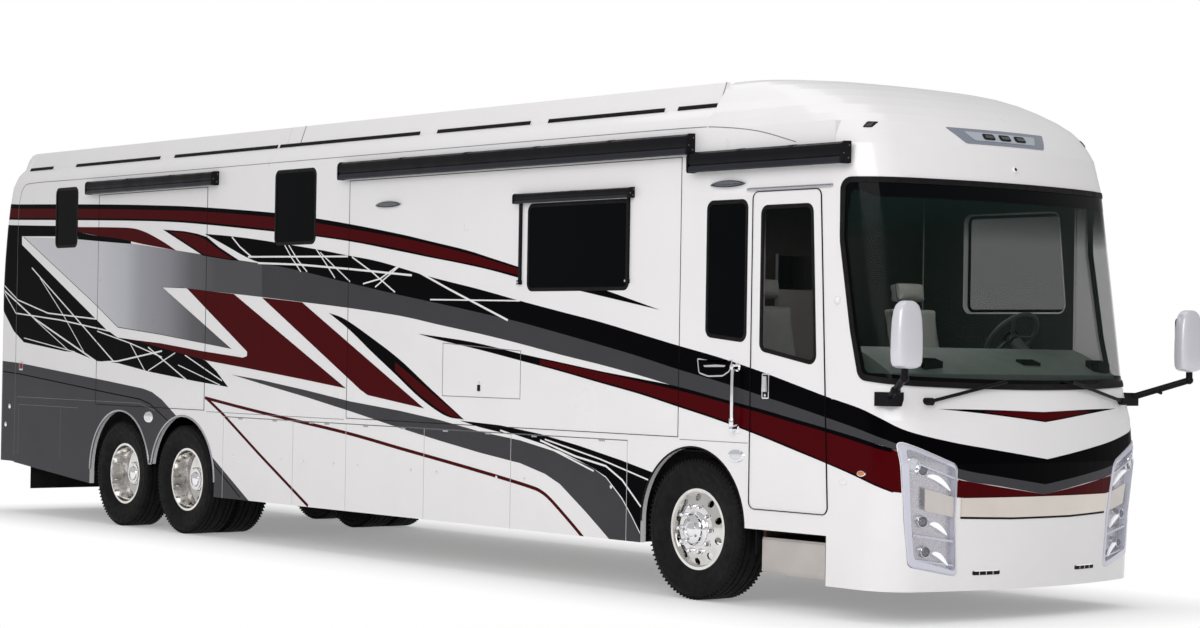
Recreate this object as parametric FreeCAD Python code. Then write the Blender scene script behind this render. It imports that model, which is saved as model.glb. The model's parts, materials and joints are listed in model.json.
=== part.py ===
"""Class A diesel motorhome, 13.4 m long, on three axles, built as separate panels and machine parts.

Frame: +X forward, +Y left, +Z up, millimetres.  Lengths along the coach are measured from the front
axle and moved at export, so that the origin lies on the ground under the middle of the whole vehicle.
Every side-dependent piece is made for the left (side = +1) and mirrored for the right (side = -1).
"""
import FreeCAD, Part
import math
import os
from FreeCAD import Vector

# ---------------------------------------------------------------- driving dimensions: body
BODY_W = 2566.0            # across the side panels
WALL_T = 50.0              # side wall, full depth
DOOR_T = 40.0              # entry door, bay doors and engine door, full depth
CAP_T = 40.0               # front cap moulding
TAIL_T = 60.0              # rear cap moulding
HUMP_T = 25.0              # front wall of the rear cap above the roof
ROOF_T = 45.0
TAIL_X = -11305.0          # rearmost face of the body
REAR_SEAM_X = -10880.0     # rear cap to side wall
CAP_SEAM_X = 1420.0        # side wall to front cap
HOOD_REAR_X = 100.0        # rear edge of the domed part of the front cap
ROOF_SEAM_Z = 3420.0       # side wall to roof
ROOF_EDGE_R = 200.0        # roof corner radius
ROOF_CROWN = 45.0          # rise of the roof between its corners
SKIRT_Z = 380.0            # lower edge of the bay doors
TAIL_SKIRT_Z = 525.0       # lower edge at the rear cap seam
TAIL_END_Z = 578.0         # lower edge at the tail
CAP_SKIRT_Z = 215.0        # lower edge of the front cap
FLOOR_TOP_Z = 1185.0
FLOOR_T = 40.0
SEAT_GAP = 0.3             # a panel at rest from the seal that it closes on
PANEL_GAP = 8.0            # seam round every door
SLIDE_GAP = 6.0            # seam round every slide-out
LIP = 16.0                 # width of the seal lip behind a door
GLASS_T = 8.0
GLASS_INSET = 4.0          # glass behind the outer face
CORNER_R = 60.0            # window corners

# ---------------------------------------------------------------- driving dimensions: running gear
WHEELBASE = 7350.0         # front axle to drive axle
TAG_SPREAD = 1210.0        # drive axle to tag axle
TYRE_R = 515.0
TYRE_W = 315.0
RIM_W = 228.0              # over the flanges
RIM_LIP_R = 298.5
BEAD_R = 285.0
BARREL_T = 9.0
FLANGE_T = 12.0            # edge of the rim beside the tyre's bead
DISC_R = 262.0             # where the wheel disc meets the barrel
DISC_T = 14.0
DISC_OFFSET = 128.0        # disc face from the tyre's middle plane
WHEEL_Y = 1125.0           # middle plane of an outer tyre
DUAL_PITCH = 335.0         # between the middle planes of twin tyres
HUB_R = 110.0
BOLT_CIRCLE_R = 167.5
HAND_HOLES = 10
HAND_HOLE_R = 27.0
HAND_HOLE_CIRCLE_R = 234.0
SPINDLE_R = 40.0
PIN_CLEARANCE = 0.3
KINGPIN_Y = 905.0
KINGPIN_R = 24.0
RAIL_Y = 430.0             # middle of a chassis rail
RAIL_W = 80.0
RAIL_H = 180.0
AIR_SPRING_R = 78.0

# ---------------------------------------------------------------- driving dimensions: fittings
MIRROR_X = 2300.0          # middle of a mirror head
MIRROR_Y = 1475.0
MIRROR_Z = 1945.0
MIRROR_H = 450.0
MIRROR_W = 210.0
MIRROR_D = 130.0
HITCH_END_X = -11350.0     # mouth of the receiver
HITCH_Z = 530.0
HITCH_BORE = 51.6          # square bore of the receiver
HITCH_PIN_R = 8.1

HALF_W = BODY_W / 2
RIGHT, LEFT = -1, 1
AXLE_Z = TYRE_R            # the tyres stand on the ground
DRIVE_X = -WHEELBASE
TAG_X = DRIVE_X - TAG_SPREAD
FLOOR_Z0 = FLOOR_TOP_Z - FLOOR_T
RAIL_Z1 = FLOOR_Z0
RAIL_Z0 = RAIL_Z1 - RAIL_H
SLIDE_Z0 = FLOOR_TOP_Z + SEAT_GAP
WALL_IN_Y = HALF_W - WALL_T
BAY_TOP_Z = 1130.0
FORE_X = MIRROR_X + MIRROR_D / 2
ORIGIN_X = (FORE_X + HITCH_END_X) / 2

# wheel arches in the side walls: centre x, centre z, radius
ARCHES = [
    (-20.0, 543.0, 572.0),
    (DRIVE_X - 30.0, 517.0, 600.0),
    (TAG_X - 45.0, 533.0, 600.0),
]
ARCH_TIP_Z = 636.0         # foot of the panel between the rear arches
LINER_T = 8.0

# luggage bay doors: rear edge x, front edge x
RIGHT_BAYS = [(-6630.0, -5429.0), (-5429.0, -4576.0), (-4576.0, -3404.0), (-3404.0, -2210.0), (-2210.0, -762.0)]
LEFT_BAYS = [(-6630.0, -4576.0), (-4576.0, -2700.0), (-2700.0, -762.0)]

# slide-out rooms: name, side, rear x, front x, depth into the cabin, upper z
SLIDES = [
    ("slideout_right_front", RIGHT, -4576.0, -186.0, 800.0, 3235.0),
    ("slideout_right_rear", RIGHT, -9104.0, -6988.0, 620.0, 3275.0),
    ("slideout_left", LEFT, -9104.0, -762.0, 760.0, 3235.0),
]
SLIDE_WALL = 45.0
SLIDE_TAIL = 120.0         # what stays inside when a room is fully out

# windows in a slide-out: slide name, rear x, front x, lower z, upper z
SLIDE_WINDOWS = [
    ("slideout_right_front", -2030.0, -780.0, 2270.0, 2950.0),
    ("slideout_left", -8300.0, -7500.0, 2330.0, 2950.0),
    ("slideout_left", -5700.0, -4700.0, 2330.0, 2950.0),
    ("slideout_left", -2900.0, -1650.0, 2270.0, 2950.0),
]

# fixed windows in the side walls: side, then corners (x, z) clockwise
WALL_WINDOWS = [
    (RIGHT, [(-10030.0, 2770.0), (-10030.0, 3375.0), (-9560.0, 3375.0), (-9560.0, 2770.0)]),
    (RIGHT, [(-5790.0, 2710.0), (-5790.0, 3375.0), (-5120.0, 3375.0), (-5120.0, 2710.0)]),
    (RIGHT, [(110.0, 1925.0), (110.0, 2900.0), (540.0, 2900.0), (540.0, 1885.0)]),
    (LEFT, [(-10030.0, 2770.0), (-10030.0, 3375.0), (-9560.0, 3375.0), (-9560.0, 2770.0)]),
    (LEFT, [(300.0, 2150.0), (300.0, 2900.0), (1250.0, 2900.0), (1330.0, 2150.0)]),
]

# entry door: outline (x, z) clockwise from the lower rear corner, and its window
DOOR_OUTLINE = [(600.0, 705.0), (600.0, 2950.0), (1290.0, 2950.0), (1397.0, 705.0)]
DOOR_WINDOW = [(690.0, 1830.0), (690.0, 2850.0), (1210.0, 2850.0), (1262.0, 1730.0)]
DOOR_CORNER_R = 50.0
STEP_RECESS = (600.0, 1390.0, 560.0)      # rear x, front x, upper z of the notch below the door
STEP_TRAVEL = 330.0
STEP_WELL_Z = 655.0                       # underside of the inner entry steps

# outer skin of the front cap: height, foremost x, half width, corner radius
CAP_FACE_R = 3690.0
CAP_SECTIONS = [
    (215.0, 2188.0, HALF_W, 310.0),
    (700.0, 2206.0, HALF_W, 310.0),
    (1080.0, 2250.0, HALF_W, 310.0),
    (1370.0, 2224.0, HALF_W, 315.0),
    (1600.0, 2153.0, HALF_W, 325.0),
    (2300.0, 2052.0, HALF_W, 340.0),
    (3000.0, 1948.0, HALF_W, 360.0),
    (3260.0, 1872.0, HALF_W, 380.0),
    (3340.0, 1818.0, HALF_W, 398.0),
    (3420.0, 1752.0, HALF_W - 1.0, 420.0),
    (3480.0, 1684.0, HALF_W - 12.0, 448.0),
    (3550.0, 1577.0, HALF_W - 48.0, 485.0),
    (3620.0, 1438.0, HALF_W - 98.0, 525.0),
    (3680.0, 1290.0, HALF_W - 135.0, 550.0),
    (3730.0, 1125.0, HALF_W - 168.0, 560.0),
    (3765.0, 960.0, HALF_W - 202.0, 545.0),
    (3790.0, 700.0, HALF_W - 263.0, 440.0),
]
# windscreen outline seen from the side (x, z), reaching in front of the cap
SCREEN_OUTLINE = [(1700.0, 1655.0), (1616.0, 1978.0), (1505.0, 2592.0), (1503.0, 3008.0), (2600.0, 3008.0),
                  (2600.0, 1560.0), (2153.0, 1598.0)]
# headlight outline seen from the front (y, z) on the left side
LAMP_OUTLINE = [(755.0, 312.0), (808.0, 1072.0), (1215.0, 1235.0), (1125.0, 385.0)]
LAMP_DEPTH = 70.0


# ---------------------------------------------------------------- shape helpers
def block(x0, x1, y0, y1, z0, z1):
    """Box between two corners given in any order."""
    low = Vector(min(x0, x1), min(y0, y1), min(z0, z1))
    return Part.makeBox(abs(x1 - x0), abs(y1 - y0), abs(z1 - z0), low)


def rounded(points, radius):
    """Closed wire through the points, each corner rounded by an arc of the radius."""
    edges = []
    starts, ends = [], []
    count = len(points)
    for i, corner in enumerate(points):
        before = points[i - 1].sub(corner)
        after = points[(i + 1) % count].sub(corner)
        half = before.getAngle(after) / 2
        reach = radius / math.tan(half)
        first = corner.add(before.normalize().multiply(reach))
        last = corner.add(after.normalize().multiply(reach))
        inward = first.add(last).multiply(0.5).sub(corner)
        centre = corner.add(inward.normalize().multiply(radius / math.sin(half)))
        middle = centre.add(corner.sub(centre).normalize().multiply(radius))
        starts.append(first)
        ends.append((middle, last))
    for i in range(count):
        middle, last = ends[i]
        edges.append(Part.Arc(starts[i], middle, last).toShape())
        edges.append(Part.LineSegment(last, starts[(i + 1) % count]).toShape())
    return Part.Wire(edges)


def side_plate(outline, y0, y1, radius=0.0):
    """Plate with an outline given as (x, z), between two y values."""
    points = [Vector(x, min(y0, y1), z) for x, z in outline]
    if radius:
        wire = rounded(points, radius)
    else:
        wire = Part.makePolygon(points + points[:1])
    return Part.Face(wire).extrude(Vector(0, abs(y1 - y0), 0))


def front_plate(outline, x0, x1, radius=0.0):
    """Plate with an outline given as (y, z), between two x values."""
    points = [Vector(min(x0, x1), y, z) for y, z in outline]
    if radius:
        wire = rounded(points, radius)
    else:
        wire = Part.makePolygon(points + points[:1])
    return Part.Face(wire).extrude(Vector(abs(x1 - x0), 0, 0))


def grown(outline, by):
    """Convex outline (u, v) moved outwards by a distance, or inwards where it is negative."""
    centre_u = sum(u for u, v in outline) / len(outline)
    centre_v = sum(v for u, v in outline) / len(outline)
    lines = []
    for i, (u0, v0) in enumerate(outline):
        u1, v1 = outline[(i + 1) % len(outline)]
        length = math.hypot(u1 - u0, v1 - v0)
        nu, nv = (v1 - v0) / length, (u0 - u1) / length
        if nu * (u0 - centre_u) + nv * (v0 - centre_v) < 0:
            nu, nv = -nu, -nv
        lines.append((nu, nv, nu * u0 + nv * v0 + by))
    result = []
    for i in range(len(lines)):
        a0, b0, c0 = lines[i - 1]
        a1, b1, c1 = lines[i]
        det = a0 * b1 - a1 * b0
        result.append(((c0 * b1 - c1 * b0) / det, (a0 * c1 - a1 * c0) / det))
    return result


def rect(x0, x1, z0, z1):
    """Outline of an upright rectangle."""
    return [(x0, z0), (x0, z1), (x1, z1), (x1, z0)]


def across(side, depth_from, depth_to):
    """y values at two depths behind the outer face of a side."""
    return side * (HALF_W - depth_from), side * (HALF_W - depth_to)


def fuse(shapes):
    """One solid from shapes that touch."""
    return shapes[0].multiFuse(shapes[1:]).removeSplitter() if len(shapes) > 1 else shapes[0]


def mirrored(shape, side):
    """The shape for the left side, or its mirror image for the right side."""
    return shape if side == LEFT else shape.mirror(Vector(0, 0, 0), Vector(0, 1, 0))


def turned(profile, centre_x, side):
    """Ring about a wheel axis from (distance outboard, radius) points."""
    points = [Vector(centre_x, y, AXLE_Z + r) for y, r in profile]
    face = Part.Face(Part.makePolygon(points + points[:1]))
    ring = face.revolve(Vector(centre_x, 0, AXLE_Z), Vector(0, 1, 0), 360)
    return mirrored(ring, side)


# ---------------------------------------------------------------- front cap
def cap_section(z, nose, half, corner, rear):
    """Plan outline of the cap at one height: four straight or bowed sides and two front corners."""
    face_x = nose - CAP_FACE_R
    corner_y = half - corner
    corner_x = face_x + math.sqrt((CAP_FACE_R - corner) ** 2 - corner_y ** 2)
    scale = CAP_FACE_R / (CAP_FACE_R - corner)
    join = Vector(face_x + (corner_x - face_x) * scale, corner_y * scale, z)
    bend = math.atan2(corner_y, corner_x - face_x)
    turn = (math.pi / 2 + bend) / 2
    middle = Vector(corner_x + corner * math.cos(turn), corner_y + corner * math.sin(turn), z)
    flank = Vector(corner_x, half, z)

    def other(point):
        return Vector(point.x, -point.y, point.z)

    return Part.Wire([
        Part.LineSegment(Vector(rear, -half, z), other(flank)).toShape(),
        Part.Arc(other(flank), other(middle), other(join)).toShape(),
        Part.Arc(other(join), Vector(nose, 0, z), join).toShape(),
        Part.Arc(join, middle, flank).toShape(),
        Part.LineSegment(flank, Vector(rear, half, z)).toShape(),
        Part.LineSegment(Vector(rear, half, z), Vector(rear, -half, z)).toShape(),
    ])


def cap_loft(inset, rear):
    """Solid cap with its skin moved inwards by a distance."""
    wires = []
    for z, nose, half, corner in CAP_SECTIONS:
        drop = inset if z > ROOF_SEAM_Z else 0.0
        low = z - inset - 1 if z == CAP_SECTIONS[0][0] and inset else z - drop
        spread = inset * 0.6 if z > ROOF_SEAM_Z else inset
        wires.append(cap_section(low, nose - spread, half - spread, corner - spread * 0.8, rear))
    return Part.makeLoft(wires, True, True)


def lamp_prism(side, inset):
    """Block that cuts one headlight's outline through the cap."""
    outline = [(side * y, z) for y, z in grown(LAMP_OUTLINE, -inset)]
    return front_plate(outline, CAP_SEAM_X + 100, FORE_X + 400, 45.0)


def front_cap_pieces():
    """Front cap shell, windscreen and headlights, which share the cap's skin."""
    outer = cap_loft(0.0, HOOD_REAR_X)
    inner = cap_loft(CAP_T, HOOD_REAR_X + CAP_T)
    shell = outer.cut(inner)
    shell = shell.cut(block(HOOD_REAR_X - 10, CAP_SEAM_X, -HALF_W - 10, HALF_W + 10, 0, ROOF_SEAM_Z))
    screen = side_plate(SCREEN_OUTLINE, -HALF_W - 50, HALF_W + 50)
    screen = screen.makeFillet(70.0, [e for e in screen.Edges if abs(e.tangentAt(e.FirstParameter).y) > 0.99
                                      and e.Vertexes[0].X < 1800])
    glass_outer = cap_loft(GLASS_INSET, HOOD_REAR_X + GLASS_INSET)
    glass_inner = cap_loft(GLASS_INSET + GLASS_T, HOOD_REAR_X + GLASS_INSET)
    glass = glass_outer.cut(glass_inner).common(screen)
    shell = shell.cut(screen)
    lamp_back = cap_loft(LAMP_DEPTH, HOOD_REAR_X)
    lamps = []
    for side in (RIGHT, LEFT):
        prism = lamp_prism(side, 0.0)
        lamps.append(outer.common(prism).cut(lamp_back))
        shell = shell.cut([prism, mirrored(mirror_base(), side), mirrored(wiper_boss(), side)])
    return biggest(shell), biggest(glass), lamps, inner, cap_loft(LAMP_DEPTH + 5, HOOD_REAR_X)


def biggest(shape):
    """The largest solid of a shape."""
    return max(shape.Solids, key=lambda solid: solid.Volume)


# ---------------------------------------------------------------- side walls and roof
def door_opening(outline, side, radius=0.0):
    """What a door takes out of its wall: the panel's seam and the smaller hole inside the seal lip."""
    seam = side_plate(grown(outline, PANEL_GAP), *across(side, -10, DOOR_T + SEAT_GAP),
                      radius=radius + PANEL_GAP if radius else 0.0)
    hole = side_plate(grown(outline, -LIP), *across(side, -10, WALL_T + 10),
                      radius=max(radius - LIP, 1.0) if radius else 0.0)
    return [seam, hole]


def side_wall(side):
    """Side wall from the rear cap to the front cap, with every opening cut."""
    recess_rear, recess_front, recess_top = STEP_RECESS
    outline = [(REAR_SEAM_X, TAIL_SKIRT_Z), (REAR_SEAM_X, ROOF_SEAM_Z), (CAP_SEAM_X, ROOF_SEAM_Z),
               (CAP_SEAM_X, CAP_SKIRT_Z), (recess_front, CAP_SKIRT_Z), (recess_front, SKIRT_Z),
               (TAG_X - 560.0, SKIRT_Z)]
    wall = side_plate(outline, *across(side, 0, WALL_T))
    cuts = []
    for x, z, radius in ARCHES:
        cuts.append(Part.makeCylinder(radius, WALL_T + 40, Vector(x, side * HALF_W - (WALL_T + 20) * (side > 0)
                                                                  - 20 * (side < 0), z), Vector(0, 1, 0)))
        cuts.append(block(x - radius, x + radius, *across(side, -10, WALL_T + 10), 0, z))
    cuts.append(block(ARCHES[2][0], ARCHES[1][0], *across(side, -10, WALL_T + 10), 0, ARCH_TIP_Z))
    if side == RIGHT:
        cuts.append(block(ARCHES[0][0], recess_front, *across(side, -10, WALL_T + 10), 0, recess_top))
        cuts += door_opening(DOOR_OUTLINE, side, DOOR_CORNER_R)
    for name, slide_side, rear, front, depth, top in SLIDES:
        if slide_side == side:
            cuts.append(block(rear - SLIDE_GAP, front + SLIDE_GAP, *across(side, -10, WALL_T + 10),
                              SLIDE_Z0 - SLIDE_GAP, top + SLIDE_GAP))
    for rear, front in RIGHT_BAYS if side == RIGHT else LEFT_BAYS:
        cuts += door_opening(bay_outline(rear, front), side)
        cuts.append(block(rear - 1, front + 1, *across(side, -10, DOOR_T + SEAT_GAP), 0, SKIRT_Z + 20))
    for window_side, corners in WALL_WINDOWS:
        if window_side == side:
            cuts.append(side_plate(corners, *across(side, -10, WALL_T + 10), radius=CORNER_R))
    return biggest(wall.cut(cuts))


def bay_outline(rear, front):
    """Outline of a luggage bay door between two seams."""
    half_gap = PANEL_GAP / 2
    return rect(rear + half_gap, front - half_gap, SKIRT_Z, BAY_TOP_Z)


def roof_profile(inset):
    """Closed cross-section under the roof skin, moved inwards by a distance."""
    half = HALF_W - inset
    radius = ROOF_EDGE_R - inset
    low = ROOF_SEAM_Z - (1.0 if inset else 0.0)
    turn_y = HALF_W - ROOF_EDGE_R
    top = ROOF_SEAM_Z + radius
    bend = Vector(0, turn_y + radius * math.sqrt(0.5), ROOF_SEAM_Z + radius * math.sqrt(0.5))
    shoulder = Vector(0, turn_y, top)

    def other(point):
        return Vector(point.x, -point.y, point.z)

    edges = [Part.LineSegment(Vector(0, -half, low), Vector(0, half, low)).toShape()]
    if low < ROOF_SEAM_Z:
        edges.append(Part.LineSegment(Vector(0, half, low), Vector(0, half, ROOF_SEAM_Z)).toShape())
    edges.append(Part.Arc(Vector(0, half, ROOF_SEAM_Z), bend, shoulder).toShape())
    edges.append(Part.Arc(shoulder, Vector(0, 0, top + ROOF_CROWN), other(shoulder)).toShape())
    edges.append(Part.Arc(other(shoulder), other(bend), Vector(0, -half, ROOF_SEAM_Z)).toShape())
    if low < ROOF_SEAM_Z:
        edges.append(Part.LineSegment(Vector(0, -half, ROOF_SEAM_Z), Vector(0, -half, low)).toShape())
    return Part.Face(Part.Wire(edges))


def roof_body(x0, x1, inset):
    """Solid under the roof skin between two x values."""
    face = roof_profile(inset)
    face.translate(Vector(x0, 0, 0))
    return face.extrude(Vector(x1 - x0, 0, 0))


def roof_z(y, inset=0.0):
    """Height of the roof skin at a distance from the middle."""
    turn_y = HALF_W - ROOF_EDGE_R
    top = ROOF_SEAM_Z + ROOF_EDGE_R - inset
    if abs(y) > turn_y:
        return ROOF_SEAM_Z + math.sqrt(max((ROOF_EDGE_R - inset) ** 2 - (abs(y) - turn_y) ** 2, 0.0))
    crown_r = (turn_y ** 2 + ROOF_CROWN ** 2) / (2 * ROOF_CROWN)
    return top + ROOF_CROWN - crown_r + math.sqrt(crown_r ** 2 - y ** 2)


# outer skin of the rear cap: height, rearmost x, half width, corner radius
TAIL_SECTIONS = [
    (300.0, TAIL_X, HALF_W, 150.0),
    (2350.0, TAIL_X, HALF_W, 150.0),
    (2660.0, TAIL_X + 22.0, HALF_W, 152.0),
    (2980.0, TAIL_X + 62.0, HALF_W, 156.0),
    (3230.0, TAIL_X + 112.0, HALF_W, 162.0),
    (3420.0, TAIL_X + 170.0, HALF_W, 170.0),
    (3540.0, TAIL_X + 202.0, HALF_W - 40.0, 172.0),
    (3620.0, TAIL_X + 218.0, HALF_W - 118.0, 160.0),
    (3720.0, TAIL_X + 248.0, HALF_W - 152.0, 130.0),
    (3775.0, TAIL_X + 300.0, HALF_W - 188.0, 80.0),
]
ENGINE_DOOR = [(-760.0, 700.0), (-760.0, 1780.0), (760.0, 1780.0), (760.0, 700.0)]
TAIL_LAMP = [(985.0, 1180.0), (985.0, 1950.0), (1085.0, 1950.0), (1085.0, 1180.0)]
TAIL_LAMP_T = 25.0


def tail_section(z, tail, half, corner, front):
    """Plan outline of the rear cap at one height: straight sides and two rear corners."""
    chord = corner * (1 - math.sqrt(0.5))
    edges = []
    for side in (LEFT, RIGHT):
        flank = Vector(tail + corner, side * half, z)
        bend = Vector(tail + chord, side * (half - chord), z)
        edges.append((flank, bend, Vector(tail, side * (half - corner), z)))
    (left_flank, left_bend, left_end), (right_flank, right_bend, right_end) = edges
    return Part.Wire([
        Part.LineSegment(Vector(front, half, z), left_flank).toShape(),
        Part.Arc(left_flank, left_bend, left_end).toShape(),
        Part.LineSegment(left_end, right_end).toShape(),
        Part.Arc(right_end, right_bend, right_flank).toShape(),
        Part.LineSegment(right_flank, Vector(front, -half, z)).toShape(),
        Part.LineSegment(Vector(front, -half, z), Vector(front, half, z)).toShape(),
    ])


def tail_solid(inset, front):
    """Rear cap as a solid block: upright below, leaning forward above the second section."""
    wires = []
    for z, tail, half, corner in TAIL_SECTIONS:
        drop = inset if z > ROOF_SEAM_Z else 0.0
        low = z - 1 if z == TAIL_SECTIONS[0][0] and inset else z - drop
        wires.append(tail_section(low, tail + inset, half - inset, corner - inset * 0.9, front))
    return Part.makeLoft(wires, True, True)


def rear_cap():
    """Rear cap shell, open to the cabin, with the engine door's opening and a sloping lower edge."""
    shell = tail_solid(0.0, REAR_SEAM_X).cut(tail_solid(TAIL_T, REAR_SEAM_X - HUMP_T))
    slope = side_plate([(REAR_SEAM_X + 50, 0), (REAR_SEAM_X + 50, TAIL_SKIRT_Z), (REAR_SEAM_X, TAIL_SKIRT_Z),
                        (TAIL_X, TAIL_END_Z), (TAIL_X - 50, TAIL_END_Z), (TAIL_X - 50, 0)], -HALF_W - 10, HALF_W + 10)
    mouth = fuse([block(REAR_SEAM_X - TAIL_T - 5, REAR_SEAM_X + 5, TAIL_T - HALF_W, HALF_W - TAIL_T, 0, ROOF_SEAM_Z),
                  roof_body(REAR_SEAM_X - TAIL_T - 5, REAR_SEAM_X + 5, TAIL_T)])
    seam = front_plate(grown(ENGINE_DOOR, PANEL_GAP), TAIL_X - 10, TAIL_X + DOOR_T + SEAT_GAP)
    hole = front_plate(grown(ENGINE_DOOR, -LIP), TAIL_X - 10, TAIL_X + TAIL_T + 10)
    return biggest(shell.cut([slope, mouth, seam, hole]))


# ---------------------------------------------------------------- wheels
def tyre(centre_x, middle_y, side):
    """Tyre with a crowned tread, rounded shoulders and two bead seats."""
    half = TYRE_W / 2
    tread = half - 30
    bead = RIM_W / 2 - FLANGE_T - PIN_CLEARANCE
    points = [(-bead, BEAD_R + PIN_CLEARANCE), (-bead, RIM_LIP_R + 2), (-half, 400.0), (-half + 4, 452.0),
              (-tread - 8, TYRE_R - 22), (-tread, TYRE_R - 7), (-tread + 26, TYRE_R), (tread - 26, TYRE_R),
              (tread, TYRE_R - 7), (tread + 8, TYRE_R - 22), (half - 4, 452.0), (half, 400.0),
              (bead, RIM_LIP_R + 2), (bead, BEAD_R + PIN_CLEARANCE)]
    return turned([(middle_y + y, r) for y, r in points], centre_x, side)


def rim(centre_x, middle_y, side, outset, disc_at, hub_from, hub_to, bore):
    """Rim in one piece: barrel with two lips, disc with hand holes, and hub.

    The disc lies outboard of the middle plane where outset is 1, inboard where it is -1.  Distances
    in the profile are measured from the middle plane towards the disc.
    """
    half = RIM_W / 2
    well_r = BEAD_R - BARREL_T
    root = half - 22.0
    back = disc_at - DISC_T
    near, far = sorted((outset * (hub_from - middle_y), outset * (hub_to - middle_y)))
    hole_r = bore + PIN_CLEARANCE
    seat = half - FLANGE_T
    profile = [(-half, RIM_LIP_R), (-seat, RIM_LIP_R), (-seat, BEAD_R), (seat, BEAD_R), (seat, RIM_LIP_R),
               (half, RIM_LIP_R), (half, well_r), (root, well_r),
               (disc_at - 5, 192.0), (disc_at, 180.0)]
    if far > disc_at + 1:
        profile += [(disc_at, HUB_R), (far, HUB_R - 10), (far, hole_r)]
    else:
        profile += [(disc_at, hole_r)]
    profile += [(near, hole_r), (near, HUB_R - 10), (back, HUB_R), (back, 176.0), (back - 5, 188.0),
                (root - DISC_T, well_r), (-half, well_r)]
    body = turned([(middle_y + outset * u, r) for u, r in profile], centre_x, side)
    holes = []
    for i in range(HAND_HOLES):
        angle = 2 * math.pi * (i + 0.5) / HAND_HOLES
        spot = Vector(centre_x + HAND_HOLE_CIRCLE_R * math.cos(angle), side * middle_y - RIM_W,
                      AXLE_Z + HAND_HOLE_CIRCLE_R * math.sin(angle))
        holes.append(Part.makeCylinder(HAND_HOLE_R, 2 * RIM_W, spot, Vector(0, 1, 0)))
    return body.cut(holes)


def wheel_sets():
    """Rims and tyres of all six wheels, twins as one pair: name to list of solids."""
    inner_y = WHEEL_Y - DUAL_PITCH
    sets = {}
    for side, word in ((RIGHT, "right"), (LEFT, "left")):
        sets["front_tyre_" + word] = [tyre(0.0, WHEEL_Y, side)]
        sets["front_rim_" + word] = [rim(0.0, WHEEL_Y, side, 1, DISC_OFFSET, FRONT_HUB_Y0, FRONT_HUB_Y1, SPINDLE_R)]
        meet = WHEEL_Y - DUAL_PITCH / 2
        sets["drive_tyres_" + word] = [tyre(DRIVE_X, inner_y, side), tyre(DRIVE_X, WHEEL_Y, side)]
        outer = rim(DRIVE_X, WHEEL_Y, side, -1, DUAL_PITCH / 2, meet, REAR_HUB_Y1, AXLE_END_R)
        inner = rim(DRIVE_X, inner_y, side, 1, DUAL_PITCH / 2, REAR_HUB_Y0, meet, AXLE_END_R)
        sets["drive_rims_" + word] = [outer.fuse(inner)]
        sets["tag_tyre_" + word] = [tyre(TAG_X, WHEEL_Y, side)]
        sets["tag_rim_" + word] = [rim(TAG_X, WHEEL_Y, side, -1, DUAL_PITCH / 2, REAR_HUB_Y0, REAR_HUB_Y1, AXLE_END_R)]
    return sets


FRONT_HUB_Y0, FRONT_HUB_Y1 = 1010.0, 1290.0
REAR_HUB_Y0, REAR_HUB_Y1 = 860.0, 1150.0
AXLE_END_R = 45.0


def knuckle(side):
    """Steering knuckle: kingpin through the beam's eye, two ears, an upright and the spindle."""
    pin = Part.makeCylinder(KINGPIN_R - PIN_CLEARANCE, 220, Vector(0, KINGPIN_Y, AXLE_Z - 110))
    ears = []
    for z0, z1 in ((AXLE_Z - 110, AXLE_Z - 80), (AXLE_Z + 80, AXLE_Z + 110)):
        ears.append(Part.makeCylinder(48, z1 - z0, Vector(0, KINGPIN_Y, z0)))
        ears.append(block(-40, 40, KINGPIN_Y, KINGPIN_Y + 90, z0, z1))
    upright = block(-40, 40, KINGPIN_Y + 60, KINGPIN_Y + 90, AXLE_Z - 110, AXLE_Z + 110)
    spindle = Part.makeCylinder(SPINDLE_R, FRONT_HUB_Y1 - 30 - KINGPIN_Y - 80,
                                Vector(0, KINGPIN_Y + 80, AXLE_Z), Vector(0, 1, 0))
    return mirrored(fuse([pin] + ears + [upright, spindle]), side)


def axle_set():
    """Front beam, drive axle with its casing, and tag axle, each with air springs up to the rails."""
    beam = [block(-45, 45, -KINGPIN_Y + 60, KINGPIN_Y - 60, AXLE_Z - 70, AXLE_Z + 20)]
    for side in (RIGHT, LEFT):
        eye_y = side * KINGPIN_Y
        eye = Part.makeCylinder(46, 140, Vector(0, eye_y, AXLE_Z - 70))
        neck = block(-40, 40, eye_y, side * (KINGPIN_Y - 80), AXLE_Z - 70, AXLE_Z + 60)
        beam.append(fuse([eye, neck]).cut(Part.makeCylinder(KINGPIN_R, 240, Vector(0, eye_y, AXLE_Z - 120))))
    solids = [beam]
    for centre_x in (DRIVE_X, TAG_X):
        reach = REAR_HUB_Y1 - 20
        tube = [Part.makeCylinder(AXLE_END_R, 2 * reach, Vector(centre_x, -reach, AXLE_Z), Vector(0, 1, 0)),
                Part.makeCylinder(70, 2 * REAR_HUB_Y0 - 260, Vector(centre_x, 130 - REAR_HUB_Y0, AXLE_Z),
                                  Vector(0, 1, 0))]
        if centre_x == DRIVE_X:
            tube.append(Part.makeSphere(230, Vector(centre_x, 0, AXLE_Z)))
        solids.append(tube)
    axles = []
    for centre_x, pieces in zip((0.0, DRIVE_X, TAG_X), solids):
        for side in (RIGHT, LEFT):
            pieces.append(Part.makeCylinder(AIR_SPRING_R, RAIL_Z0 - AXLE_Z,
                                            Vector(centre_x, side * RAIL_Y, AXLE_Z)))
        axle = fuse(pieces)
        if centre_x == 0.0:
            for side in (RIGHT, LEFT):
                axle = axle.cut(Part.makeCylinder(KINGPIN_R, 240, Vector(0, side * KINGPIN_Y, AXLE_Z - 120)))
        axles.append(axle)
    return axles


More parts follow.
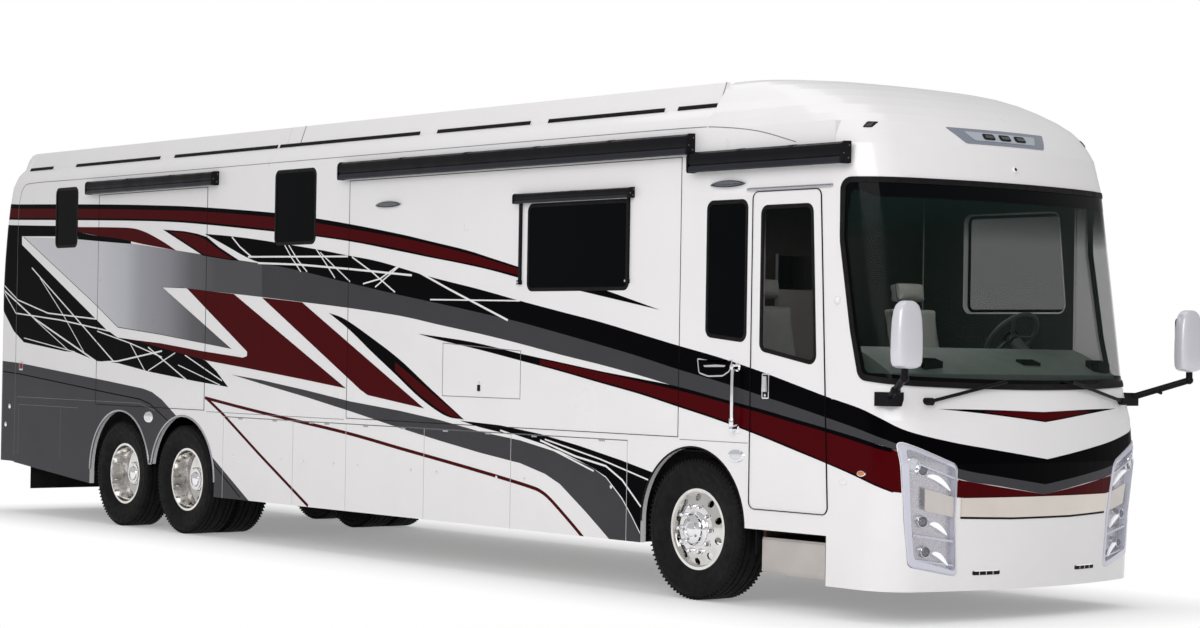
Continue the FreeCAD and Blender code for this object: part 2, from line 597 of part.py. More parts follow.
# ---------------------------------------------------------------- chassis, floor, bays
def chassis_frame():
    """Two rails and their cross members under the floor."""
    front_x, rear_x = 1650.0, REAR_SEAM_X
    parts = []
    for side in (RIGHT, LEFT):
        parts.append(block(rear_x, front_x, side * (RAIL_Y - RAIL_W / 2), side * (RAIL_Y + RAIL_W / 2),
                           RAIL_Z0, RAIL_Z1))
    for x in (1550.0, 500.0, -700.0, -2700.0, -4700.0, -6700.0, DRIVE_X + 420, TAG_X + 500, TAG_X - 500, -10800.0):
        parts.append(block(x - 40, x + 40, -RAIL_Y, RAIL_Y, RAIL_Z0 + 20, RAIL_Z1 - 20))
    return fuse(parts)


WELL_X0, WELL_X1 = 634.0, 1375.0
STEP_X0, STEP_X1 = 645.0, 1300.0
WELL_Y0 = 620.0            # inner end of the entry steps, from the middle


def floor_deck():
    """Cabin floor, with the entry steps hung in a well inside the door."""
    deck = block(REAR_SEAM_X, CAP_SEAM_X, -WALL_IN_Y, WALL_IN_Y, FLOOR_Z0, FLOOR_TOP_Z)
    deck = deck.cut(block(WELL_X0, WELL_X1, -WALL_IN_Y - 5, -WELL_Y0, FLOOR_Z0 - 5, FLOOR_TOP_Z + 5))
    sheet = 25.0
    tread = (STEP_WELL_Z + FLOOR_TOP_Z) / 2
    half = (WALL_IN_Y + WELL_Y0) / 2
    stair = [(-WALL_IN_Y, STEP_WELL_Z), (-WALL_IN_Y, STEP_WELL_Z + sheet), (-half - sheet, STEP_WELL_Z + sheet),
             (-half - sheet, tread), (-WELL_Y0 - sheet, tread), (-WELL_Y0 - sheet, FLOOR_TOP_Z),
             (-WELL_Y0, FLOOR_TOP_Z), (-WELL_Y0, tread - sheet), (-half, tread - sheet), (-half, STEP_WELL_Z)]
    parts = [deck, front_plate(stair, WELL_X0, WELL_X1)]
    for x in (WELL_X0, WELL_X1 - sheet):
        parts.append(front_plate([(-WALL_IN_Y, STEP_WELL_Z), (-WALL_IN_Y, FLOOR_TOP_Z), (-WELL_Y0, FLOOR_TOP_Z),
                                  (-WELL_Y0, tread - sheet), (-half, STEP_WELL_Z)], x, x + sheet))
    for x in (STEP_X0, STEP_X1 - sheet):
        parts.append(block(x, x + sheet, -1180, -760, STEP_TOP_Z + SEAT_GAP, STEP_WELL_Z + 5))
    return fuse(parts)


STEP_TOP_Z = 500.0


def entry_step():
    """Sliding entry step: two treads between end cheeks, with a panel across the front."""
    front, back = -1185.0, -800.0
    sheet = 20.0
    parts = [block(STEP_X0, STEP_X1, front, back, STEP_TOP_Z - sheet, STEP_TOP_Z),
             block(STEP_X0, STEP_X1, front, front + sheet, 245.0, STEP_TOP_Z),
             block(STEP_X0, STEP_X1, front, back, 245.0, 245.0 + sheet)]
    for x in (STEP_X0, STEP_X1 - sheet):
        parts.append(block(x, x + sheet, front, back, 245.0, STEP_TOP_Z))
    return fuse(parts)


def basement_bays():
    """Tray and bulkheads of the luggage bays, notched round the rails."""
    rear, front = RIGHT_BAYS[0][0] + 30, RIGHT_BAYS[-1][1] - 30
    parts = [block(rear, front, -WALL_IN_Y, WALL_IN_Y, SKIRT_Z + 10, SKIRT_Z + 35)]
    seams = [rear + 15] + [edge for edge, _ in RIGHT_BAYS[1:]] + [front - 15]
    for x in seams:
        parts.append(block(x - 15, x + 15, -WALL_IN_Y, WALL_IN_Y, SKIRT_Z + 10, FLOOR_Z0))
    tub = fuse(parts)
    cuts = []
    for side in (RIGHT, LEFT):
        cuts.append(block(rear - 10, front + 10, side * (RAIL_Y - RAIL_W / 2), side * (RAIL_Y + RAIL_W / 2),
                          RAIL_Z0, RAIL_Z1 + 5))
    cuts.append(block(rear - 10, front + 10, -RAIL_Y, RAIL_Y, RAIL_Z0, RAIL_Z1 + 5))
    return tub.cut(cuts)


# inside of the front wheel housing (x, z), clear of the tyre at full lock
HOUSING = [(-621.0, 380.0), (-621.0, 760.0), (-460.0, 1080.0), (460.0, 1080.0), (621.0, 760.0), (621.0, 380.0)]


def wheel_liners():
    """Liners behind the wheel arches: a housing for each front wheel, two joined half rounds for each rear pair."""
    inner_y = RAIL_Y + RAIL_W / 2 + 30
    front = side_plate(grown(HOUSING, LINER_T), inner_y, WALL_IN_Y)
    front = front.cut([side_plate(HOUSING, inner_y - 1, WALL_IN_Y + 1), block(-700, 700, inner_y - 1, WALL_IN_Y + 1,
                                                                             0, HOUSING[0][1])])
    solid, hollow = [], []
    for x, z, radius in ARCHES[1:]:
        solid.append(Part.makeCylinder(radius + LINER_T, WALL_IN_Y - inner_y, Vector(x, inner_y, z), Vector(0, 1, 0)))
        hollow.append(Part.makeCylinder(radius, WALL_IN_Y - inner_y + 2, Vector(x, inner_y - 1, z), Vector(0, 1, 0)))
    low = max(z for x, z, radius in ARCHES[1:]) + 100
    hollow.append(block(REAR_SEAM_X, 0, inner_y - 1, WALL_IN_Y + 1, 0, low))
    rear = biggest(fuse(solid).cut(hollow))
    return [mirrored(liner, side) for side in (RIGHT, LEFT) for liner in (front, rear)]


# ---------------------------------------------------------------- slide-out rooms and doors
def slide_room(name, side, rear, front, depth, top):
    """Slide-out room: outer wall, floor, roof and two end walls, open to the cabin."""
    y_out, y_in = across(side, 0, depth)
    room = block(rear, front, y_out, y_in, SLIDE_Z0, top)
    hollow = block(rear + SLIDE_WALL, front - SLIDE_WALL, side * (HALF_W - WALL_T), side * (HALF_W - depth - 10),
                   SLIDE_Z0 + SLIDE_WALL, top - SLIDE_WALL)
    cuts = [hollow]
    for owner, x0, x1, z0, z1 in SLIDE_WINDOWS:
        if owner == name:
            cuts.append(side_plate(rect(x0, x1, z0, z1), *across(side, -10, WALL_T + 10), radius=CORNER_R))
    return room.cut(cuts)


def pane(outline, side):
    """Window glass with rounded corners, just behind the outer face."""
    return side_plate(outline, *across(side, GLASS_INSET, GLASS_INSET + GLASS_T), radius=CORNER_R)


def engine_door():
    """Engine door in the rear cap."""
    return front_plate(ENGINE_DOOR, TAIL_X, TAIL_X + DOOR_T)


def bay_door(rear, front, side):
    """Luggage bay door."""
    return side_plate(bay_outline(rear, front), *across(side, 0, DOOR_T))


def entry_door():
    """Entry door with its window cut."""
    door = side_plate(DOOR_OUTLINE, *across(RIGHT, 0, DOOR_T), radius=DOOR_CORNER_R)
    return door.cut(side_plate(DOOR_WINDOW, *across(RIGHT, -10, DOOR_T + 10), radius=CORNER_R))


# ---------------------------------------------------------------- outside fittings
# awning cassettes: side, rear x, front x, lower z, upper z, reach out from the wall
CASSETTES = [
    (RIGHT, -4660.0, -40.0, 3245.0, 3405.0, 85.0),
    (RIGHT, -9260.0, -6785.0, 3285.0, 3420.0, 85.0),
    (RIGHT, -30.0, 1580.0, 3110.0, 3268.0, 95.0),
    (LEFT, -9260.0, -600.0, 3245.0, 3405.0, 85.0),
]


def cassettes():
    """Awning cassettes on the side walls, rounded along the outer edges."""
    solids = []
    for side, rear, front, z0, z1, reach in CASSETTES:
        body = block(rear, front, side * HALF_W, side * (HALF_W + reach), z0, z1)
        edges = [e for e in body.Edges if abs(e.tangentAt(e.FirstParameter).x) > 0.99
                 and abs(abs(e.Vertexes[0].Y) - HALF_W - reach) < 1]
        solids.append(body.makeFillet(min(reach, z1 - z0) * 0.3, edges))
    return solids


# roof fairings: rear x, front x
FAIRINGS = [(REAR_SEAM_X, -5811.0), (-5801.0, HOOD_REAR_X)]
FAIRING_T = 30.0
FAIRING_TOP_Z = 3785.0
FAIRING_FOOT_Y = 1165.0
FAIRING_TOP_Y = 1100.0


def fairings():
    """Long fairings standing on both shoulders of the roof."""
    solids = []
    foot_z = roof_z(FAIRING_FOOT_Y)
    inner_foot = roof_z(FAIRING_FOOT_Y - FAIRING_T)
    outline = [(FAIRING_FOOT_Y, foot_z), (FAIRING_TOP_Y, FAIRING_TOP_Z), (FAIRING_TOP_Y - FAIRING_T, FAIRING_TOP_Z),
               (FAIRING_FOOT_Y - FAIRING_T, inner_foot - 20), (FAIRING_FOOT_Y, foot_z - 20)]
    skin = roof_body(-12000, 3000, 0.0)
    for side in (RIGHT, LEFT):
        for rear, front in FAIRINGS:
            solids.append(mirrored(front_plate(outline, rear, front), side).cut(skin))
    return solids


# roof air conditioners: middle x
AIR_UNITS = [-9000.0, -5200.0, -1500.0]


def air_conditioners():
    """Low air conditioner covers on the roof."""
    solids = []
    for x in AIR_UNITS:
        cover = block(x - 520, x + 520, -340, 340, roof_z(340) - 20, roof_z(0) + 115)
        edges = [e for e in cover.Edges if e.Vertexes[0].Z > 3700 and e.Vertexes[-1].Z > 3700]
        cover = cover.makeFillet(45, edges)
        solids.append(cover.cut(roof_body(x - 600, x + 600, 0.0)))
    return solids


def mirror_base():
    """Block let into the left front corner that carries a mirror arm."""
    return block(1850, 1980, 1150, 1300, 1465, 1560)


def mirror_arms(cavity):
    """Mirror brackets from the front corners to the mirror heads."""
    solids = []
    foot = Vector(1920, 1235, 1515)
    for side in (RIGHT, LEFT):
        head = Vector(MIRROR_X, MIRROR_Y, MIRROR_Z - MIRROR_H / 2 - 60)
        run = head.sub(foot)
        arm = Part.makeCylinder(24, run.Length, foot, run)
        knob = Part.makeSphere(30, head)
        post = Part.makeCylinder(24, 60, head)
        solids.append(biggest(mirrored(fuse([mirror_base(), arm, knob, post]), side).cut(cavity)))
    return solids


def mirror_heads():
    """Mirror heads standing on their arms."""
    solids = []
    for side in (RIGHT, LEFT):
        head = block(MIRROR_X - MIRROR_D / 2, MIRROR_X + MIRROR_D / 2, MIRROR_Y - MIRROR_W / 2,
                     MIRROR_Y + MIRROR_W / 2, MIRROR_Z - MIRROR_H / 2, MIRROR_Z + MIRROR_H / 2)
        head = head.makeFillet(45, [e for e in head.Edges if abs(e.tangentAt(e.FirstParameter).x) > 0.99])
        solids.append(mirrored(head, side))
    return solids


def tail_lamps():
    """Upright lamp clusters on the rear cap."""
    return [front_plate([(side * y, z) for y, z in TAIL_LAMP], TAIL_X - TAIL_LAMP_T, TAIL_X, 20.0)
            for side in (RIGHT, LEFT)]


def hitch():
    """Receiver tube for a towing bar, with its pin hole, on a cross tube and two drop plates."""
    size = HITCH_BORE + 12
    tube = block(HITCH_END_X, HITCH_END_X + 620, -size / 2, size / 2, HITCH_Z - size / 2, HITCH_Z + size / 2)
    cross = block(HITCH_END_X + 420, HITCH_END_X + 500, -RAIL_Y - 40, RAIL_Y + 40, HITCH_Z - 40, HITCH_Z + 40)
    parts = [tube, cross]
    for side in (RIGHT, LEFT):
        parts.append(block(HITCH_END_X + 400, HITCH_END_X + 620, side * (RAIL_Y + 20), side * (RAIL_Y + 40),
                           HITCH_Z - 40, RAIL_Z0))
    bore = block(HITCH_END_X - 5, HITCH_END_X + 330, -HITCH_BORE / 2, HITCH_BORE / 2,
                 HITCH_Z - HITCH_BORE / 2, HITCH_Z + HITCH_BORE / 2)
    pin = Part.makeCylinder(HITCH_PIN_R, 200, Vector(HITCH_END_X + 60, -100, HITCH_Z), Vector(0, 1, 0))
    return fuse(parts).cut([bore, pin])


def mudflap():
    """Full-width flap behind the tag wheels, hung from two brackets on the rails."""
    flap = block(-10700, -10688, -1180, 1180, 255, 520)
    bar = block(-10720, -10660, -1100, 1100, 500, 540)
    parts = [flap, bar]
    for side in (RIGHT, LEFT):
        parts.append(block(-10720, -10660, side * (RAIL_Y - 30), side * (RAIL_Y + 30), 530, RAIL_Z0))
    return fuse(parts)


# ---------------------------------------------------------------- cab
WHEEL_HUB = Vector(1330.0, 640.0, 1950.0)      # middle of the steering wheel
COLUMN_TILT = 40.0                             # steering axis above level, degrees
STEERING_R = 225.0


def column_axis():
    """Unit vector up the steering column, towards the driver."""
    tilt = math.radians(COLUMN_TILT)
    return Vector(-math.cos(tilt), 0, math.sin(tilt))


def dashboard(cab_space):
    """Dashboard across the cab, trimmed to the space behind the headlights, with the steering column."""
    outline = [(1440.0, FLOOR_TOP_Z - 40), (1440.0, 1480.0), (1560.0, 1600.0), (1950.0, 1585.0), (2400.0, 1540.0),
               (2400.0, FLOOR_TOP_Z - 40)]
    dash = side_plate(outline, -WALL_IN_Y - 20, WALL_IN_Y + 20).common(cab_space)
    foot = WHEEL_HUB.sub(column_axis().multiply(620))
    column = Part.makeCylinder(45, 570, foot, column_axis())
    stub = Part.makeCylinder(12, 640, foot, column_axis())
    return biggest(fuse([dash, column, stub]))


def steering_wheel():
    """Steering wheel: rim, hub and three spokes on the column's stub."""
    axis = column_axis()
    ring = Part.makeTorus(STEERING_R, 16, WHEEL_HUB, axis)
    boss = Part.makeCylinder(45, 50, WHEEL_HUB.sub(column_axis().multiply(30)), axis)
    spokes = []
    for angle in (90, 210, 330):
        spoke = Part.makeBox(STEERING_R, 30, 14, Vector(0, -15, -7))
        spoke.rotate(Vector(0, 0, 0), Vector(0, 0, 1), angle)
        spoke.Placement = FreeCAD.Placement(WHEEL_HUB, FreeCAD.Rotation(Vector(0, 0, 1), axis)).multiply(
            spoke.Placement)
        spokes.append(spoke)
    bore = Part.makeCylinder(12 + PIN_CLEARANCE, 56, WHEEL_HUB.sub(column_axis().multiply(34)), axis)
    return fuse([ring, boss] + spokes).cut(bore)


SEATS = [(620.0, LEFT), (355.0, RIGHT)]        # middle x of the cushion, side
SEAT_FORM = [(-180.0, 0.0), (-180.0, 330.0), (-300.0, 330.0), (-440.0, 1180.0), (-300.0, 1200.0), (-150.0, 500.0),
             (270.0, 510.0), (270.0, 350.0), (130.0, 330.0), (130.0, 0.0)]


def cab_seats():
    """Driver's and passenger's seats: pedestal, cushion and back as one closed form each."""
    return [side_plate([(x + u, FLOOR_TOP_Z + v) for u, v in SEAT_FORM], side * 360, side * 920)
            for x, side in SEATS]


WIPER_PIVOT = Vector(2080.0, 1000.0, 1500.0)
WIPER_TIPS = [(RIGHT, -350.0), (LEFT, 330.0)]  # side, y of the arm's tip


def wiper_boss():
    """Spindle housing of the left wiper, let into the cap."""
    return Part.makeCylinder(26, 110, WIPER_PIVOT.sub(Vector(90, 0, 0)), Vector(1, 0, 0))


def wipers(cavity):
    """Two wiper arms lying across the foot of the windscreen."""
    solids = []
    for side, tip_y in WIPER_TIPS:
        pivot = Vector(WIPER_PIVOT.x, side * WIPER_PIVOT.y, WIPER_PIVOT.z)
        run = Vector(2180, tip_y, 1640).sub(pivot)
        arm = Part.makeCylinder(12, run.Length, pivot, run)
        solids.append(biggest(fuse([arm, mirrored(wiper_boss(), side)]).cut(cavity)))
    return solids


def engine():
    """Engine as one plain block between the rails behind the tag axle."""
    return block(-10600, -9300, -RAIL_Y + RAIL_W / 2 + 5, RAIL_Y - RAIL_W / 2 - 5, 560, FLOOR_Z0)


# ---------------------------------------------------------------- assembly
def build_nodes():
    """Every node of the motorhome: name to list of solids."""
    cap, glass, lamps, cavity, cab_space = front_cap_pieces()
    nodes = {
        "front_cap": [cap],
        "windshield": [glass],
        "headlights": lamps,
        "right_sidewall": [side_wall(RIGHT)],
        "left_sidewall": [side_wall(LEFT)],
        "roof": [roof_body(REAR_SEAM_X, HOOD_REAR_X, 0.0).cut(roof_body(REAR_SEAM_X - 5, HOOD_REAR_X + 5, ROOF_T))],
        "rear_cap": [rear_cap()],
        "side_windows": [pane(corners, side) for side, corners in WALL_WINDOWS],
        "roof_fairings": fairings(),
        "roof_air_conditioners": air_conditioners(),
        "awning_cassettes": cassettes(),
        "mirror_arms": mirror_arms(cavity),
        "mirror_heads": mirror_heads(),
        "wipers": wipers(cavity),
        "taillights": tail_lamps(),
        "mudflap": [mudflap()],
        "hitch_receiver": [hitch()],
        "chassis_frame": [chassis_frame()],
        "floor_deck": [floor_deck()],
        "basement_bays": [basement_bays()],
        "wheel_liners": wheel_liners(),
        "axles": axle_set(),
        "engine_block": [engine().cut(chassis_frame())],
        "dashboard": [dashboard(cab_space)],
        "cab_seats": cab_seats(),
        "steering_wheel": [steering_wheel()],
        "front_knuckle_right": [knuckle(RIGHT)],
        "front_knuckle_left": [knuckle(LEFT)],
        "entry_door": [entry_door()],
        "entry_door_window": [side_plate(DOOR_WINDOW, *across(RIGHT, GLASS_INSET, GLASS_INSET + GLASS_T),
                                         radius=CORNER_R)],
        "entry_step": [entry_step()],
        "engine_door": [engine_door()],
    }
    nodes.update(wheel_sets())
    for name, side, rear, front, depth, top in SLIDES:
        nodes[name] = [slide_room(name, side, rear, front, depth, top)]
        panes = [pane(rect(x0, x1, z0, z1), side) for owner, x0, x1, z0, z1 in SLIDE_WINDOWS if owner == name]
        if panes:
            nodes[name + "_windows"] = panes
    for side, word, bays in ((RIGHT, "right", RIGHT_BAYS), (LEFT, "left", LEFT_BAYS)):
        for i, (rear, front) in enumerate(bays, 1):
            nodes["%s_bay_door_%d" % (word, i)] = [bay_door(rear, front, side)]
    return nodes


os.makedirs("parts", exist_ok=True)
for node, solids in build_nodes().items():
    shape = solids[0] if len(solids) == 1 else Part.makeCompound(solids)
    shape = shape.copy()
    shape.translate(Vector(-ORIGIN_X, 0, 0))
    shape.exportStep("parts/%s.step" % node)
    box = shape.BoundBox
    print("%-30s solids %d valid %s vol %.4f m3  x %.0f..%.0f y %.0f..%.0f z %.0f..%.0f" % (
        node, len(shape.Solids), shape.isValid(), shape.Volume / 1e9, box.XMin, box.XMax, box.YMin, box.YMax,
        box.ZMin, box.ZMax))
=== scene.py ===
"""Motorhome coach: every visible piece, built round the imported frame.

Metres throughout, in the frame's own axes: +X forward, +Y to the driver's left, +Z up, tyres on z = 0.
"""
import sys
import json
import logging
import math
from dataclasses import dataclass, field
from enum import Enum
from typing import Callable, Dict, Iterable, List, Optional, Sequence, Tuple

import bmesh
import bpy
from mathutils import Matrix, Vector
from mathutils.bvhtree import BVHTree
from mathutils.geometry import delaunay_2d_cdt

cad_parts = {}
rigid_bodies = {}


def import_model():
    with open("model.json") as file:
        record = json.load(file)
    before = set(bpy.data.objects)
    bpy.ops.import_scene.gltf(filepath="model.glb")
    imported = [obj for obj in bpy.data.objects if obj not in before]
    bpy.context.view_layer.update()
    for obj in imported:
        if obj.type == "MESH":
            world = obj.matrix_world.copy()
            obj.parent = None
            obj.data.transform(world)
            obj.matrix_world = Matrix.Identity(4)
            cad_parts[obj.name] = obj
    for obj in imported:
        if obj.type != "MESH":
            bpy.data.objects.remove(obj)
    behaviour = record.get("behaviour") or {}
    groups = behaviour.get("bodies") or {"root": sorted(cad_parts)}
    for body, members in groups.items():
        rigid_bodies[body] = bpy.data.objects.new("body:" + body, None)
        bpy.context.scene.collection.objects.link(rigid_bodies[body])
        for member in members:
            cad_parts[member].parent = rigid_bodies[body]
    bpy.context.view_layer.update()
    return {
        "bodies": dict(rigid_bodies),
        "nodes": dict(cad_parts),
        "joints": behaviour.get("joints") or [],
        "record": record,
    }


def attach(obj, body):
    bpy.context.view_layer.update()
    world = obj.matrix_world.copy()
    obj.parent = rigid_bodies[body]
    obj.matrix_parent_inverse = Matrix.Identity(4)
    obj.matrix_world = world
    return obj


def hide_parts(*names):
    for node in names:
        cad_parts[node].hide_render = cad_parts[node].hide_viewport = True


Flat = Tuple[float, float]
Solid = Tuple[float, float, float]
Colour = Tuple[float, float, float]
log = logging.getLogger("motorhome")

HALF_WIDTH = 1.283
PANE_FACE = 1.279
CAP_SEAM = 5.9125
REAR_SEAM = -6.3875
FRONT_AXLE = 4.4925
CREASE = 34.0
DOWN = Vector((0, 0, -1))


class Side(Enum):
    """Which flank a piece is on; the value is the sign of Y."""

    RIGHT = -1
    LEFT = 1

    @property
    def word(self) -> str:
        """The side's name in piece and body names."""
        return self.name.lower()

    @classmethod
    def of(cls, y: float) -> "Side":
        """The side a Y is on; the middle counts as right."""
        return cls.RIGHT if y <= 0 else cls.LEFT


def srgb(red: int, green: int, blue: int) -> Colour:
    """The scene-linear colour of an 8-bit display colour.

    Args:
        red: the red value, 0 to 255.
        green: the green value, 0 to 255.
        blue: the blue value, 0 to 255.

    Returns:
        The colour.
    """
    def line(v: int) -> float:
        """One channel, made linear."""
        c = v / 255.0
        return c / 12.92 if c <= 0.04045 else ((c + 0.055) / 1.055) ** 2.4
    return line(red), line(green), line(blue)


# ---------------------------------------------------------------- finishes

class Wiring:
    """A short hand for building one material's node tree."""

    def __init__(self, name: str) -> None:
        """Starts a material with a Principled shader and Object coordinates.

        Args:
            name: the material's name.
        """
        self.material = bpy.data.materials.new(name)
        self.material.use_nodes = True
        self.tree = self.material.node_tree
        self.shader = self.tree.nodes["Principled BSDF"]
        self.place = self.tree.nodes.new("ShaderNodeTexCoord").outputs["Object"]

    def node(self, kind: str, inputs: Optional[Dict[object, object]] = None,
             **settings: object) -> bpy.types.Node:
        """Adds a node.

        Args:
            kind: the node's type.
            inputs: sockets by name or number, each with a value or a socket to link.
            settings: the node's own properties.

        Returns:
            The node.
        """
        made = self.tree.nodes.new(kind)
        for key, value in settings.items():
            setattr(made, key, value)
        for key, value in (inputs or {}).items():
            if isinstance(value, bpy.types.NodeSocket):
                self.tree.links.new(value, made.inputs[key])
            else:
                made.inputs[key].default_value = value
        return made

    def noise(self, scale: float, detail: float = 3.0,
              stretch: Optional[Solid] = None) -> bpy.types.NodeSocket:
        """Noise on the object's own metres.

        Args:
            scale: cycles to a metre.
            detail: octaves.
            stretch: a multiplier for each axis, for brushed and grained finishes.

        Returns:
            The noise value's socket.
        """
        place = self.place
        if stretch:
            place = self.node("ShaderNodeMapping", {"Vector": place, "Scale": stretch}).outputs[0]
        return self.node("ShaderNodeTexNoise", {"Vector": place, "Scale": scale,
                                                "Detail": detail}).outputs[0]

    def span(self, value: bpy.types.NodeSocket, low: float, high: float,
             start: float = 0.3, end: float = 0.7) -> bpy.types.NodeSocket:
        """Maps value from start..end to low..high, clamped."""
        return self.node("ShaderNodeMapRange", {0: value, 1: start, 2: end, 3: low, 4: high}).outputs[0]

    def blend(self, mix: bpy.types.NodeSocket, first: object, second: object) -> bpy.types.NodeSocket:
        """Mixes two colours, each a colour or a socket.

        Args:
            mix: the share of the second colour.
            first: the colour where mix is 0.
            second: the colour where mix is 1.

        Returns:
            The mixed colour.
        """
        def four(c: object) -> object:
            """A colour with its alpha, or the socket as it is."""
            return (*c, 1.0) if isinstance(c, tuple) else c
        made = self.node("ShaderNodeMix", {0: mix, 6: four(first), 7: four(second)}, data_type="RGBA")
        return made.outputs[2]

    def axis(self, letter: str) -> bpy.types.NodeSocket:
        """One coordinate of the place."""
        return self.node("ShaderNodeSeparateXYZ", {0: self.place}).outputs[letter]

    def join(self, first: bpy.types.NodeSocket, second: bpy.types.NodeSocket,
             how: str = "ADD") -> bpy.types.NodeSocket:
        """Two values joined by a Math node."""
        return self.node("ShaderNodeMath", {0: first, 1: second}, operation=how).outputs[0]

    def set(self, **values: object) -> None:
        """Sets or links the shader's sockets, named with _ for a space."""
        for key, value in values.items():
            socket = self.shader.inputs[key.replace("_", " ")]
            if isinstance(value, bpy.types.NodeSocket):
                self.tree.links.new(value, socket)
            else:
                socket.default_value = (*value, 1.0) if isinstance(value, tuple) else value

    def bump(self, height: bpy.types.NodeSocket, depth: float, strength: float = 1.0) -> None:
        """Raises the surface by depth metres where height is 1."""
        made = self.node("ShaderNodeBump", {"Height": height, "Distance": depth, "Strength": strength})
        self.tree.links.new(made.outputs[0], self.shader.inputs["Normal"])


@dataclass(frozen=True)
class Finish:
    """A moulded or coated finish: soft patches of tone, a fine grain and uneven gloss."""

    name: str
    colour: Colour
    rough: float = 0.5
    metal: float = 0.0
    grain: float = 700.0
    depth: float = 0.0002
    tone: float = 0.10
    uneven: float = 0.10
    shine: float = 0.5

    def material(self) -> bpy.types.Material:
        """The finish's material, made once.

        Returns:
            The material.
        """
        have = bpy.data.materials.get(self.name)
        if have is None:
            wiring = Wiring(self.name)
            self.dress(wiring)
            have = wiring.material
            have.diffuse_color = (*self.colour, 1.0)
        return have

    def base(self, w: Wiring) -> bpy.types.NodeSocket:
        """The colour, darker and lighter by tone in broad patches.

        Args:
            w: the material being wired.

        Returns:
            The colour socket.
        """
        dark = tuple(c * (1 - self.tone) for c in self.colour)
        light = tuple(min(1.0, c * (1 + self.tone)) for c in self.colour)
        return w.blend(w.span(w.noise(2.3, 5.0), 0.0, 1.0), dark, light)

    def dress(self, w: Wiring) -> None:
        """Wires colour, gloss and grain.

        Args:
            w: the material being wired.
        """
        fine = w.noise(self.grain, 4.0)
        low, high = max(0.02, self.rough - self.uneven), min(1.0, self.rough + self.uneven)
        w.set(Base_Color=self.base(w), Metallic=self.metal, Specular_IOR_Level=self.shine,
              Roughness=w.span(w.noise(6.0, 6.0), low, high))
        w.bump(fine, self.depth)


@dataclass(frozen=True)
class Paint(Finish):
    """Gel coat or vinyl under clear coat: faint orange peel, and road film towards the skirt."""

    rough: float = 0.30
    tone: float = 0.012
    film: Colour = (0.42, 0.39, 0.35)
    dirt: float = 0.10
    gloss: float = 1.0

    def tint(self, w: Wiring) -> bpy.types.NodeSocket:
        """The paint's own colour before the film."""
        return self.base(w)

    def dress(self, w: Wiring) -> None:
        """Wires the paint, its film and its clear coat.

        Args:
            w: the material being wired.
        """
        low = w.span(w.axis("Z"), self.dirt, 0.0, 0.15, 1.1)
        cloud = w.span(w.noise(3.0, 8.0), 0.2, 1.0, 0.35, 0.65)
        film = w.join(low, cloud, "MULTIPLY")
        w.set(Base_Color=w.blend(film, self.tint(w), self.film), Metallic=self.metal,
              Roughness=w.join(w.span(w.noise(1.7, 5.0), self.rough - 0.03, self.rough + 0.05), film),
              Coat_Weight=0.5 * self.gloss, Coat_Roughness=0.06, Coat_IOR=1.5,
              Specular_IOR_Level=0.5 * self.gloss)
        w.bump(w.noise(260.0, 2.0), 0.00006, 0.5)


@dataclass(frozen=True)
class FadePaint(Paint):
    """Metallic paint that runs from bright silver at the tail to charcoal further forward."""

    stops: Tuple[Tuple[float, Colour], ...] = ()

    def tint(self, w: Wiring) -> bpy.types.NodeSocket:
        """The fade along X, with a fine flake in it.

        Args:
            w: the material being wired.

        Returns:
            The colour socket.
        """
        first, last = self.stops[0][0], self.stops[-1][0]
        ramp = w.node("ShaderNodeValToRGB", {0: w.span(w.axis("X"), 0.0, 1.0, first, last)})
        points = ramp.color_ramp.elements
        while len(points) < len(self.stops):
            points.new(0.5)
        for point, (x, colour) in zip(points, self.stops):
            point.position = (x - first) / (last - first)
            point.color = (*colour, 1.0)
        flake = w.span(w.noise(900.0, 1.0), 0.94, 1.06)
        return w.node("ShaderNodeVectorMath", {0: ramp.outputs[0], 3: flake}, operation="SCALE").outputs[0]


@dataclass(frozen=True)
class Metal(Finish):
    """Bare, polished or plated metal with hairline marks along one axis."""

    rough: float = 0.16
    metal: float = 1.0
    brush: Solid = (1.0, 1.0, 1.0)
    uneven: float = 0.06
    stain: Colour = (0.30, 0.26, 0.22)
    dirt: float = 0.12

    def dress(self, w: Wiring) -> None:
        """Wires hairlines, water stains and uneven polish.

        Args:
            w: the material being wired.
        """
        hair = w.noise(self.grain, 3.0, self.brush)
        spots = w.span(w.noise(14.0, 9.0), 0.0, self.dirt, 0.52, 0.72)
        low, high = max(0.03, self.rough - self.uneven), self.rough + self.uneven
        w.set(Base_Color=w.blend(spots, self.base(w), self.stain), Metallic=self.metal,
              Roughness=w.join(w.span(hair, low, high), spots))
        w.bump(hair, self.depth)


@dataclass(frozen=True)
class Rubber(Finish):
    """Tyre and seal rubber: matt, dusty in patches, with fine moulding texture."""

    rough: float = 0.72
    grain: float = 420.0
    depth: float = 0.0004
    dust: Colour = (0.10, 0.092, 0.085)

    def dress(self, w: Wiring) -> None:
        """Wires the dust and the moulding texture.

        Args:
            w: the material being wired.
        """
        dusty = w.span(w.noise(9.0, 8.0), 0.0, 0.05, 0.45, 0.75)
        w.set(Base_Color=w.blend(dusty, self.base(w), self.dust),
              Roughness=w.span(w.noise(22.0, 5.0), self.rough - 0.1, self.rough + 0.12),
              Specular_IOR_Level=0.16)
        w.bump(w.noise(self.grain, 5.0), self.depth)


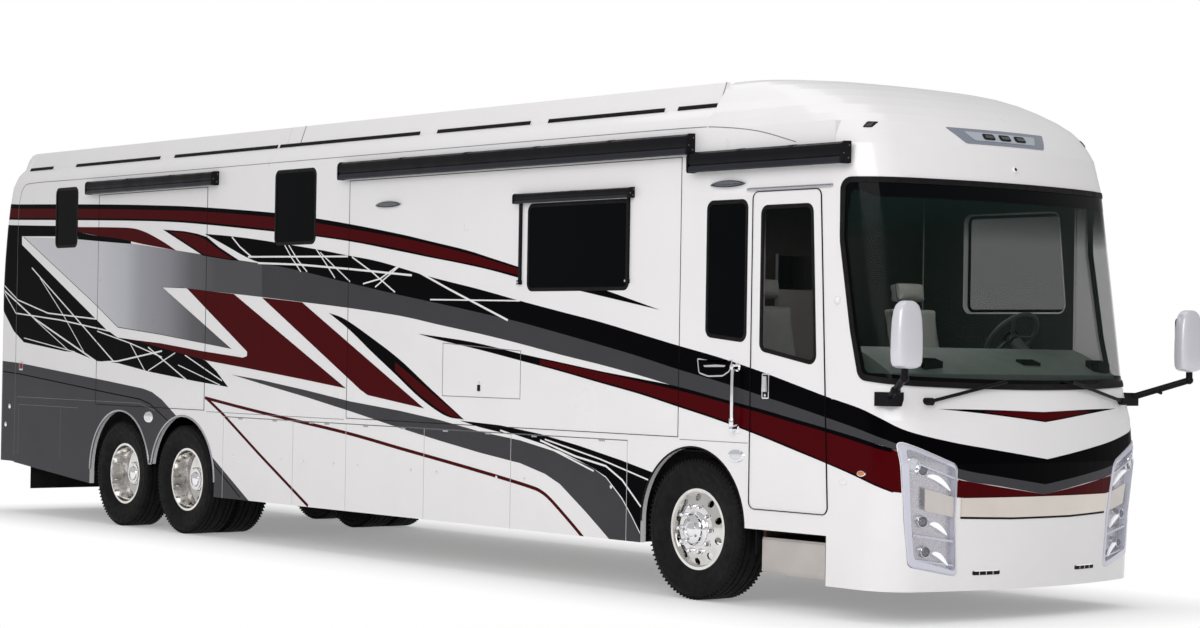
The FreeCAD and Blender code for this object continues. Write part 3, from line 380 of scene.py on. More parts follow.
@dataclass(frozen=True)
class Glass(Finish):
    """Tinted glass that lets some of the cab show, darker in a shade band above band_low."""

    rough: float = 0.04
    cover: float = 0.8
    band: float = 0.97
    band_low: float = 9.0
    band_high: float = 10.0
    shine: float = 0.3

    def shade(self, w: Wiring) -> bpy.types.NodeSocket:
        """How much the glass hides at each height."""
        return w.span(w.axis("Z"), self.cover, self.band, self.band_low, self.band_high)

    def dress(self, w: Wiring) -> None:
        """Wires the tint, the shade band and faint smears.

        Args:
            w: the material being wired.
        """
        w.set(Base_Color=self.base(w), Roughness=w.span(w.noise(5.0, 7.0), 0.02, self.rough * 2),
              Alpha=self.shade(w), Specular_IOR_Level=self.shine)
        w.bump(w.noise(0.9, 1.0), 0.0006, 0.3)


@dataclass(frozen=True)
class SideGlass(Glass):
    """Privacy glass, clearer in the driver's window on the left."""

    driver: float = 0.56
    front: float = 4.6

    def shade(self, w: Wiring) -> bpy.types.NodeSocket:
        """How much the glass hides at each place.

        Args:
            w: the material being wired.

        Returns:
            The alpha socket.
        """
        ahead = w.span(w.axis("X"), 0.0, 1.0, self.front, self.front + 0.1)
        left = w.span(w.axis("Y"), 0.0, 1.0, 0.0, 0.1)
        return w.span(w.join(ahead, left, "MULTIPLY"), self.cover, self.driver, 0.0, 1.0)


@dataclass(frozen=True)
class Lens(Finish):
    """Clear or coloured lamp lens with vertical flutes pressed in it."""

    rough: float = 0.08
    cover: float = 0.35
    flutes: float = 90.0
    glow: float = 0.0
    gloss: float = 0.8

    def dress(self, w: Wiring) -> None:
        """Wires the flutes and the tint.

        Args:
            w: the material being wired.
        """
        feeds = {"Vector": w.place, "Scale": self.flutes / math.tau, "Distortion": 0.2}
        wave = w.node("ShaderNodeTexWave", feeds, wave_type="BANDS", bands_direction="DIAGONAL")
        w.set(Base_Color=self.base(w), Alpha=self.cover, Coat_Weight=self.gloss, Coat_Roughness=0.03,
              Roughness=w.span(w.noise(8.0, 4.0), 0.04, self.rough * 1.6),
              Specular_IOR_Level=0.75 * self.gloss)
        if self.glow:
            w.set(Emission_Color=self.colour, Emission_Strength=self.glow)
        w.bump(wave.outputs["Fac"], 0.0005, 0.5)


@dataclass(frozen=True)
class Leather(Finish):
    """Upholstery hide: pebbled grain, creases and a low sheen."""

    rough: float = 0.55
    pebble: float = 320.0

    def dress(self, w: Wiring) -> None:
        """Wires pebbles, creases and sheen.

        Args:
            w: the material being wired.
        """
        cells = w.node("ShaderNodeTexVoronoi", {"Vector": w.place, "Scale": self.pebble},
                       feature="SMOOTH_F1").outputs[0]
        crease = w.span(w.noise(11.0, 9.0), 0.0, 1.0, 0.42, 0.6)
        dark = tuple(c * 0.9 for c in self.colour)
        w.set(Base_Color=w.blend(crease, dark, self.base(w)), Sheen_Weight=0.12, Sheen_Roughness=0.5,
              Roughness=w.span(cells, self.rough - 0.1, self.rough + 0.12))
        w.bump(w.join(cells, crease, "SUBTRACT"), 0.0006)


@dataclass(frozen=True)
class Plank(Finish):
    """Timber with long grain along X, in boards across Y."""

    rough: float = 0.4
    board: float = 0.14

    def dress(self, w: Wiring) -> None:
        """Wires the grain lines and the board joints.

        Args:
            w: the material being wired.
        """
        grain = w.noise(26.0, 8.0, (0.12, 1.6, 1.6))
        joint = w.node("ShaderNodeTexBrick", {"Vector": w.place, "Scale": 1.0, "Mortar Size": 0.0016,
                                              "Brick Width": 1.2, "Row Height": self.board,
                                              "Color1": (1, 1, 1, 1), "Color2": (0.72, 0.72, 0.72, 1)})
        dark = tuple(c * 0.45 for c in self.colour)
        wood = w.blend(w.span(grain, 0.0, 1.0, 0.35, 0.68), dark, self.base(w))
        tinted = w.node("ShaderNodeMix", {0: 1.0, 6: wood, 7: joint.outputs[0]}, data_type="RGBA",
                        blend_type="MULTIPLY")
        w.set(Base_Color=tinted.outputs[2], Roughness=w.span(grain, self.rough - 0.1, self.rough + 0.15))
        w.bump(grain, 0.0003)


WHITE = Paint("coach_white_gelcoat", srgb(240, 238, 239), dirt=0.05)
RED = Paint("deep_red_paint", srgb(72, 0, 5), dirt=0.004, tone=0.05, gloss=0.05)
BLACK = Paint("livery_black_paint", srgb(2, 2, 4), dirt=0.002, tone=0.08, gloss=0.03)
CHARCOAL = Paint("charcoal_metallic_paint", srgb(63, 62, 66), metal=0.1, tone=0.05, dirt=0.01, gloss=0.12)
SILVER = FadePaint("silver_fade_paint", srgb(190, 190, 196), metal=0.15, gloss=0.5,
                   stops=((-6.3, srgb(212, 211, 216)), (-4.6, srgb(203, 203, 209)),
                          (-4.05, srgb(186, 187, 193)), (-3.75, srgb(156, 156, 163)),
                          (-3.2, srgb(132, 132, 139)), (-2.75, srgb(84, 83, 88)), (-2.3, srgb(62, 61, 66))))
TYRE = Rubber("tyre_rubber", srgb(16, 16, 18), tone=0.12)
SEAL = Rubber("seal_rubber", srgb(10, 10, 12), rough=0.6)
FLAP = Rubber("mudflap_rubber", srgb(24, 24, 25), rough=0.8)
POLISHED = Metal("polished_aluminium", srgb(226, 224, 221), rough=0.13, grain=160.0, depth=0.00008)
CHROME = Metal("chrome_plate", srgb(236, 236, 240), rough=0.06, uneven=0.03, grain=90.0, depth=0.00002,
               dirt=0.05)
BRUSHED = Metal("brushed_silver", srgb(214, 206, 198), rough=0.34, grain=240.0, brush=(1.0, 0.04, 3.0),
                depth=0.00015, dirt=0.03, tone=0.04)
ALLOY = Metal("cast_alloy", srgb(150, 150, 152), rough=0.42, grain=300.0, depth=0.0003, dirt=0.3)
LAMP_PAN = Metal("lamp_reflector", srgb(196, 192, 196), rough=0.24, grain=60.0, depth=0.0001, dirt=0.04,
                 metal=0.75)
LAMP_FRAME = Paint("lamp_frame_pearl", srgb(206, 206, 220), metal=0.35, rough=0.2, tone=0.03, dirt=0.04)
SCREEN_GLASS = Glass("windscreen_glass", srgb(15, 29, 26), cover=0.3, band=0.95, band_low=2.6,
                     band_high=3.0, shine=0.07)
CAB_GLASS = Glass("cab_side_glass", srgb(4, 6, 6), cover=0.45, band=0.95, band_low=2.5, band_high=2.9,
                  shine=0.05)
DARK_GLASS = SideGlass("privacy_glass", srgb(3, 4, 6), cover=0.985, shine=0.04)
CLEAR = Lens("clear_lens", srgb(214, 217, 224), cover=0.22)
COVER = Glass("lamp_cover", srgb(214, 218, 228), cover=0.10, shine=0.3)
# The faint glow is lamp light in the tail lamp cells; on the flank reflector, which is no lamp, it is
# painted light.
AMBER = Lens("amber_lens", srgb(214, 118, 30), cover=0.92, glow=0.04)
SMOKED = Lens("smoked_lens", srgb(16, 16, 20), cover=0.97)
RUBY = Lens("ruby_lens", srgb(132, 6, 10), cover=0.96, glow=0.03, gloss=0.22)
PROJECTOR = Lens("projector_glass", srgb(30, 32, 38), cover=0.9, flutes=8.0, rough=0.03)
GUIDE = Lens("light_guide", srgb(244, 245, 250), cover=0.96, flutes=30.0, glow=0.35)
MIRROR_SHELL = Paint("mirror_shell_silver", srgb(214, 213, 220), metal=0.2, tone=0.02, dirt=0.02)
CROWN_GREY = Paint("crown_blue_grey", srgb(134, 140, 154), metal=0.3, tone=0.03, dirt=0.0)
CROWN_PALE = Paint("crown_pale_grey", srgb(182, 188, 198), metal=0.3, tone=0.03, dirt=0.0)
# Lighter grey for the awning's lead rail and the ridge on its hood: partly a painted highlight along them.
RAIL_HIGHLIGHT_GREY = Finish("awning_rail_grey", srgb(30, 32, 40), rough=0.4, metal=0.2, shine=0.3, grain=420.0,
                   depth=0.0001)
TEXTILE = Finish("awning_fabric_roll", srgb(22, 23, 27), rough=0.85, grain=900.0, depth=0.0005)
SEAM = Finish("body_seam_grey", srgb(128, 126, 127), rough=0.6, grain=500.0, depth=0.0001)
LIP = Metal("lip_bright_grey", srgb(176, 176, 182), rough=0.3, metal=0.8, grain=200.0, depth=0.0001,
            dirt=0.06)
FRIT = Glass("screen_frit_black", srgb(4, 5, 7), cover=1.0, band=1.0, shine=0.06)
SMOKE = Finish("smoked_vent_lid", srgb(120, 122, 126), rough=0.35, grain=300.0, depth=0.0001)
FRAME_BLACK = Finish("chassis_enamel", srgb(26, 26, 27), rough=0.5, grain=180.0, depth=0.0006, tone=0.25,
                     uneven=0.16)
SATIN = Finish("satin_black_aluminium", srgb(7, 7, 12), rough=0.45, metal=0.0, shine=0.14, grain=500.0,
               depth=0.0001)
IRON = Finish("engine_iron", srgb(74, 70, 66), rough=0.66, metal=0.55, grain=240.0, depth=0.0012, tone=0.3,
              uneven=0.2)
BAY_GREY = Finish("bay_grey_coating", srgb(150, 148, 146), rough=0.55, grain=320.0, depth=0.0004)
STEP_GREY = Finish("step_warm_grey", srgb(192, 186, 182), rough=0.5, grain=260.0, depth=0.0004)
CAB_PLASTIC = Finish("cab_moulded_plastic", srgb(84, 92, 88), rough=0.62, grain=620.0, depth=0.0005,
                     tone=0.12)
DASH_COVER = Finish("dash_cover_vinyl", srgb(128, 142, 134), rough=0.6, grain=520.0, depth=0.0004,
                    tone=0.08)
# Dark cloth for the cab's linings: its darkness stands partly for the shade inside the cab, painted shade.
LINER_WITH_PAINTED_SHADE = Finish("headliner_dark_cloth", srgb(40, 42, 42), rough=0.9, grain=1100.0, depth=0.0006, tone=0.15)
HIDE = Leather("seat_hide", srgb(186, 188, 180))
PIPING = Leather("seat_piping", srgb(92, 90, 86), rough=0.6)
FLOOR_WOOD = Plank("floor_walnut", srgb(96, 72, 54))
CABINET = Plank("cabinet_walnut", srgb(52, 40, 34), board=0.6)


# ---------------------------------------------------------------- making meshes

def flow(points: Sequence[Flat], steps: int = 5) -> List[Flat]:
    """A smooth line through the points.

    Args:
        points: what the line passes through, in order.
        steps: pieces to each span.

    Returns:
        The finer line, ends included.
    """
    if len(points) < 3:
        return list(points)
    known = [Vector(p) for p in points]
    known = [known[0] * 2 - known[1], *known, known[-1] * 2 - known[-2]]
    line: List[Flat] = []
    for a, b, c, d in zip(known, known[1:], known[2:], known[3:]):
        for step in range(steps):
            t = step / steps
            line.append(tuple(0.5 * (2 * b + (c - a) * t + (2 * a - 5 * b + 4 * c - d) * t ** 2
                                     + (3 * b - a - 3 * c + d) * t ** 3)))
    line.append(tuple(known[-2]))
    return line


def area(loop: Sequence[Flat]) -> float:
    """Signed area of a loop, positive anticlockwise."""
    return 0.5 * sum(a[0] * b[1] - b[0] * a[1] for a, b in zip(loop, list(loop[1:]) + [loop[0]]))


def offset(loop: Sequence[Flat], distance: float) -> List[Flat]:
    """The loop moved outwards by distance, mitred at its corners.

    Args:
        loop: the corners in order.
        distance: how far each side moves outwards, or inwards if negative.

    Returns:
        The moved loop.
    """
    ring = list(loop) if area(loop) > 0 else list(loop)[::-1]
    count, moved = len(ring), []
    for i, here in enumerate(ring):
        before, after = Vector(ring[i - 1]), Vector(ring[(i + 1) % count])
        a, b = (Vector(here) - before).normalized(), (after - Vector(here)).normalized()
        normal = Vector((a.y + b.y, -a.x - b.x))
        normal = normal.normalized() if normal.length > 1e-9 else Vector((a.y, -a.x))
        reach = distance / max(0.35, normal.dot(Vector((a.y, -a.x))))
        moved.append((here[0] + normal.x * reach, here[1] + normal.y * reach))
    return moved


def rounded(corners: Sequence[Flat], radius: float, steps: int = 5) -> List[Flat]:
    """The polygon with each corner turned by a curve about radius long on each side.

    Args:
        corners: the corners in order.
        radius: how far back from each corner its curve starts.
        steps: the pieces in each curve.

    Returns:
        The rounded loop.
    """
    loop: List[Flat] = []
    for i, here in enumerate(corners):
        at, before, after = Vector(here), Vector(corners[i - 1]), Vector(corners[(i + 1) % len(corners)])
        reach = min(radius, (before - at).length * 0.45, (after - at).length * 0.45)
        start, end = at + (before - at).normalized() * reach, at + (after - at).normalized() * reach
        for step in range(steps + 1):
            t = step / steps
            loop.append(tuple(start * (1 - t) ** 2 + at * 2 * t * (1 - t) + end * t * t))
    return loop


def box_loop(low: Flat, high: Flat) -> List[Flat]:
    """The four corners of a rectangle."""
    return [low, (high[0], low[1]), high, (low[0], high[1])]


def around(count: int) -> List[float]:
    """The angles of equal steps round a circle."""
    return [math.tau * k / count for k in range(count)]


def divided(a: Flat, b: Flat, parts: int) -> List[Flat]:
    """A straight run cut into parts, its end left out."""
    return [(a[0] + (b[0] - a[0]) * k / parts, a[1] + (b[1] - a[1]) * k / parts) for k in range(parts)]


def raised(p: Flat, axis: str, level: float) -> Solid:
    """A flat point, given in the other two axes in XYZ order, at a level of an axis."""
    return {"X": (level, p[0], p[1]), "Y": (p[0], level, p[1]), "Z": (p[0], p[1], level)}[axis]


def upright(p: Flat, y: float) -> Vector:
    """A point (x, z) of a plate that stands at y."""
    return Vector(raised(p, "Y", y))


class Shape:
    """Gathers closed forms, each in its finish, and makes one piece of them."""

    def __init__(self) -> None:
        """Starts empty."""
        self.mesh = bmesh.new()
        self.finishes: List[Finish] = []

    def close(self, faces: Iterable[bmesh.types.BMFace], finish: Finish, bevel: float = 0.0,
              segments: int = 2, sharp: float = 32.0) -> None:
        """Bevels a new closed form, turns its faces outwards and gives it its finish.

        Args:
            faces: the faces of the form.
            finish: what it is covered with.
            bevel: the width of the bevel, or 0 for none.
            segments: the rows of faces in the bevel.
            sharp: the angle in degrees above which an edge is bevelled.
        """
        faces = list(faces)
        if finish not in self.finishes:
            self.finishes.append(finish)
        number = self.finishes.index(finish)
        for face in faces:
            face.material_index = number
        if bevel > 0.0:
            edges = [e for e in {e for f in faces for e in f.edges} if len(e.link_faces) == 2
                     and e.calc_face_angle(0.0) > math.radians(sharp)]
            made = bmesh.ops.bevel(self.mesh, geom=edges, offset=bevel, segments=segments, profile=0.5,
                                   affect="EDGES", clamp_overlap=True, material=number)
            faces = [f for f in faces if f.is_valid] + list(made["faces"])
        bmesh.ops.recalc_face_normals(self.mesh, faces=[f for f in set(faces) if f.is_valid])

    def rings(self, rings: Sequence[Sequence[Solid]], finish: Finish, loop: bool = False,
              bevel: float = 0.0) -> None:
        """Joins rings of equal count into a tube or a loop of tube.

        Args:
            rings: the closed rings, each a list of points.
            finish: what it is covered with.
            loop: whether the last ring joins the first; flat ends close the tube if not.
            bevel: the edge radius.
        """
        rows = [[self.mesh.verts.new(p) for p in ring] for ring in rings]
        count, faces = len(rows[0]), []
        for a, b in zip(rows, rows[1:] + ([rows[0]] if loop else [])):
            for i in range(count):
                j = (i + 1) % count
                faces.append(self.mesh.faces.new((a[i], a[j], b[j], b[i])))
        if not loop:
            faces += [self.mesh.faces.new(rows[0][::-1]), self.mesh.faces.new(rows[-1])]
        self.close(faces, finish, bevel)

    def prism(self, outline: Sequence[Flat], axis: str, start: float, end: float, finish: Finish,
              bevel: float = 0.0) -> None:
        """Extrudes an outline along an axis.

        Args:
            outline: points in the other two axes, in XYZ order.
            axis: X, Y or Z.
            start: where it begins on the axis.
            end: where it ends.
            finish: what it is covered with.
            bevel: the edge radius.
        """
        self.rings([[raised(p, axis, level) for p in outline] for level in (start, end)], finish,
                   bevel=bevel)

    def box(self, low: Solid, high: Solid, finish: Finish, bevel: float = 0.004) -> None:
        """A block between two corners, its edges rounded."""
        low, high = tuple(map(min, low, high)), tuple(map(max, low, high))
        self.prism(box_loop(low[:2], high[:2]), "Z", low[2], high[2], finish, bevel)

    def frame(self, loop: Sequence[Flat], inward: float, outward: float, axis: str, start: float,
              end: float, finish: Finish) -> None:
        """A flat ring round a loop, from start to end along an axis.

        Args:
            loop: the middle of the ring, as corners in order.
            inward: how far the ring reaches inside the loop.
            outward: how far it reaches outside.
            axis: X, Y or Z.
            start: where it starts along the axis.
            end: where its edges end; its middle is crowned past this.
            finish: what it is covered with.
        """
        inner, outer = offset(loop, -inward), offset(loop, outward)
        mid = offset(loop, (outward - inward) / 2)
        crown = end + (end - start) * 0.35
        rows = [[raised(p, axis, level) for p in ring] for ring, level in
                ((inner, start), (inner, end), (mid, crown), (outer, end), (outer, start))]
        self.rings(rows, finish, loop=True)

    def lathe(self, profile: Sequence[Flat], centre: Solid, axis: Solid, finish: Finish, segments: int = 48,
              ring: bool = False) -> None:
        """Turns a profile about an axis.

        Args:
            profile: (radius, height along the axis) points; a closed section if ring is set.
            centre: where height 0 is.
            axis: which way height runs.
            finish: what it is covered with.
            segments: steps round.
            ring: whether the profile is a closed section that never meets the axis.
        """
        along = Vector(axis).normalized()
        side = along.orthogonal().normalized()
        other = along.cross(side)
        rows = []
        for step in range(segments):
            turn = math.tau * step / segments
            out = side * math.cos(turn) + other * math.sin(turn)
            rows.append([tuple(Vector(centre) + out * r + along * h) for r, h in profile])
        verts = [[self.mesh.verts.new(p) for p in row] for row in rows]
        faces, count = [], len(profile)
        last = count if ring else count - 1
        for a, b in zip(verts, verts[1:] + [verts[0]]):
            for i in range(last):
                j = (i + 1) % count
                faces.append(self.mesh.faces.new((a[i], a[j], b[j], b[i])))
        if not ring:
            for end in (0, -1):
                if profile[end][0] > 1e-6:
                    faces.append(self.mesh.faces.new([row[end] for row in verts]))
                else:
                    bmesh.ops.remove_doubles(self.mesh, verts=[row[end] for row in verts], dist=1e-6)
        self.close([f for f in faces if f.is_valid], finish)

    def tube(self, path: Sequence[Solid], radius: float, finish: Finish, segments: int = 10,
             closed: bool = False) -> None:
        """A round bar along a path.

        Args:
            path: the centre line.
            radius: the bar's radius.
            finish: what it is covered with.
            segments: steps round the bar.
            closed: whether the path is a loop.
        """
        points = [Vector(p) for p in path]
        rings, normal = [], None
        for i, at in enumerate(points):
            before = points[i - 1] if i or closed else at
            after = points[(i + 1) % len(points)] if i < len(points) - 1 or closed else at
            along = (after - before).normalized()
            normal = along.orthogonal() if normal is None else normal - along * normal.dot(along)
            normal = normal.normalized()
            other = along.cross(normal)
            rings.append([tuple(at + (normal * math.cos(t) + other * math.sin(t)) * radius)
                          for t in around(segments)])
        self.rings(rings, finish, loop=closed)

    def shaded(self, name: str, smooth: float) -> bpy.types.Mesh:
        """The finished mesh, smooth except at edges above an angle in degrees.

        Args:
            name: the mesh's name.
            smooth: the angle in degrees above which an edge stays sharp.

        Returns:
            The mesh.
        """
        for face in self.mesh.faces:
            face.smooth = True
        for edge in self.mesh.edges:
            if len(edge.link_faces) == 2 and edge.calc_face_angle(0.0) > math.radians(smooth):
                edge.smooth = False
        data = bpy.data.meshes.new(name)
        self.mesh.to_mesh(data)
        self.mesh.free()
        return data

    def piece(self, name: str, body: str, slot: str, replaces: Sequence[str] = (),
              smooth: float = CREASE) -> bpy.types.Object:
        """Makes the object, shades it, and hands it to the frame.

        Args:
            name: the piece's name.
            body: the body it rides on.
            slot: not used.
            replaces: the CAD nodes it stands for.
            smooth: the angle in degrees above which an edge stays sharp.

        Returns:
            The object.
        """
        data = self.shaded(name, smooth)
        for finish in self.finishes:
            data.materials.append(finish.material())
        return settle(bpy.data.objects.new(name, data), body, replaces)


def settle(piece: bpy.types.Object, body: str, replaces: Sequence[str] = ()) -> bpy.types.Object:
    """Links a finished piece, rides it on its body and reports it.

    Args:
        piece: the finished piece.
        body: the body it rides on.
        replaces: the CAD nodes it stands for.

    Returns:
        The piece.
    """
    if piece.name not in bpy.context.scene.collection.all_objects:
        bpy.context.scene.collection.objects.link(piece)
    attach(piece, body)
    if replaces:
        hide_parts(*replaces)
    log.info("%s on %s, %d faces", piece.name, body, len(piece.data.polygons))
    return piece


class Repeat:
    """A Geometry Nodes tree that lays copies of a form in a row, a ring or a spiral."""

    NAME = "repeat_form"

    @classmethod
    def tree(cls) -> bpy.types.NodeTree:
        """The node group, built once: Count, Start, Step, Axis, Turn and Finish.

        Returns:
            The node group.
        """
        have = bpy.data.node_groups.get(cls.NAME)
        if have:
            return have
        tree = bpy.data.node_groups.new(cls.NAME, "GeometryNodeTree")
        face = tree.interface
        for label, kind in (("Geometry", "Geometry"), ("Count", "Int"), ("Start", "Vector"),
                            ("Step", "Vector"), ("Axis", "Vector"), ("Turn", "Float"),
                            ("Finish", "Material")):
            face.new_socket(label, in_out="INPUT", socket_type=f"NodeSocket{kind}")
        face.new_socket("Geometry", in_out="OUTPUT", socket_type="NodeSocketGeometry")

        def add(kind: str, feeds: Dict[object, bpy.types.NodeSocket], how: str = "") -> bpy.types.Node:
            """A node of the tree, fed by sockets, with its operation if it has one.

            Args:
                kind: the node's type.
                feeds: sockets by name or number, each with the socket that feeds it.
                how: the node's operation, or nothing.

            Returns:
                The node.
            """
            made = tree.nodes.new(kind)
            if how:
                made.operation = how
            for key, socket in feeds.items():
                tree.links.new(socket, made.inputs[key])
            return made

        given = add("NodeGroupInput", {}).outputs
        index = add("GeometryNodeInputIndex", {}).outputs[0]
        stride = add("ShaderNodeVectorMath", {0: given["Step"], 3: index}, "SCALE")
        spot = add("ShaderNodeVectorMath", {0: given["Start"], 1: stride.outputs[0]})
        points = add("GeometryNodePoints", {"Count": given["Count"], "Position": spot.outputs[0]})
        angle = add("ShaderNodeMath", {0: index, 1: given["Turn"]}, "MULTIPLY")
        turn = add("FunctionNodeAxisAngleToRotation", {"Axis": given["Axis"], "Angle": angle.outputs[0]})
        copies = add("GeometryNodeInstanceOnPoints", {"Points": points.outputs[0],
                                                      "Instance": given["Geometry"],
                                                      "Rotation": turn.outputs[0]})
        real = add("GeometryNodeRealizeInstances", {0: copies.outputs[0]})
        dress = add("GeometryNodeSetMaterial", {"Geometry": real.outputs[0], "Material": given["Finish"]})
        add("NodeGroupOutput", {0: dress.outputs[0]})
        return tree

    @classmethod
    def lay(cls, shape: Shape, name: str, body: str, slot: str, count: int, start: Solid, finish: Finish,
            step: Solid = (0.0, 0.0, 0.0), axis: Solid = (0.0, 0.0, 1.0),
            turn: float = 0.0) -> bpy.types.Object:
        """Repeats a form and makes one plain mesh of the copies.

        Args:
            shape: the form, modelled about the origin.
            name: the piece's name.
            body: the body it rides on.
            slot: not used.
            count: how many copies.
            start: where the first is.
            finish: what they are covered with.
            step: from one copy to the next.
            axis: what each copy turns about.
            turn: radians from one copy to the next.

        Returns:
            The object.
        """
        seed = shape.shaded(name + "_form", CREASE)
        holder = bpy.data.objects.new(name + "_form", seed)
        bpy.context.scene.collection.objects.link(holder)
        group = cls.tree()
        modifier = holder.modifiers.new("repeat", "NODES")
        modifier.node_group = group
        values = {"Count": count, "Start": start, "Step": step, "Axis": axis, "Turn": turn,
                  "Finish": finish.material()}
        for item in group.interface.items_tree:
            if item.in_out == "INPUT" and item.name in values:
                modifier[item.identifier] = values[item.name]
        bpy.context.view_layer.update()
        graph = bpy.context.evaluated_depsgraph_get()
        data = bpy.data.meshes.new_from_object(holder.evaluated_get(graph), depsgraph=graph)
        holder.modifiers.remove(modifier)
        bpy.data.objects.remove(holder)
        bpy.data.meshes.remove(seed)
        data.name = name
        return settle(bpy.data.objects.new(name, data), body)


# ---------------------------------------------------------------- the body's skin

def flat_loops(node: str, axis: int, level: float) -> List[List[Flat]]:
    """The outlines of a CAD node's flat face at one level of an axis.

    Args:
        node: the CAD node.
        axis: 0 for X or 1 for Y.
        level: where the face is.

    Returns:
        Closed loops in the other two axes, outer edges and holes alike.
    """
    mesh = FRAME["nodes"][node].data
    keep = (1, 2) if axis == 0 else (0, 2)
    seen: Dict[Tuple[Flat, Flat], bool] = {}
    for face in mesh.polygons:
        corners = [mesh.vertices[i].co for i in face.vertices]
        if max(abs(c[axis] - level) for c in corners) > 2e-4:
            continue
        ring = [(round(c[keep[0]], 4), round(c[keep[1]], 4)) for c in corners]
        for a, b in zip(ring, ring[1:] + ring[:1]):
            if a != b:
                seen[(a, b)] = True
    edges = {a: [] for a, _ in seen}
    for a, b in seen:
        if (b, a) not in seen:
            edges[a].append(b)
    loops = []
    while any(edges.values()):
        start = next(a for a, ends in edges.items() if ends)
        loop, at = [start], edges[start].pop()
        while at != start and edges.get(at):
            loop.append(at)
            at = edges[at].pop()
        if len(loop) > 2:
            loops.append(loop)
    return loops


def outline_of(node: str, level: float) -> List[Flat]:
    """The largest outline of a CAD node's flat face at one Y."""
    return max(flat_loops(node, 1, level), key=lambda ring: abs(area(ring)))


FRAME: Dict[str, object] = {}


@dataclass(frozen=True)
class BodyLine:
    """The body's plan outline unrolled: u runs forward along the flank and round each cap to its middle."""

    nose: float = 6.7425
    face: float = 3.69
    corner: float = 0.31
    tail: float = -6.8125
    tail_corner: float = 0.15

    @property
    def turn(self) -> float:
        """The angle of a front corner."""
        return math.pi / 2 - math.asin((HALF_WIDTH - self.corner) / (self.face - self.corner))

    @property
    def bend(self) -> float:
        """Where the front corner starts."""
        return self.nose - self.face + (self.face - self.corner) * math.cos(math.pi / 2 - self.turn)

    @property
    def cheek(self) -> float:
        """Where the front corner ends and the face starts."""
        return self.bend + self.corner * self.turn

    @property
    def middle(self) -> float:
        """u at the middle of the nose."""
        return self.cheek + self.face * (math.pi / 2 - self.turn)

    @property
    def tail_bend(self) -> float:
        """Where the tail corner starts."""
        return self.tail + self.tail_corner

    @property
    def tail_cheek(self) -> float:
        """Where the tail corner ends and the flat tail starts."""
        return self.tail_bend - self.tail_corner * math.pi / 2

    @property
    def tail_middle(self) -> float:
        """u at the middle of the tail."""
        return self.tail_cheek - (HALF_WIDTH - self.tail_corner)

    def at(self, u: float, side: Side) -> Tuple[Vector, Vector]:
        """The outline's point and outward direction at u, at z = 0.

        Args:
            u: the distance round the outline.
            side: which flank.

        Returns:
            The point and the direction.
        """
        s = side.value
        if u < self.tail_cheek:
            return Vector((self.tail, s * (u - self.tail_middle), 0)), Vector((-1, 0, 0))
        if u < self.tail_bend:
            start, radius, a = self.tail_bend, self.tail_corner, (u - self.tail_bend) / self.tail_corner
        elif u <= self.bend:
            return Vector((u, s * HALF_WIDTH, 0)), Vector((0, s, 0))
        elif u <= self.cheek:
            start, radius, a = self.bend, self.corner, (u - self.bend) / self.corner
        else:
            a = (self.middle - u) / self.face
            out = Vector((math.cos(a), s * math.sin(a), 0))
            return Vector((self.nose - self.face, 0, 0)) + out * self.face, out
        out = Vector((math.sin(a), s * math.cos(a), 0))
        return Vector((start, s * (HALF_WIDTH - radius), 0)) + out * radius, out

    def front(self, y: float) -> float:
        """u of the front at a distance y from the middle.

        Args:
            y: the distance from the middle.

        Returns:
            The distance round the outline.
        """
        if y <= self.face * math.sin(math.pi / 2 - self.turn):
            return self.middle - self.face * math.asin(y / self.face)
        return self.bend + self.corner * math.acos(min(1.0, (y - HALF_WIDTH + self.corner) / self.corner))


LINE = BodyLine()


def plate(shape: "Shape", loops: Sequence[Sequence[Flat]], place: Callable[[Flat, float], Vector],
          low: float, high: float, finish: Finish, step: float) -> None:
    """A thin closed plate over a region.

    Args:
        shape: what it is added to.
        loops: the region's outline and holes.
        place: gives the point in space of a flat point at a height.
        low: height of the underside.
        high: height of the top.
        finish: what it is covered with.
        step: how closely it follows the surface.
    """
    spots, faces = region(loops, step)
    rows = [[shape.mesh.verts.new(place(p, lift)) for p in spots] for lift in (low, high)]
    made, edges = [], set()
    for face in faces:
        made.append(shape.mesh.faces.new([rows[1][i] for i in face]))
        made.append(shape.mesh.faces.new([rows[0][i] for i in reversed(face)]))
        edges |= set(zip(face, face[1:] + face[:1]))
    for a, b in edges:
        if (b, a) not in edges:
            made.append(shape.mesh.faces.new((rows[1][b], rows[1][a], rows[0][a], rows[0][b])))
    bmesh.ops.delete(shape.mesh, geom=[v for row in rows for v in row if not v.link_faces], context="VERTS")
    shape.close(made, finish)


def region(loops: Sequence[Sequence[Flat]], step: float) -> Tuple[List[Flat], List[List[int]]]:
    """Divides a region into triangles no larger than step.

    Args:
        loops: the outline and holes.
        step: the grid's spacing.

    Returns:
        The points, and the triangles as numbers of points, anticlockwise.
    """
    corners: List[Vector] = []
    rings: List[List[int]] = []
    for loop in loops:
        ring = list(loop) if area(loop) > 0 else list(loop)[::-1]
        rings.append(list(range(len(corners), len(corners) + len(ring))))
        corners += [Vector(p) for p in ring]
    low = [min(c[i] for c in corners) for i in (0, 1)]
    high = [max(c[i] for c in corners) for i in (0, 1)]
    edges = []
    for i in (0, 1):
        for k in range(1, int((high[i] - low[i]) / step) + 1):
            at = low[i] + k * step
            ends = [(at, low[1]), (at, high[1])] if i == 0 else [(low[0], at), (high[0], at)]
            edges.append((len(corners), len(corners) + 1))
            corners += [Vector(e) for e in ends]
    spots, _, faces, _, _, owners = delaunay_2d_cdt(corners, edges, rings, 0, 1e-6)
    kept = [list(f) for f, held in zip(faces, owners) if len(held) % 2]
    return [tuple(s) for s in spots], kept


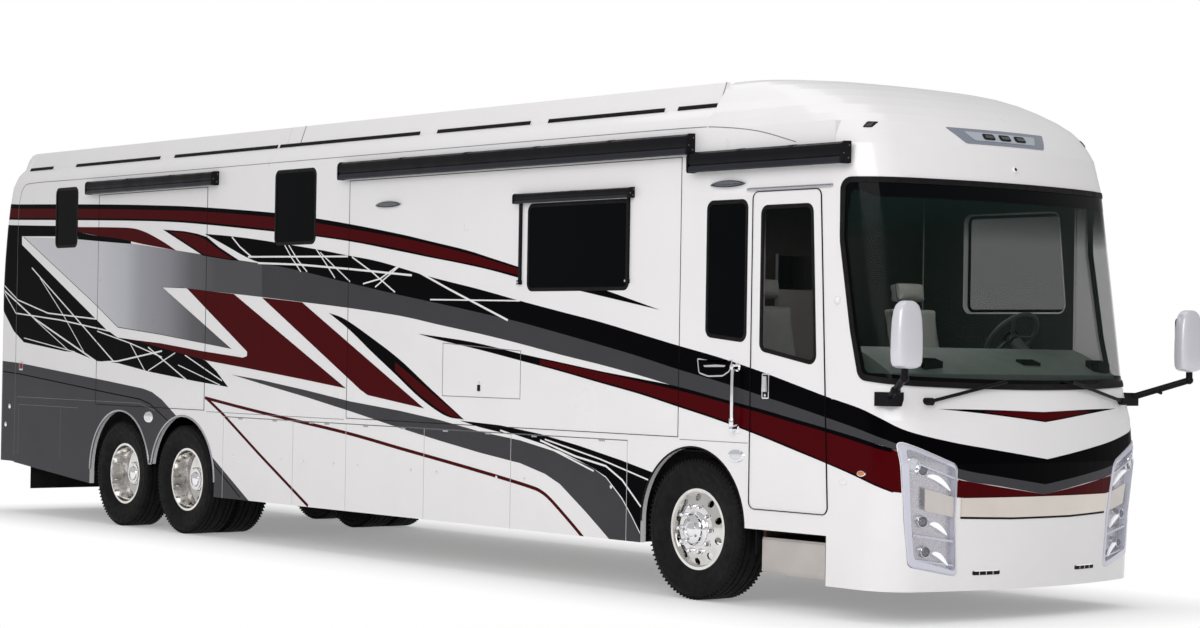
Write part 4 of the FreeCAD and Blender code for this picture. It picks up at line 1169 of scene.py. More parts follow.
class Skin:
    """Finds the true outer surface of a CAD node from the unrolled body line."""

    def __init__(self, *nodes: str) -> None:
        """Builds the search tree of one or more nodes.

        Args:
            nodes: the names of the nodes.
        """
        corners, faces = [], []
        for node in nodes:
            mesh, base = FRAME["nodes"][node].data, len(corners)
            corners += [v.co.copy() for v in mesh.vertices]
            faces += [[base + i for i in p.vertices] for p in mesh.polygons]
        self.tree = BVHTree.FromPolygons(corners, faces)
        self.leans: Dict[float, float] = {}

    def lean(self, z: float) -> float:
        """How far forward the tail leans at a height.

        Args:
            z: the height.

        Returns:
            The distance forward.
        """
        if z not in self.leans:
            hit = self.tree.ray_cast(Vector((LINE.tail - 0.4, -0.9, z)), Vector((1, 0, 0)), 1.2)[0]
            self.leans[z] = max(0.0, hit.x - LINE.tail) if hit else 0.0
        return self.leans[z]

    def found(self, u: float, z: float, side: Side) -> Optional[Vector]:
        """Where a ray inwards at (u, z) meets the surface, if it does.

        Args:
            u: the distance round the outline.
            z: the height.
            side: which flank.

        Returns:
            The point, or None if the ray misses.
        """
        point, out = LINE.at(u, side)
        if u < REAR_SEAM:
            point.x += min(1.0, (REAR_SEAM - u) / (REAR_SEAM - LINE.tail_bend)) * self.lean(round(z, 3))
        return self.tree.ray_cast(Vector((point.x, point.y, z)) + out * 0.4, -out, 1.6)[0]

    def unroll(self, y: float, z: float) -> float:
        """u of the front surface's point at a distance y from the middle and a height z.

        Args:
            y: the distance from the middle.
            z: the height.

        Returns:
            The distance round the outline.
        """
        guess = y
        for _ in range(5):
            guess = min(HALF_WIDTH, guess + y - abs(self.on(LINE.front(guess), z, Side.RIGHT).y))
        return LINE.front(guess)

    def on(self, u: float, z: float, side: Side, proud: float = 0.0) -> Vector:
        """The surface point at (u, z), lifted off by proud metres."""
        point, out = LINE.at(u, side)
        return (self.found(u, z, side) or Vector((point.x, point.y, z))) + out * proud

    def normal(self, u: float, z: float, side: Side) -> Vector:
        """The outward direction of the surface at (u, z).

        Args:
            u: the distance round the outline.
            z: the height.
            side: which flank.

        Returns:
            The direction.
        """
        a, b = self.on(u - 0.01, z, side), self.on(u + 0.01, z, side)
        c, d = self.on(u, z - 0.01, side), self.on(u, z + 0.01, side)
        found = (b - a).cross(d - c).normalized()
        return found if found.dot(LINE.at(u, side)[1]) > 0 else -found

    def sheet(self, shape: Shape, loops: Sequence[Sequence[Flat]], side: Side, low: float, high: float,
              finish: Finish, step: float = 0.05) -> None:
        """A thin closed skin over a region of the surface.

        Args:
            shape: what it is added to.
            loops: the region's outline and holes in (u, z).
            side: which flank.
            low: height of its underside off the surface.
            high: height of its top.
            finish: what it is covered with.
            step: how closely it follows the surface.
        """
        plate(shape, loops, lambda p, lift: self.on(p[0], p[1], side, lift), low, high, finish, step)

    def strip(self, shape: Shape, path: Sequence[Flat], side: Side, width: float, high: float,
              finish: Finish, low: float = -0.001) -> None:
        """A narrow band along a path on the surface.

        Args:
            shape: what it is added to.
            path: its middle line as (u, height).
            side: which flank.
            width: how wide it is.
            high: height of its crown off the surface.
            finish: what it is covered with.
            low: height of its underside.
        """
        rings = []
        for i, here in enumerate(path):
            before, after = Vector(path[max(0, i - 1)]), Vector(path[min(len(path) - 1, i + 1)])
            along = (after - before).normalized()
            off = Vector((-along.y, along.x)) * width / 2
            ends = [Vector(here) - off, Vector(here) + off]
            rings.append([tuple(self.on(e.x, e.y, side, lift)) for e, lift in
                          ((ends[0], low), (ends[1], low), (ends[1], high * 0.7),
                           (Vector(here), high), (ends[0], high * 0.7))])
        shape.rings(rings, finish)


class Hue(Enum):
    """The livery's paints; BARE lets the gel coat show."""

    BARE = 0
    SILVER = 1
    BLACK = 2
    RED = 3
    CHARCOAL = 4


HUE_FINISH = {Hue.SILVER: SILVER, Hue.BLACK: BLACK, Hue.RED: RED, Hue.CHARCOAL: CHARCOAL}


@dataclass(frozen=True)
class Band:
    """A swept stripe between an upper and a lower edge, both smooth unless crisp."""

    hue: Hue
    upper: Tuple[Flat, ...]
    lower: Tuple[Flat, ...]
    crisp: bool = False

    def outline(self) -> List[Flat]:
        """The stripe as one polygon."""
        line = list if self.crisp else flow
        return line(self.upper) + line(self.lower)[::-1]


@dataclass(frozen=True)
class Shard:
    """A straight-sided field of colour."""

    hue: Hue
    corners: Tuple[Flat, ...]

    def outline(self) -> List[Flat]:
        """The field's corners."""
        return list(self.corners)


@dataclass(frozen=True)
class Pinline:
    """A thin line of one width, with smooth bends if swept."""

    hue: Hue
    width: float
    points: Tuple[Flat, ...]
    swept: bool = False

    def outline(self) -> List[Flat]:
        """The line as one polygon.

        Returns:
            The corners in order.
        """
        path = [Vector(p) for p in (flow(self.points) if self.swept else self.points)]
        left, right = [], []
        for i, at in enumerate(path):
            before, after = path[max(0, i - 1)], path[min(len(path) - 1, i + 1)]
            a = (at - before).normalized() if i else (after - at).normalized()
            b = (after - at).normalized() if i < len(path) - 1 else a
            mitre = Vector((-a.y - b.y, a.x + b.x))
            mitre = mitre.normalized() if mitre.length > 1e-6 else Vector((-a.y, a.x))
            reach = self.width / 2 / max(0.45, mitre.dot(Vector((-a.y, a.x))))
            left.append(tuple(at + mitre * reach))
            right.append(tuple(at - mitre * reach))
        return left + right[::-1]


SHOULDER: Tuple[Flat, ...] = (
    (-1.51, 2.55), (-0.865, 2.47), (-0.22, 2.375), (0.625, 2.255), (1.28, 2.17), (1.84, 2.095),
    (2.375, 2.02), (2.89, 1.935), (3.385, 1.85), (3.86, 1.765), (4.29, 1.68), (4.765, 1.595),
    (5.19, 1.51), (5.54, 1.44), (5.875, 1.37), (6.215, 1.295), (6.46, 1.225), (6.695, 1.135),
    (6.97, 1.045), (7.32, 0.99), (7.765, 0.93)
)
LIVERY: Tuple[object, ...] = (
    Shard(Hue.SILVER, ((-6.255, 2.895), (-5.055, 2.845), (-4.44, 2.81), (-3.95, 2.78), (-3.07, 2.695),
        (-2.56, 2.645), (-1.895, 2.58), (-1.51, 2.545), (-1.5, 2.24), (-2.025, 2.275), (-2.945, 2.335),
        (-3.325, 2.345), (-2.025, 1.765), (-2.59, 1.82), (-3.345, 1.89), (-4.185, 1.955),
        (-4.605, 2.16))),
    Pinline(Hue.CHARCOAL, 0.007, ((-6.255, 2.895), (-4.605, 2.16), (-4.185, 1.955), (-3.345, 1.89),
        (-2.025, 1.765), (-3.325, 2.345), (-2.905, 2.335))),
    Band(Hue.BLACK, ((-5.055, 2.92), (-4.63, 2.87), (-3.955, 2.835)), ((-5.055, 2.845), (-4.44, 2.805),
        (-3.95, 2.775))),
    Shard(Hue.BLACK, ((-7.4, 3.06), (-6.75, 3.035), (-5.54, 2.995), (-5.06, 2.98), (-5.055, 2.875),
        (-6.3, 2.905), (-6.295, 2.815), (-5.425, 2.405), (-4.43, 1.935), (-4.18, 1.85), (-3.635, 1.82),
        (-2.865, 1.725), (-2.47, 1.645), (-2.285, 1.555), (-2.065, 1.41), (-2.705, 1.455),
        (-3.525, 1.525), (-4.17, 1.6), (-4.605, 1.615), (-5.07, 1.7), (-5.29, 1.705), (-6.21, 1.79),
        (-6.445, 1.905), (-6.71, 2.13), (-7.02, 2.5))),
    Shard(Hue.RED, ((-4.3, 1.86), (-3.735, 1.825), (-3.345, 1.805), (-2.585, 1.74), (-1.81, 1.685),
        (-1.74, 1.7), (-1.74, 1.74), (-2.85, 2.33), (-1.99, 2.27), (-0.095, 1.44), (-0.835, 1.51),
        (-1.685, 1.585), (-2.47, 1.65), (-3.055, 1.725), (-3.735, 1.815))),
    Shard(Hue.RED, ((-1.5, 2.235), (-0.825, 2.19), (1.08, 1.3), (0.245, 1.39), (0.135, 1.43))),
    Band(Hue.BLACK, ((-0.385, 2.095), (-0.13, 2.04), (0.29, 1.88), (0.715, 1.7), (1.16, 1.47),
        (1.645, 1.225)), ((-0.385, 2.095), (-0.05, 1.945), (0.295, 1.76), (0.645, 1.58), (1.02, 1.385),
        (1.38, 1.25), (1.645, 1.225))),
    Band(Hue.RED, ((0.645, 1.68), (1.16, 1.445), (1.605, 1.235)), ((0.645, 1.61), (1.02, 1.41),
        (1.395, 1.265), (1.605, 1.235))),
    Band(Hue.BLACK, ((-8.04, 3.28), (-6.76, 3.255), (-4.6, 3.185), (-3.395, 3.135), (-2.635, 3.095),
        (-1.56, 3.02), (-0.885, 2.96), (-0.08, 2.865), (0.685, 2.76), (1.125, 2.69), (1.62, 2.61),
        (1.96, 2.54), (2.365, 2.455)), ((-8.04, 3.115), (-6.75, 3.09), (-4.595, 3.025), (-3.385, 2.98),
        (-2.63, 2.935), (-1.555, 2.85), (-0.88, 2.795), (-0.075, 2.715), (0.69, 2.615), (1.13, 2.555),
        (1.555, 2.5), (1.965, 2.44), (2.39, 2.365))),
    Band(Hue.RED, ((-8.04, 3.235), (-6.755, 3.21), (-4.6, 3.14), (-3.39, 3.09), (-2.63, 3.055),
        (-1.56, 2.98), (-0.88, 2.92), (-0.075, 2.825), (0.685, 2.73), (1.125, 2.665), (1.62, 2.585),
        (1.965, 2.52), (2.365, 2.44)), ((-8.04, 3.135), (-6.755, 3.11), (-4.595, 3.045), (-3.39, 3),
        (-2.63, 2.955), (-1.555, 2.87), (-0.88, 2.81), (-0.075, 2.73), (0.69, 2.635), (1.125, 2.57),
        (1.55, 2.515), (1.965, 2.455), (2.39, 2.385))),
    Shard(Hue.BLACK, ((3.055, 2.275), (3.425, 2.27), (4.085, 2.115))),
    Band(Hue.RED, ((-5.06, 2.97), (-4.385, 2.95), (-3.945, 2.93), (-3.715, 2.895), (-3.52, 2.845),
        (-3.28, 2.77), (-3.07, 2.695)), ((-5.055, 2.92), (-4.63, 2.87), (-4.175, 2.83), (-3.77, 2.775),
        (-3.38, 2.73), (-3.07, 2.695))),
    Shard(Hue.BLACK, ((-3.325, 2.9), (-2.925, 2.875), (-2.68, 2.845), (-2.495, 2.81), (-2.275, 2.71),
        (-1.895, 2.575), (-2.07, 2.585), (-2.56, 2.635))),
    Shard(Hue.RED, ((-3.19, 2.875), (-2.925, 2.86), (-2.7, 2.83), (-2.53, 2.79), (-2.31, 2.7),
        (-2.02, 2.595), (-2.07, 2.595), (-2.545, 2.645))),
    Band(Hue.BLACK, ((-2.535, 2.84), (-2.045, 2.805), (-1.55, 2.76), (-1.04, 2.705), (-0.545, 2.65),
        (-0.115, 2.595), (0.395, 2.53), (1.13, 2.395), (1.795, 2.29), (2.37, 2.19), (2.885, 2.105),
        (3.38, 2.025), (3.86, 1.935), (4.285, 1.855), (4.76, 1.77), (5.185, 1.68), (5.54, 1.595),
        (5.87, 1.515), (6.19, 1.445), (6.365, 1.385), (6.57, 1.3), (6.895, 1.23), (7.225, 1.18),
        (7.765, 1.105)), ((-2.535, 2.84), (-2.145, 2.72), (-1.79, 2.61), *SHOULDER)),
    Band(Hue.CHARCOAL, SHOULDER, ((-1.5, 2.24), (-0.86, 2.195), (-0.1, 2.14), (0.705, 2.07),
        (1.285, 1.995), (1.845, 1.925), (2.38, 1.85), (2.895, 1.77), (3.39, 1.7), (3.865, 1.625),
        (4.29, 1.55), (4.765, 1.475), (5.195, 1.41), (5.545, 1.35), (5.875, 1.295), (6.215, 1.235),
        (6.46, 1.18), (6.69, 1.08), (6.985, 0.975), (7.325, 0.925), (7.765, 0.86))),
    Band(Hue.BLACK, ((0.975, 1.92), (1.43, 1.885), (1.845, 1.845), (2.395, 1.77), (2.895, 1.71),
        (3.39, 1.65), (3.865, 1.60), (4.29, 1.553), (4.765, 1.478), (5.195, 1.413), (5.545, 1.353),
        (5.875, 1.298), (6.195, 1.241), (6.46, 1.183)), ((0.975, 1.92), (1.29, 1.87), (1.85, 1.795),
        (2.395, 1.715), (2.9, 1.64), (3.395, 1.56), (3.87, 1.485), (4.295, 1.405), (4.77, 1.315),
        (5.2, 1.22), (5.55, 1.135), (5.88, 1.055), (6.2, 0.97), (6.47, 0.885))),
    Band(Hue.RED, ((2.64, 1.73), (2.895, 1.7), (3.39, 1.64), (3.865, 1.58), (4.29, 1.525), (4.765, 1.455),
        (5.195, 1.385), (5.545, 1.325), (5.875, 1.27), (6.195, 1.21), (6.46, 1.155)), ((2.645, 1.69),
        (2.895, 1.655), (3.39, 1.575), (3.87, 1.5), (4.295, 1.42), (4.77, 1.33), (5.195, 1.235),
        (5.55, 1.15), (5.88, 1.065), (6.2, 0.985), (6.47, 0.895))),
    Band(Hue.CHARCOAL, ((-2, 1.525), (-1.475, 1.485), (-0.735, 1.41), (-0.03, 1.33), (0.73, 1.27),
        (1.31, 1.21), (1.865, 1.135), (2.4, 1.085), (2.915, 1.005), (3.29, 0.92), (3.485, 0.84),
        (3.68, 0.685), (3.8, 0.555), (3.895, 0.44), (3.895, 0.355)), ((-2, 1.525), (-1.47, 1.45),
        (-0.73, 1.35), (-0.025, 1.245), (0.735, 1.125), (1.315, 1.04), (1.87, 0.965), (2.405, 0.905),
        (2.73, 0.835), (2.92, 0.765), (3.235, 0.575), (3.42, 0.455), (3.57, 0.355)), crisp=True),
    Shard(Hue.BLACK, ((1.59, 1.215), (2.135, 1.195), (2.655, 1.145), (3.16, 1.07), (3.645, 0.985),
        (4.07, 0.9), (4.085, 0.26), (3.9, 0.31), (3.895, 0.455), (3.8, 0.57), (3.68, 0.7), (3.485, 0.85),
        (3.29, 0.92), (2.915, 1.02), (2.4, 1.11), (1.865, 1.17))),
    Pinline(Hue.RED, 0.028, ((-2.48, 1.3), (-1.845, 1.23), (-1.155, 1.16), (-0.07, 1.055), (0.74, 0.955),
        (1.6, 0.85), (2.145, 0.78), (2.54, 0.725), (2.68, 0.695), (2.81, 0.635), (3.055, 0.48),
        (3.24, 0.355)), swept=True),
    Pinline(Hue.RED, 0.028, ((-2.46, 1.3), (-2.165, 1.165), (-1.485, 0.805), (-0.67, 0.39))),
    Shard(Hue.RED, ((6.46, 1.18), (6.69, 1.08), (6.985, 0.97), (7.325, 0.92), (7.765, 0.86),
        (7.765, 0.835), (7.335, 0.835), (7, 0.85), (6.47, 0.89))),
    Band(Hue.BLACK, ((6.825, 1.45), (7.255, 1.445), (7.765, 1.43)), ((6.825, 1.45), (7.245, 1.415),
        (7.77, 1.36))),
    Band(Hue.RED, ((7.205, 1.435), (7.48, 1.435), (7.765, 1.425)), ((7.205, 1.43), (7.47, 1.4),
        (7.77, 1.37))),
    Shard(Hue.CHARCOAL, ((-8.04, 1.68), (-6.76, 1.59), (-6.29, 1.57), (-4.325, 1.415), (-3.66, 1.36),
        (-3.48, 1.33), (-3.285, 1.26), (-3.01, 1.115), (-3.05, 0.2), (-8.04, 0.2))),
    Pinline(Hue.BLACK, 0.012, ((-8.04, 1.57), (-6.755, 1.48), (-6.285, 1.455), (-4.32, 1.3),
        (-3.715, 1.255), (-3.515, 1.215), (-3.16, 1.06))),
    Shard(Hue.CHARCOAL, ((-2.48, 0.83), (-2.31, 0.74), (-1.605, 0.345), (-2.46, 0.295))),
    Pinline(Hue.BLACK, 0.012, ((-2.48, 0.79), (-1.82, 0.405))),
)
SPLINTERS = tuple(Pinline(Hue.BARE, width, points) for width, points in (
    (0.016, ((-6.06, 2.57), (-5.065, 2.045), (-4.25, 1.61))),
    (0.012, ((-5.87, 2.46), (-5.325, 2.065), (-4.88, 1.7))),
    (0.014, ((-6.7, 2.395), (-6.365, 2.235), (-5.68, 2.095), (-4.62, 2.035))),
    (0.014, ((-6.695, 2.32), (-6.405, 2.095), (-5.41, 2.025), (-4.345, 1.915))),
    (0.018, ((-6.695, 2.34), (-5.97, 2.035), (-4.6, 1.605))),
    (0.01, ((-5.965, 2.025), (-5.225, 1.72))),
    (0.01, ((-6.21, 1.835), (-5.07, 1.7))),
    (0.016, ((-4.6, 1.6), (-4.17, 1.62), (-3.3, 1.73))),
    (0.014, ((-3.935, 1.8), (-3.625, 1.53))),
    (0.014, ((-3.575, 1.765), (-2.8, 1.45))),
    (0.012, ((-3.05, 1.715), (-3.565, 1.535))),
    (0.012, ((-2.865, 1.695), (-2.175, 1.465))),
    (0.01, ((-2.99, 1.6), (-2.21, 1.425))),
    (0.012, ((-4.615, 1.915), (-3.935, 1.8), (-3.3, 1.67))),
    (0.016, ((-1.755, 2.61), (-0.1, 2.585))),
    (0.018, ((-1.58, 2.55), (-0.87, 2.525), (-0.065, 2.475), (0.87, 2.41))),
    (0.018, ((0.665, 2.49), (0.985, 2.43), (1.42, 2.285), (2.215, 2.035))),
    (0.016, ((-2.045, 2.8), (-1.9, 2.705), (-1.685, 2.605))),
    (0.014, ((-1.14, 2.715), (-1.005, 2.585), (-0.85, 2.46))),
    (0.014, ((-1.075, 2.715), (-0.905, 2.565), (-0.75, 2.46))),
    (0.014, ((-0.61, 2.66), (-0.445, 2.525), (-0.3, 2.4))),
    (0.012, ((-0.545, 2.63), (-0.32, 2.505), (-0.06, 2.365))),
    (0.014, ((-0.04, 2.58), (0.275, 2.445), (0.625, 2.27))),
    (0.014, ((0.665, 2.49), (0.395, 2.385), (0.14, 2.345))),
    (0.014, ((0.705, 2.5), (0.325, 2.315))),
    (0.012, ((1.14, 2.205), (2.37, 2.19))),
    (0.016, ((2.66, 1.095), (3.1, 0.99), (3.48, 0.93), (3.675, 0.835), (3.9, 0.645))),
    (0.012, ((2.72, 1.105), (3.41, 0.98), (3.98, 0.85))),
    (0.014, ((2.135, 1.155), (2.725, 1.055), (3.335, 0.885)))))


@dataclass
class Livery:
    """Paints the stripes on every outer panel, cut to the panel's own edge."""

    lift: float = 0.0004
    film: float = 0.0009
    fields: List[Tuple[Hue, List[Flat]]] = field(default_factory=list)

    def __post_init__(self) -> None:
        """Turns the design into polygons, in painting order."""
        self.fields = [(p.hue, p.outline()) for p in (*LIVERY, *SPLINTERS)]

    def panel(self, name: str, body: str, loops: Sequence[Sequence[Flat]], side: Side,
              skin: Optional[Skin] = None) -> Optional[bpy.types.Object]:
        """Paints one panel.

        Args:
            name: the piece's name.
            body: the body the panel is on.
            loops: the panel's outline and holes in (u, z), told apart by how many hold a point.
            side: which flank.
            skin: the curved surface to follow, or None on a flat flank.

        Returns:
            The painted film, or None where no stripe crosses the panel.
        """
        points = [p for loop in loops for p in loop]
        low = Vector((min(p[0] for p in points), min(p[1] for p in points)))
        high = Vector((max(p[0] for p in points), max(p[1] for p in points)))
        near = [(hue, ring) for hue, ring in self.fields
                if min(p[0] for p in ring) < high.x and max(p[0] for p in ring) > low.x
                and min(p[1] for p in ring) < high.y and max(p[1] for p in ring) > low.y]
        if not near:
            return None
        corners: List[Vector] = []
        rings: List[List[int]] = []
        for ring in [list(loop) for loop in loops] + [ring for _, ring in near]:
            ring = ring if area(ring) > 0 else ring[::-1]
            rings.append(list(range(len(corners), len(corners) + len(ring))))
            corners += [Vector(p) for p in ring]
        edges: List[Tuple[int, int]] = []
        if skin:
            for a, b in self.grid(low, high):
                edges.append((len(corners), len(corners) + 1))
                corners += [a, b]
        spots, _, faces, _, _, owners = delaunay_2d_cdt(corners, edges, rings, 0, 1e-6)
        shape, made, hues = bmesh.new(), {}, []
        for face, held in zip(faces, owners):
            inside = [i for i in held if i < len(loops)]
            fields = [i - len(loops) for i in held if i >= len(loops)]
            if len(inside) % 2 == 0 or not fields or near[max(fields)][0] is Hue.BARE:
                continue
            hue = near[max(fields)][0]
            if hue not in hues:
                hues.append(hue)
            for i in face:
                if i not in made:
                    u, z = spots[i]
                    if skin:
                        place = skin.on(u, z, side, self.lift)
                    else:
                        point, out = LINE.at(u, side)
                        place = Vector((point.x, point.y, z)) + out * self.lift
                    made[i] = shape.verts.new(place)
            order = face if side is Side.RIGHT else face[::-1]
            try:
                shape.faces.new([made[i] for i in order]).material_index = hues.index(hue)
            except ValueError:
                continue
        if not shape.faces:
            shape.free()
            return None
        data = bpy.data.meshes.new(name)
        shape.to_mesh(data)
        shape.free()
        for hue in hues:
            data.materials.append(HUE_FINISH[hue].material())
        piece = bpy.data.objects.new(name, data)
        skinned = piece.modifiers.new("film", "SOLIDIFY")
        skinned.thickness, skinned.offset = self.film, 1.0
        return settle(piece, body)

    @staticmethod
    def grid(low: Vector, high: Vector) -> List[Tuple[Vector, Vector]]:
        """Lines that let a film bend round the corners of the body.

        Args:
            low: the least u and height of the film.
            high: the greatest u and height.

        Returns:
            Each line as its two ends.
        """
        stops, u = [], low.x
        corners = ((LINE.tail_cheek - 0.02, LINE.tail_bend + 0.03, 0.0035),
                   (LINE.bend - 0.12, LINE.cheek + 0.05, 0.018))
        while u < high.x:
            stops.append(u)
            reach = u + min([0.11, *(fine for a, b, fine in corners if a <= u < b)])
            u = min([reach, *(a for a, _, _ in corners if u < a < reach)])
        lines = [(Vector((u, low.y)), Vector((u, high.y))) for u in stops[1:]]
        levels, z = [1.08], low.y + 0.1
        while z < high.y:
            levels.append(z)
            z += 0.04 if 1.2 < z < 1.6 or z > 2.6 else 0.1
        return lines + [(Vector((low.x, z)), Vector((high.x, z))) for z in levels if low.y < z < high.y]

    def build(self) -> None:
        """Paints the walls, the slide-outs, the doors and both caps."""
        for side in Side:
            word, plane = side.word, side.value * HALF_WIDTH
            self.panel(f"{word}_wall_stripes", "coach", flat_loops(f"{word}_sidewall", 1, plane), side)
            doors = 5 if side is Side.RIGHT else 3
            flush = [f"{word}_bay_door_{i}" for i in range(1, doors + 1)]
            if side is Side.RIGHT:
                flush += ["slideout_right_front", "slideout_right_rear", "entry_door"]
            else:
                flush.append("slideout_left")
            for node in flush:
                self.panel(f"{node}_stripes", node, flat_loops(node, 1, plane), side)
            lamp = Headlamp.unrolled(Headlamp.opening(0.004))[::-1]
            nose = box_loop((CAP_SEAM + 0.001, 0.22), (LINE.middle, 1.5))
            self.panel(f"{word}_nose_stripes", "coach", [nose, lamp], side, Skin("front_cap"))
            tail = box_loop((LINE.tail_middle, 0.535), (REAR_SEAM - 0.001, 3.4))
            door = box_loop((LINE.tail_middle, 0.692), (LINE.tail_middle + 0.768, 1.788))
            light = box_loop((LINE.tail_middle + 0.98, 1.175), (LINE.tail_middle + 1.09, 1.955))
            self.panel(f"{word}_tail_stripes", "coach", [tail, light, door], side, Skin("rear_cap"))
            lid = box_loop((LINE.tail_middle, 0.701), (LINE.tail_middle + 0.759, 1.779))
            self.panel(f"engine_door_{word}_stripes", "engine_door", [lid], side, Skin("engine_door"))


# ---------------------------------------------------------------- wheels

@dataclass
class Tyre:
    """A highway tyre: ribbed tread with shoulder lugs, bulged walls and moulded rings."""

    radius: float = 0.515
    half: float = 0.1575
    bead: float = 0.291
    lugs: int = 84

    def section(self) -> List[Flat]:
        """The closed section as (radius, distance from the middle), outside first.

        Returns:
            The corners in order.
        """
        r, h = self.radius, self.half
        wall = [(self.bead, h - 0.052), (self.bead + 0.007, h - 0.042), (0.312, h - 0.034),
                (0.318, h - 0.029), (0.324, h - 0.0285), (0.345, h - 0.017), (0.375, h - 0.0065),
                (0.405, h - 0.0015), (0.435, h - 0.0002), (0.452, h - 0.0018), (0.455, h - 0.0002),
                (0.461, h - 0.0006), (0.464, h - 0.0035), (0.482, h - 0.0085), (0.496, h - 0.0165),
                (0.505, h - 0.0245)]
        tread = [(r - 0.0052, h - 0.028), (r - 0.002, h - 0.036), (r - 0.0012, 0.098), (r - 0.013, 0.096),
                 (r - 0.013, 0.086), (r - 0.0008, 0.084), (r, 0.046), (r - 0.013, 0.044),
                 (r - 0.013, 0.034), (r, 0.032)]
        outer = wall + tread
        inner = [(self.bead, h - 0.072), (0.33, h - 0.038), (0.40, h - 0.018), (0.455, h - 0.018),
                 (0.485, h - 0.04), (0.492, 0.06), (0.493, 0.0)]
        mirror = [(a, -b) for a, b in outer[::-1]]
        return outer + mirror + [(a, -b) for a, b in inner] + inner[-2::-1]

    def build(self, name: str, body: str, centres: Sequence[Solid], replaces: str) -> None:
        """Makes the carcasses and their lugs as one piece each.

        Args:
            name: the piece's name.
            body: the wheel it turns with.
            centres: the middle of each tyre on the axle.
            replaces: the CAD node it stands for.
        """
        shape = Shape()
        for centre in centres:
            shape.lathe(self.section(), centre, (0, 1, 0), TYRE, 96, ring=True)
        shape.piece(name, body, "tyre", [replaces], 38.0)
        lug, turn = Shape(), math.tau / self.lugs
        for offset_y in sorted({round(c[1] - centres[0][1], 4) for c in centres}):
            for edge in (-1, 1):
                y = offset_y + edge * (self.half - 0.0235)
                lug.prism([(self.radius - 0.019, -0.0065), (self.radius - 0.019, 0.0065),
                           (self.radius - 0.0012, 0.0048), (self.radius - 0.0012, -0.0048)],
                          "Y", y - 0.0105, y + 0.0105, TYRE, 0.0012)
                lug.prism([(self.radius - 0.034, -0.004), (self.radius - 0.034, 0.004),
                           (self.radius - 0.018, 0.004), (self.radius - 0.018, -0.004)],
                          "Y", y + edge * 0.004 - 0.0085, y + edge * 0.004 + 0.0085, TYRE)
        Repeat.lay(lug, name + "_lugs", body, "tyre", self.lugs, centres[0], TYRE, axis=(0, 1, 0),
                   turn=turn)


@dataclass
class WheelDress:
    """The nuts, hub cap and valve that finish a polished disc wheel."""

    body: str
    rim: str
    side: Side
    centre: Solid
    deep: bool
    circle: float = 0.1675
    nuts: int = 10

    def seat(self, radius: float, angle: float) -> Vector:
        """The disc's outer surface at a radius and angle.

        Args:
            radius: the distance from the axle.
            angle: the angle round the axle in radians.

        Returns:
            The point.
        """
        s = self.side.value
        start = Vector((self.centre[0] + radius * math.cos(angle), s * 1.6,
                        self.centre[2] + radius * math.sin(angle)))
        hit = Skin(self.rim).tree.ray_cast(start, Vector((0, -s, 0)), 1.4)
        return hit[0] if hit[0] is not None else Vector((start.x, s * 1.2, start.z))

    def build(self) -> None:
        """Makes the nuts and the hub."""
        s, (cx, _, cz) = self.side.value, self.centre
        levels = sorted(abs(self.seat(self.circle, math.radians(a)).y) for a in range(0, 360, 15))
        face = levels[len(levels) // 2]
        centre, out, nut = (cx, s * face, cz), (0.0, float(s), 0.0), Shape()
        nut.lathe([(0.0245, -0.002), (0.0245, 0.004), (0.0205, 0.006)], (self.circle, 0, 0), out, CHROME,
                  16)
        nut.lathe([(0.0178, 0.005), (0.0172, 0.028), (0.0150, 0.035), (0.0085, 0.041), (0.0, 0.0425)],
                  (self.circle, 0, 0), out, CHROME, 6 if self.deep else 12)
        Repeat.lay(nut, f"{self.body}_nuts", self.body, "polished_rim", self.nuts, centre, CHROME,
                   axis=(0, 1, 0), turn=math.tau / self.nuts)
        hub = Shape()
        if self.deep:
            tip = 1.168 - face
            profile = [(0.118, -0.004), (0.118, 0.012), (0.104, 0.02), (0.102, tip - 0.075),
                       (0.098, tip - 0.06), (0.112, tip - 0.055), (0.113, tip - 0.035),
                       (0.108, tip - 0.028), (0.072, tip - 0.02), (0.066, tip - 0.008), (0.04, tip),
                       (0.0, tip + 0.002)]
            bolts, ring, top = 8, 0.092, tip - 0.031
        else:
            profile = [(0.128, -0.004), (0.128, 0.006), (0.112, 0.014), (0.104, 0.024), (0.1, 0.04),
                       (0.084, 0.052), (0.056, 0.056), (0.05, 0.052), (0.044, 0.056), (0.02, 0.062),
                       (0.0, 0.063)]
            bolts, ring, top = 5, 0.072, 0.051
        hub.lathe(profile, centre, out, CHROME, 48)
        for k in range(bolts):
            a = math.tau * (k + 0.5) / bolts
            hub.lathe([(0.0105, -0.004), (0.0105, 0.007), (0.007, 0.0105), (0.0, 0.011)],
                      (cx + ring * math.cos(a), s * (face + top), cz + ring * math.sin(a)), out, ALLOY, 6)
        valve = self.seat(0.235, math.radians(198))
        hub.tube([(valve.x, valve.y - s * 0.002, valve.z),
                  (valve.x * 0.985 + cx * 0.015, valve.y + s * 0.012, valve.z),
                  (valve.x * 0.96 + cx * 0.04, valve.y + s * 0.028, valve.z)], 0.0045, CHROME, 8)
        hub.piece(f"{self.body}_hub", self.body, "polished_rim")


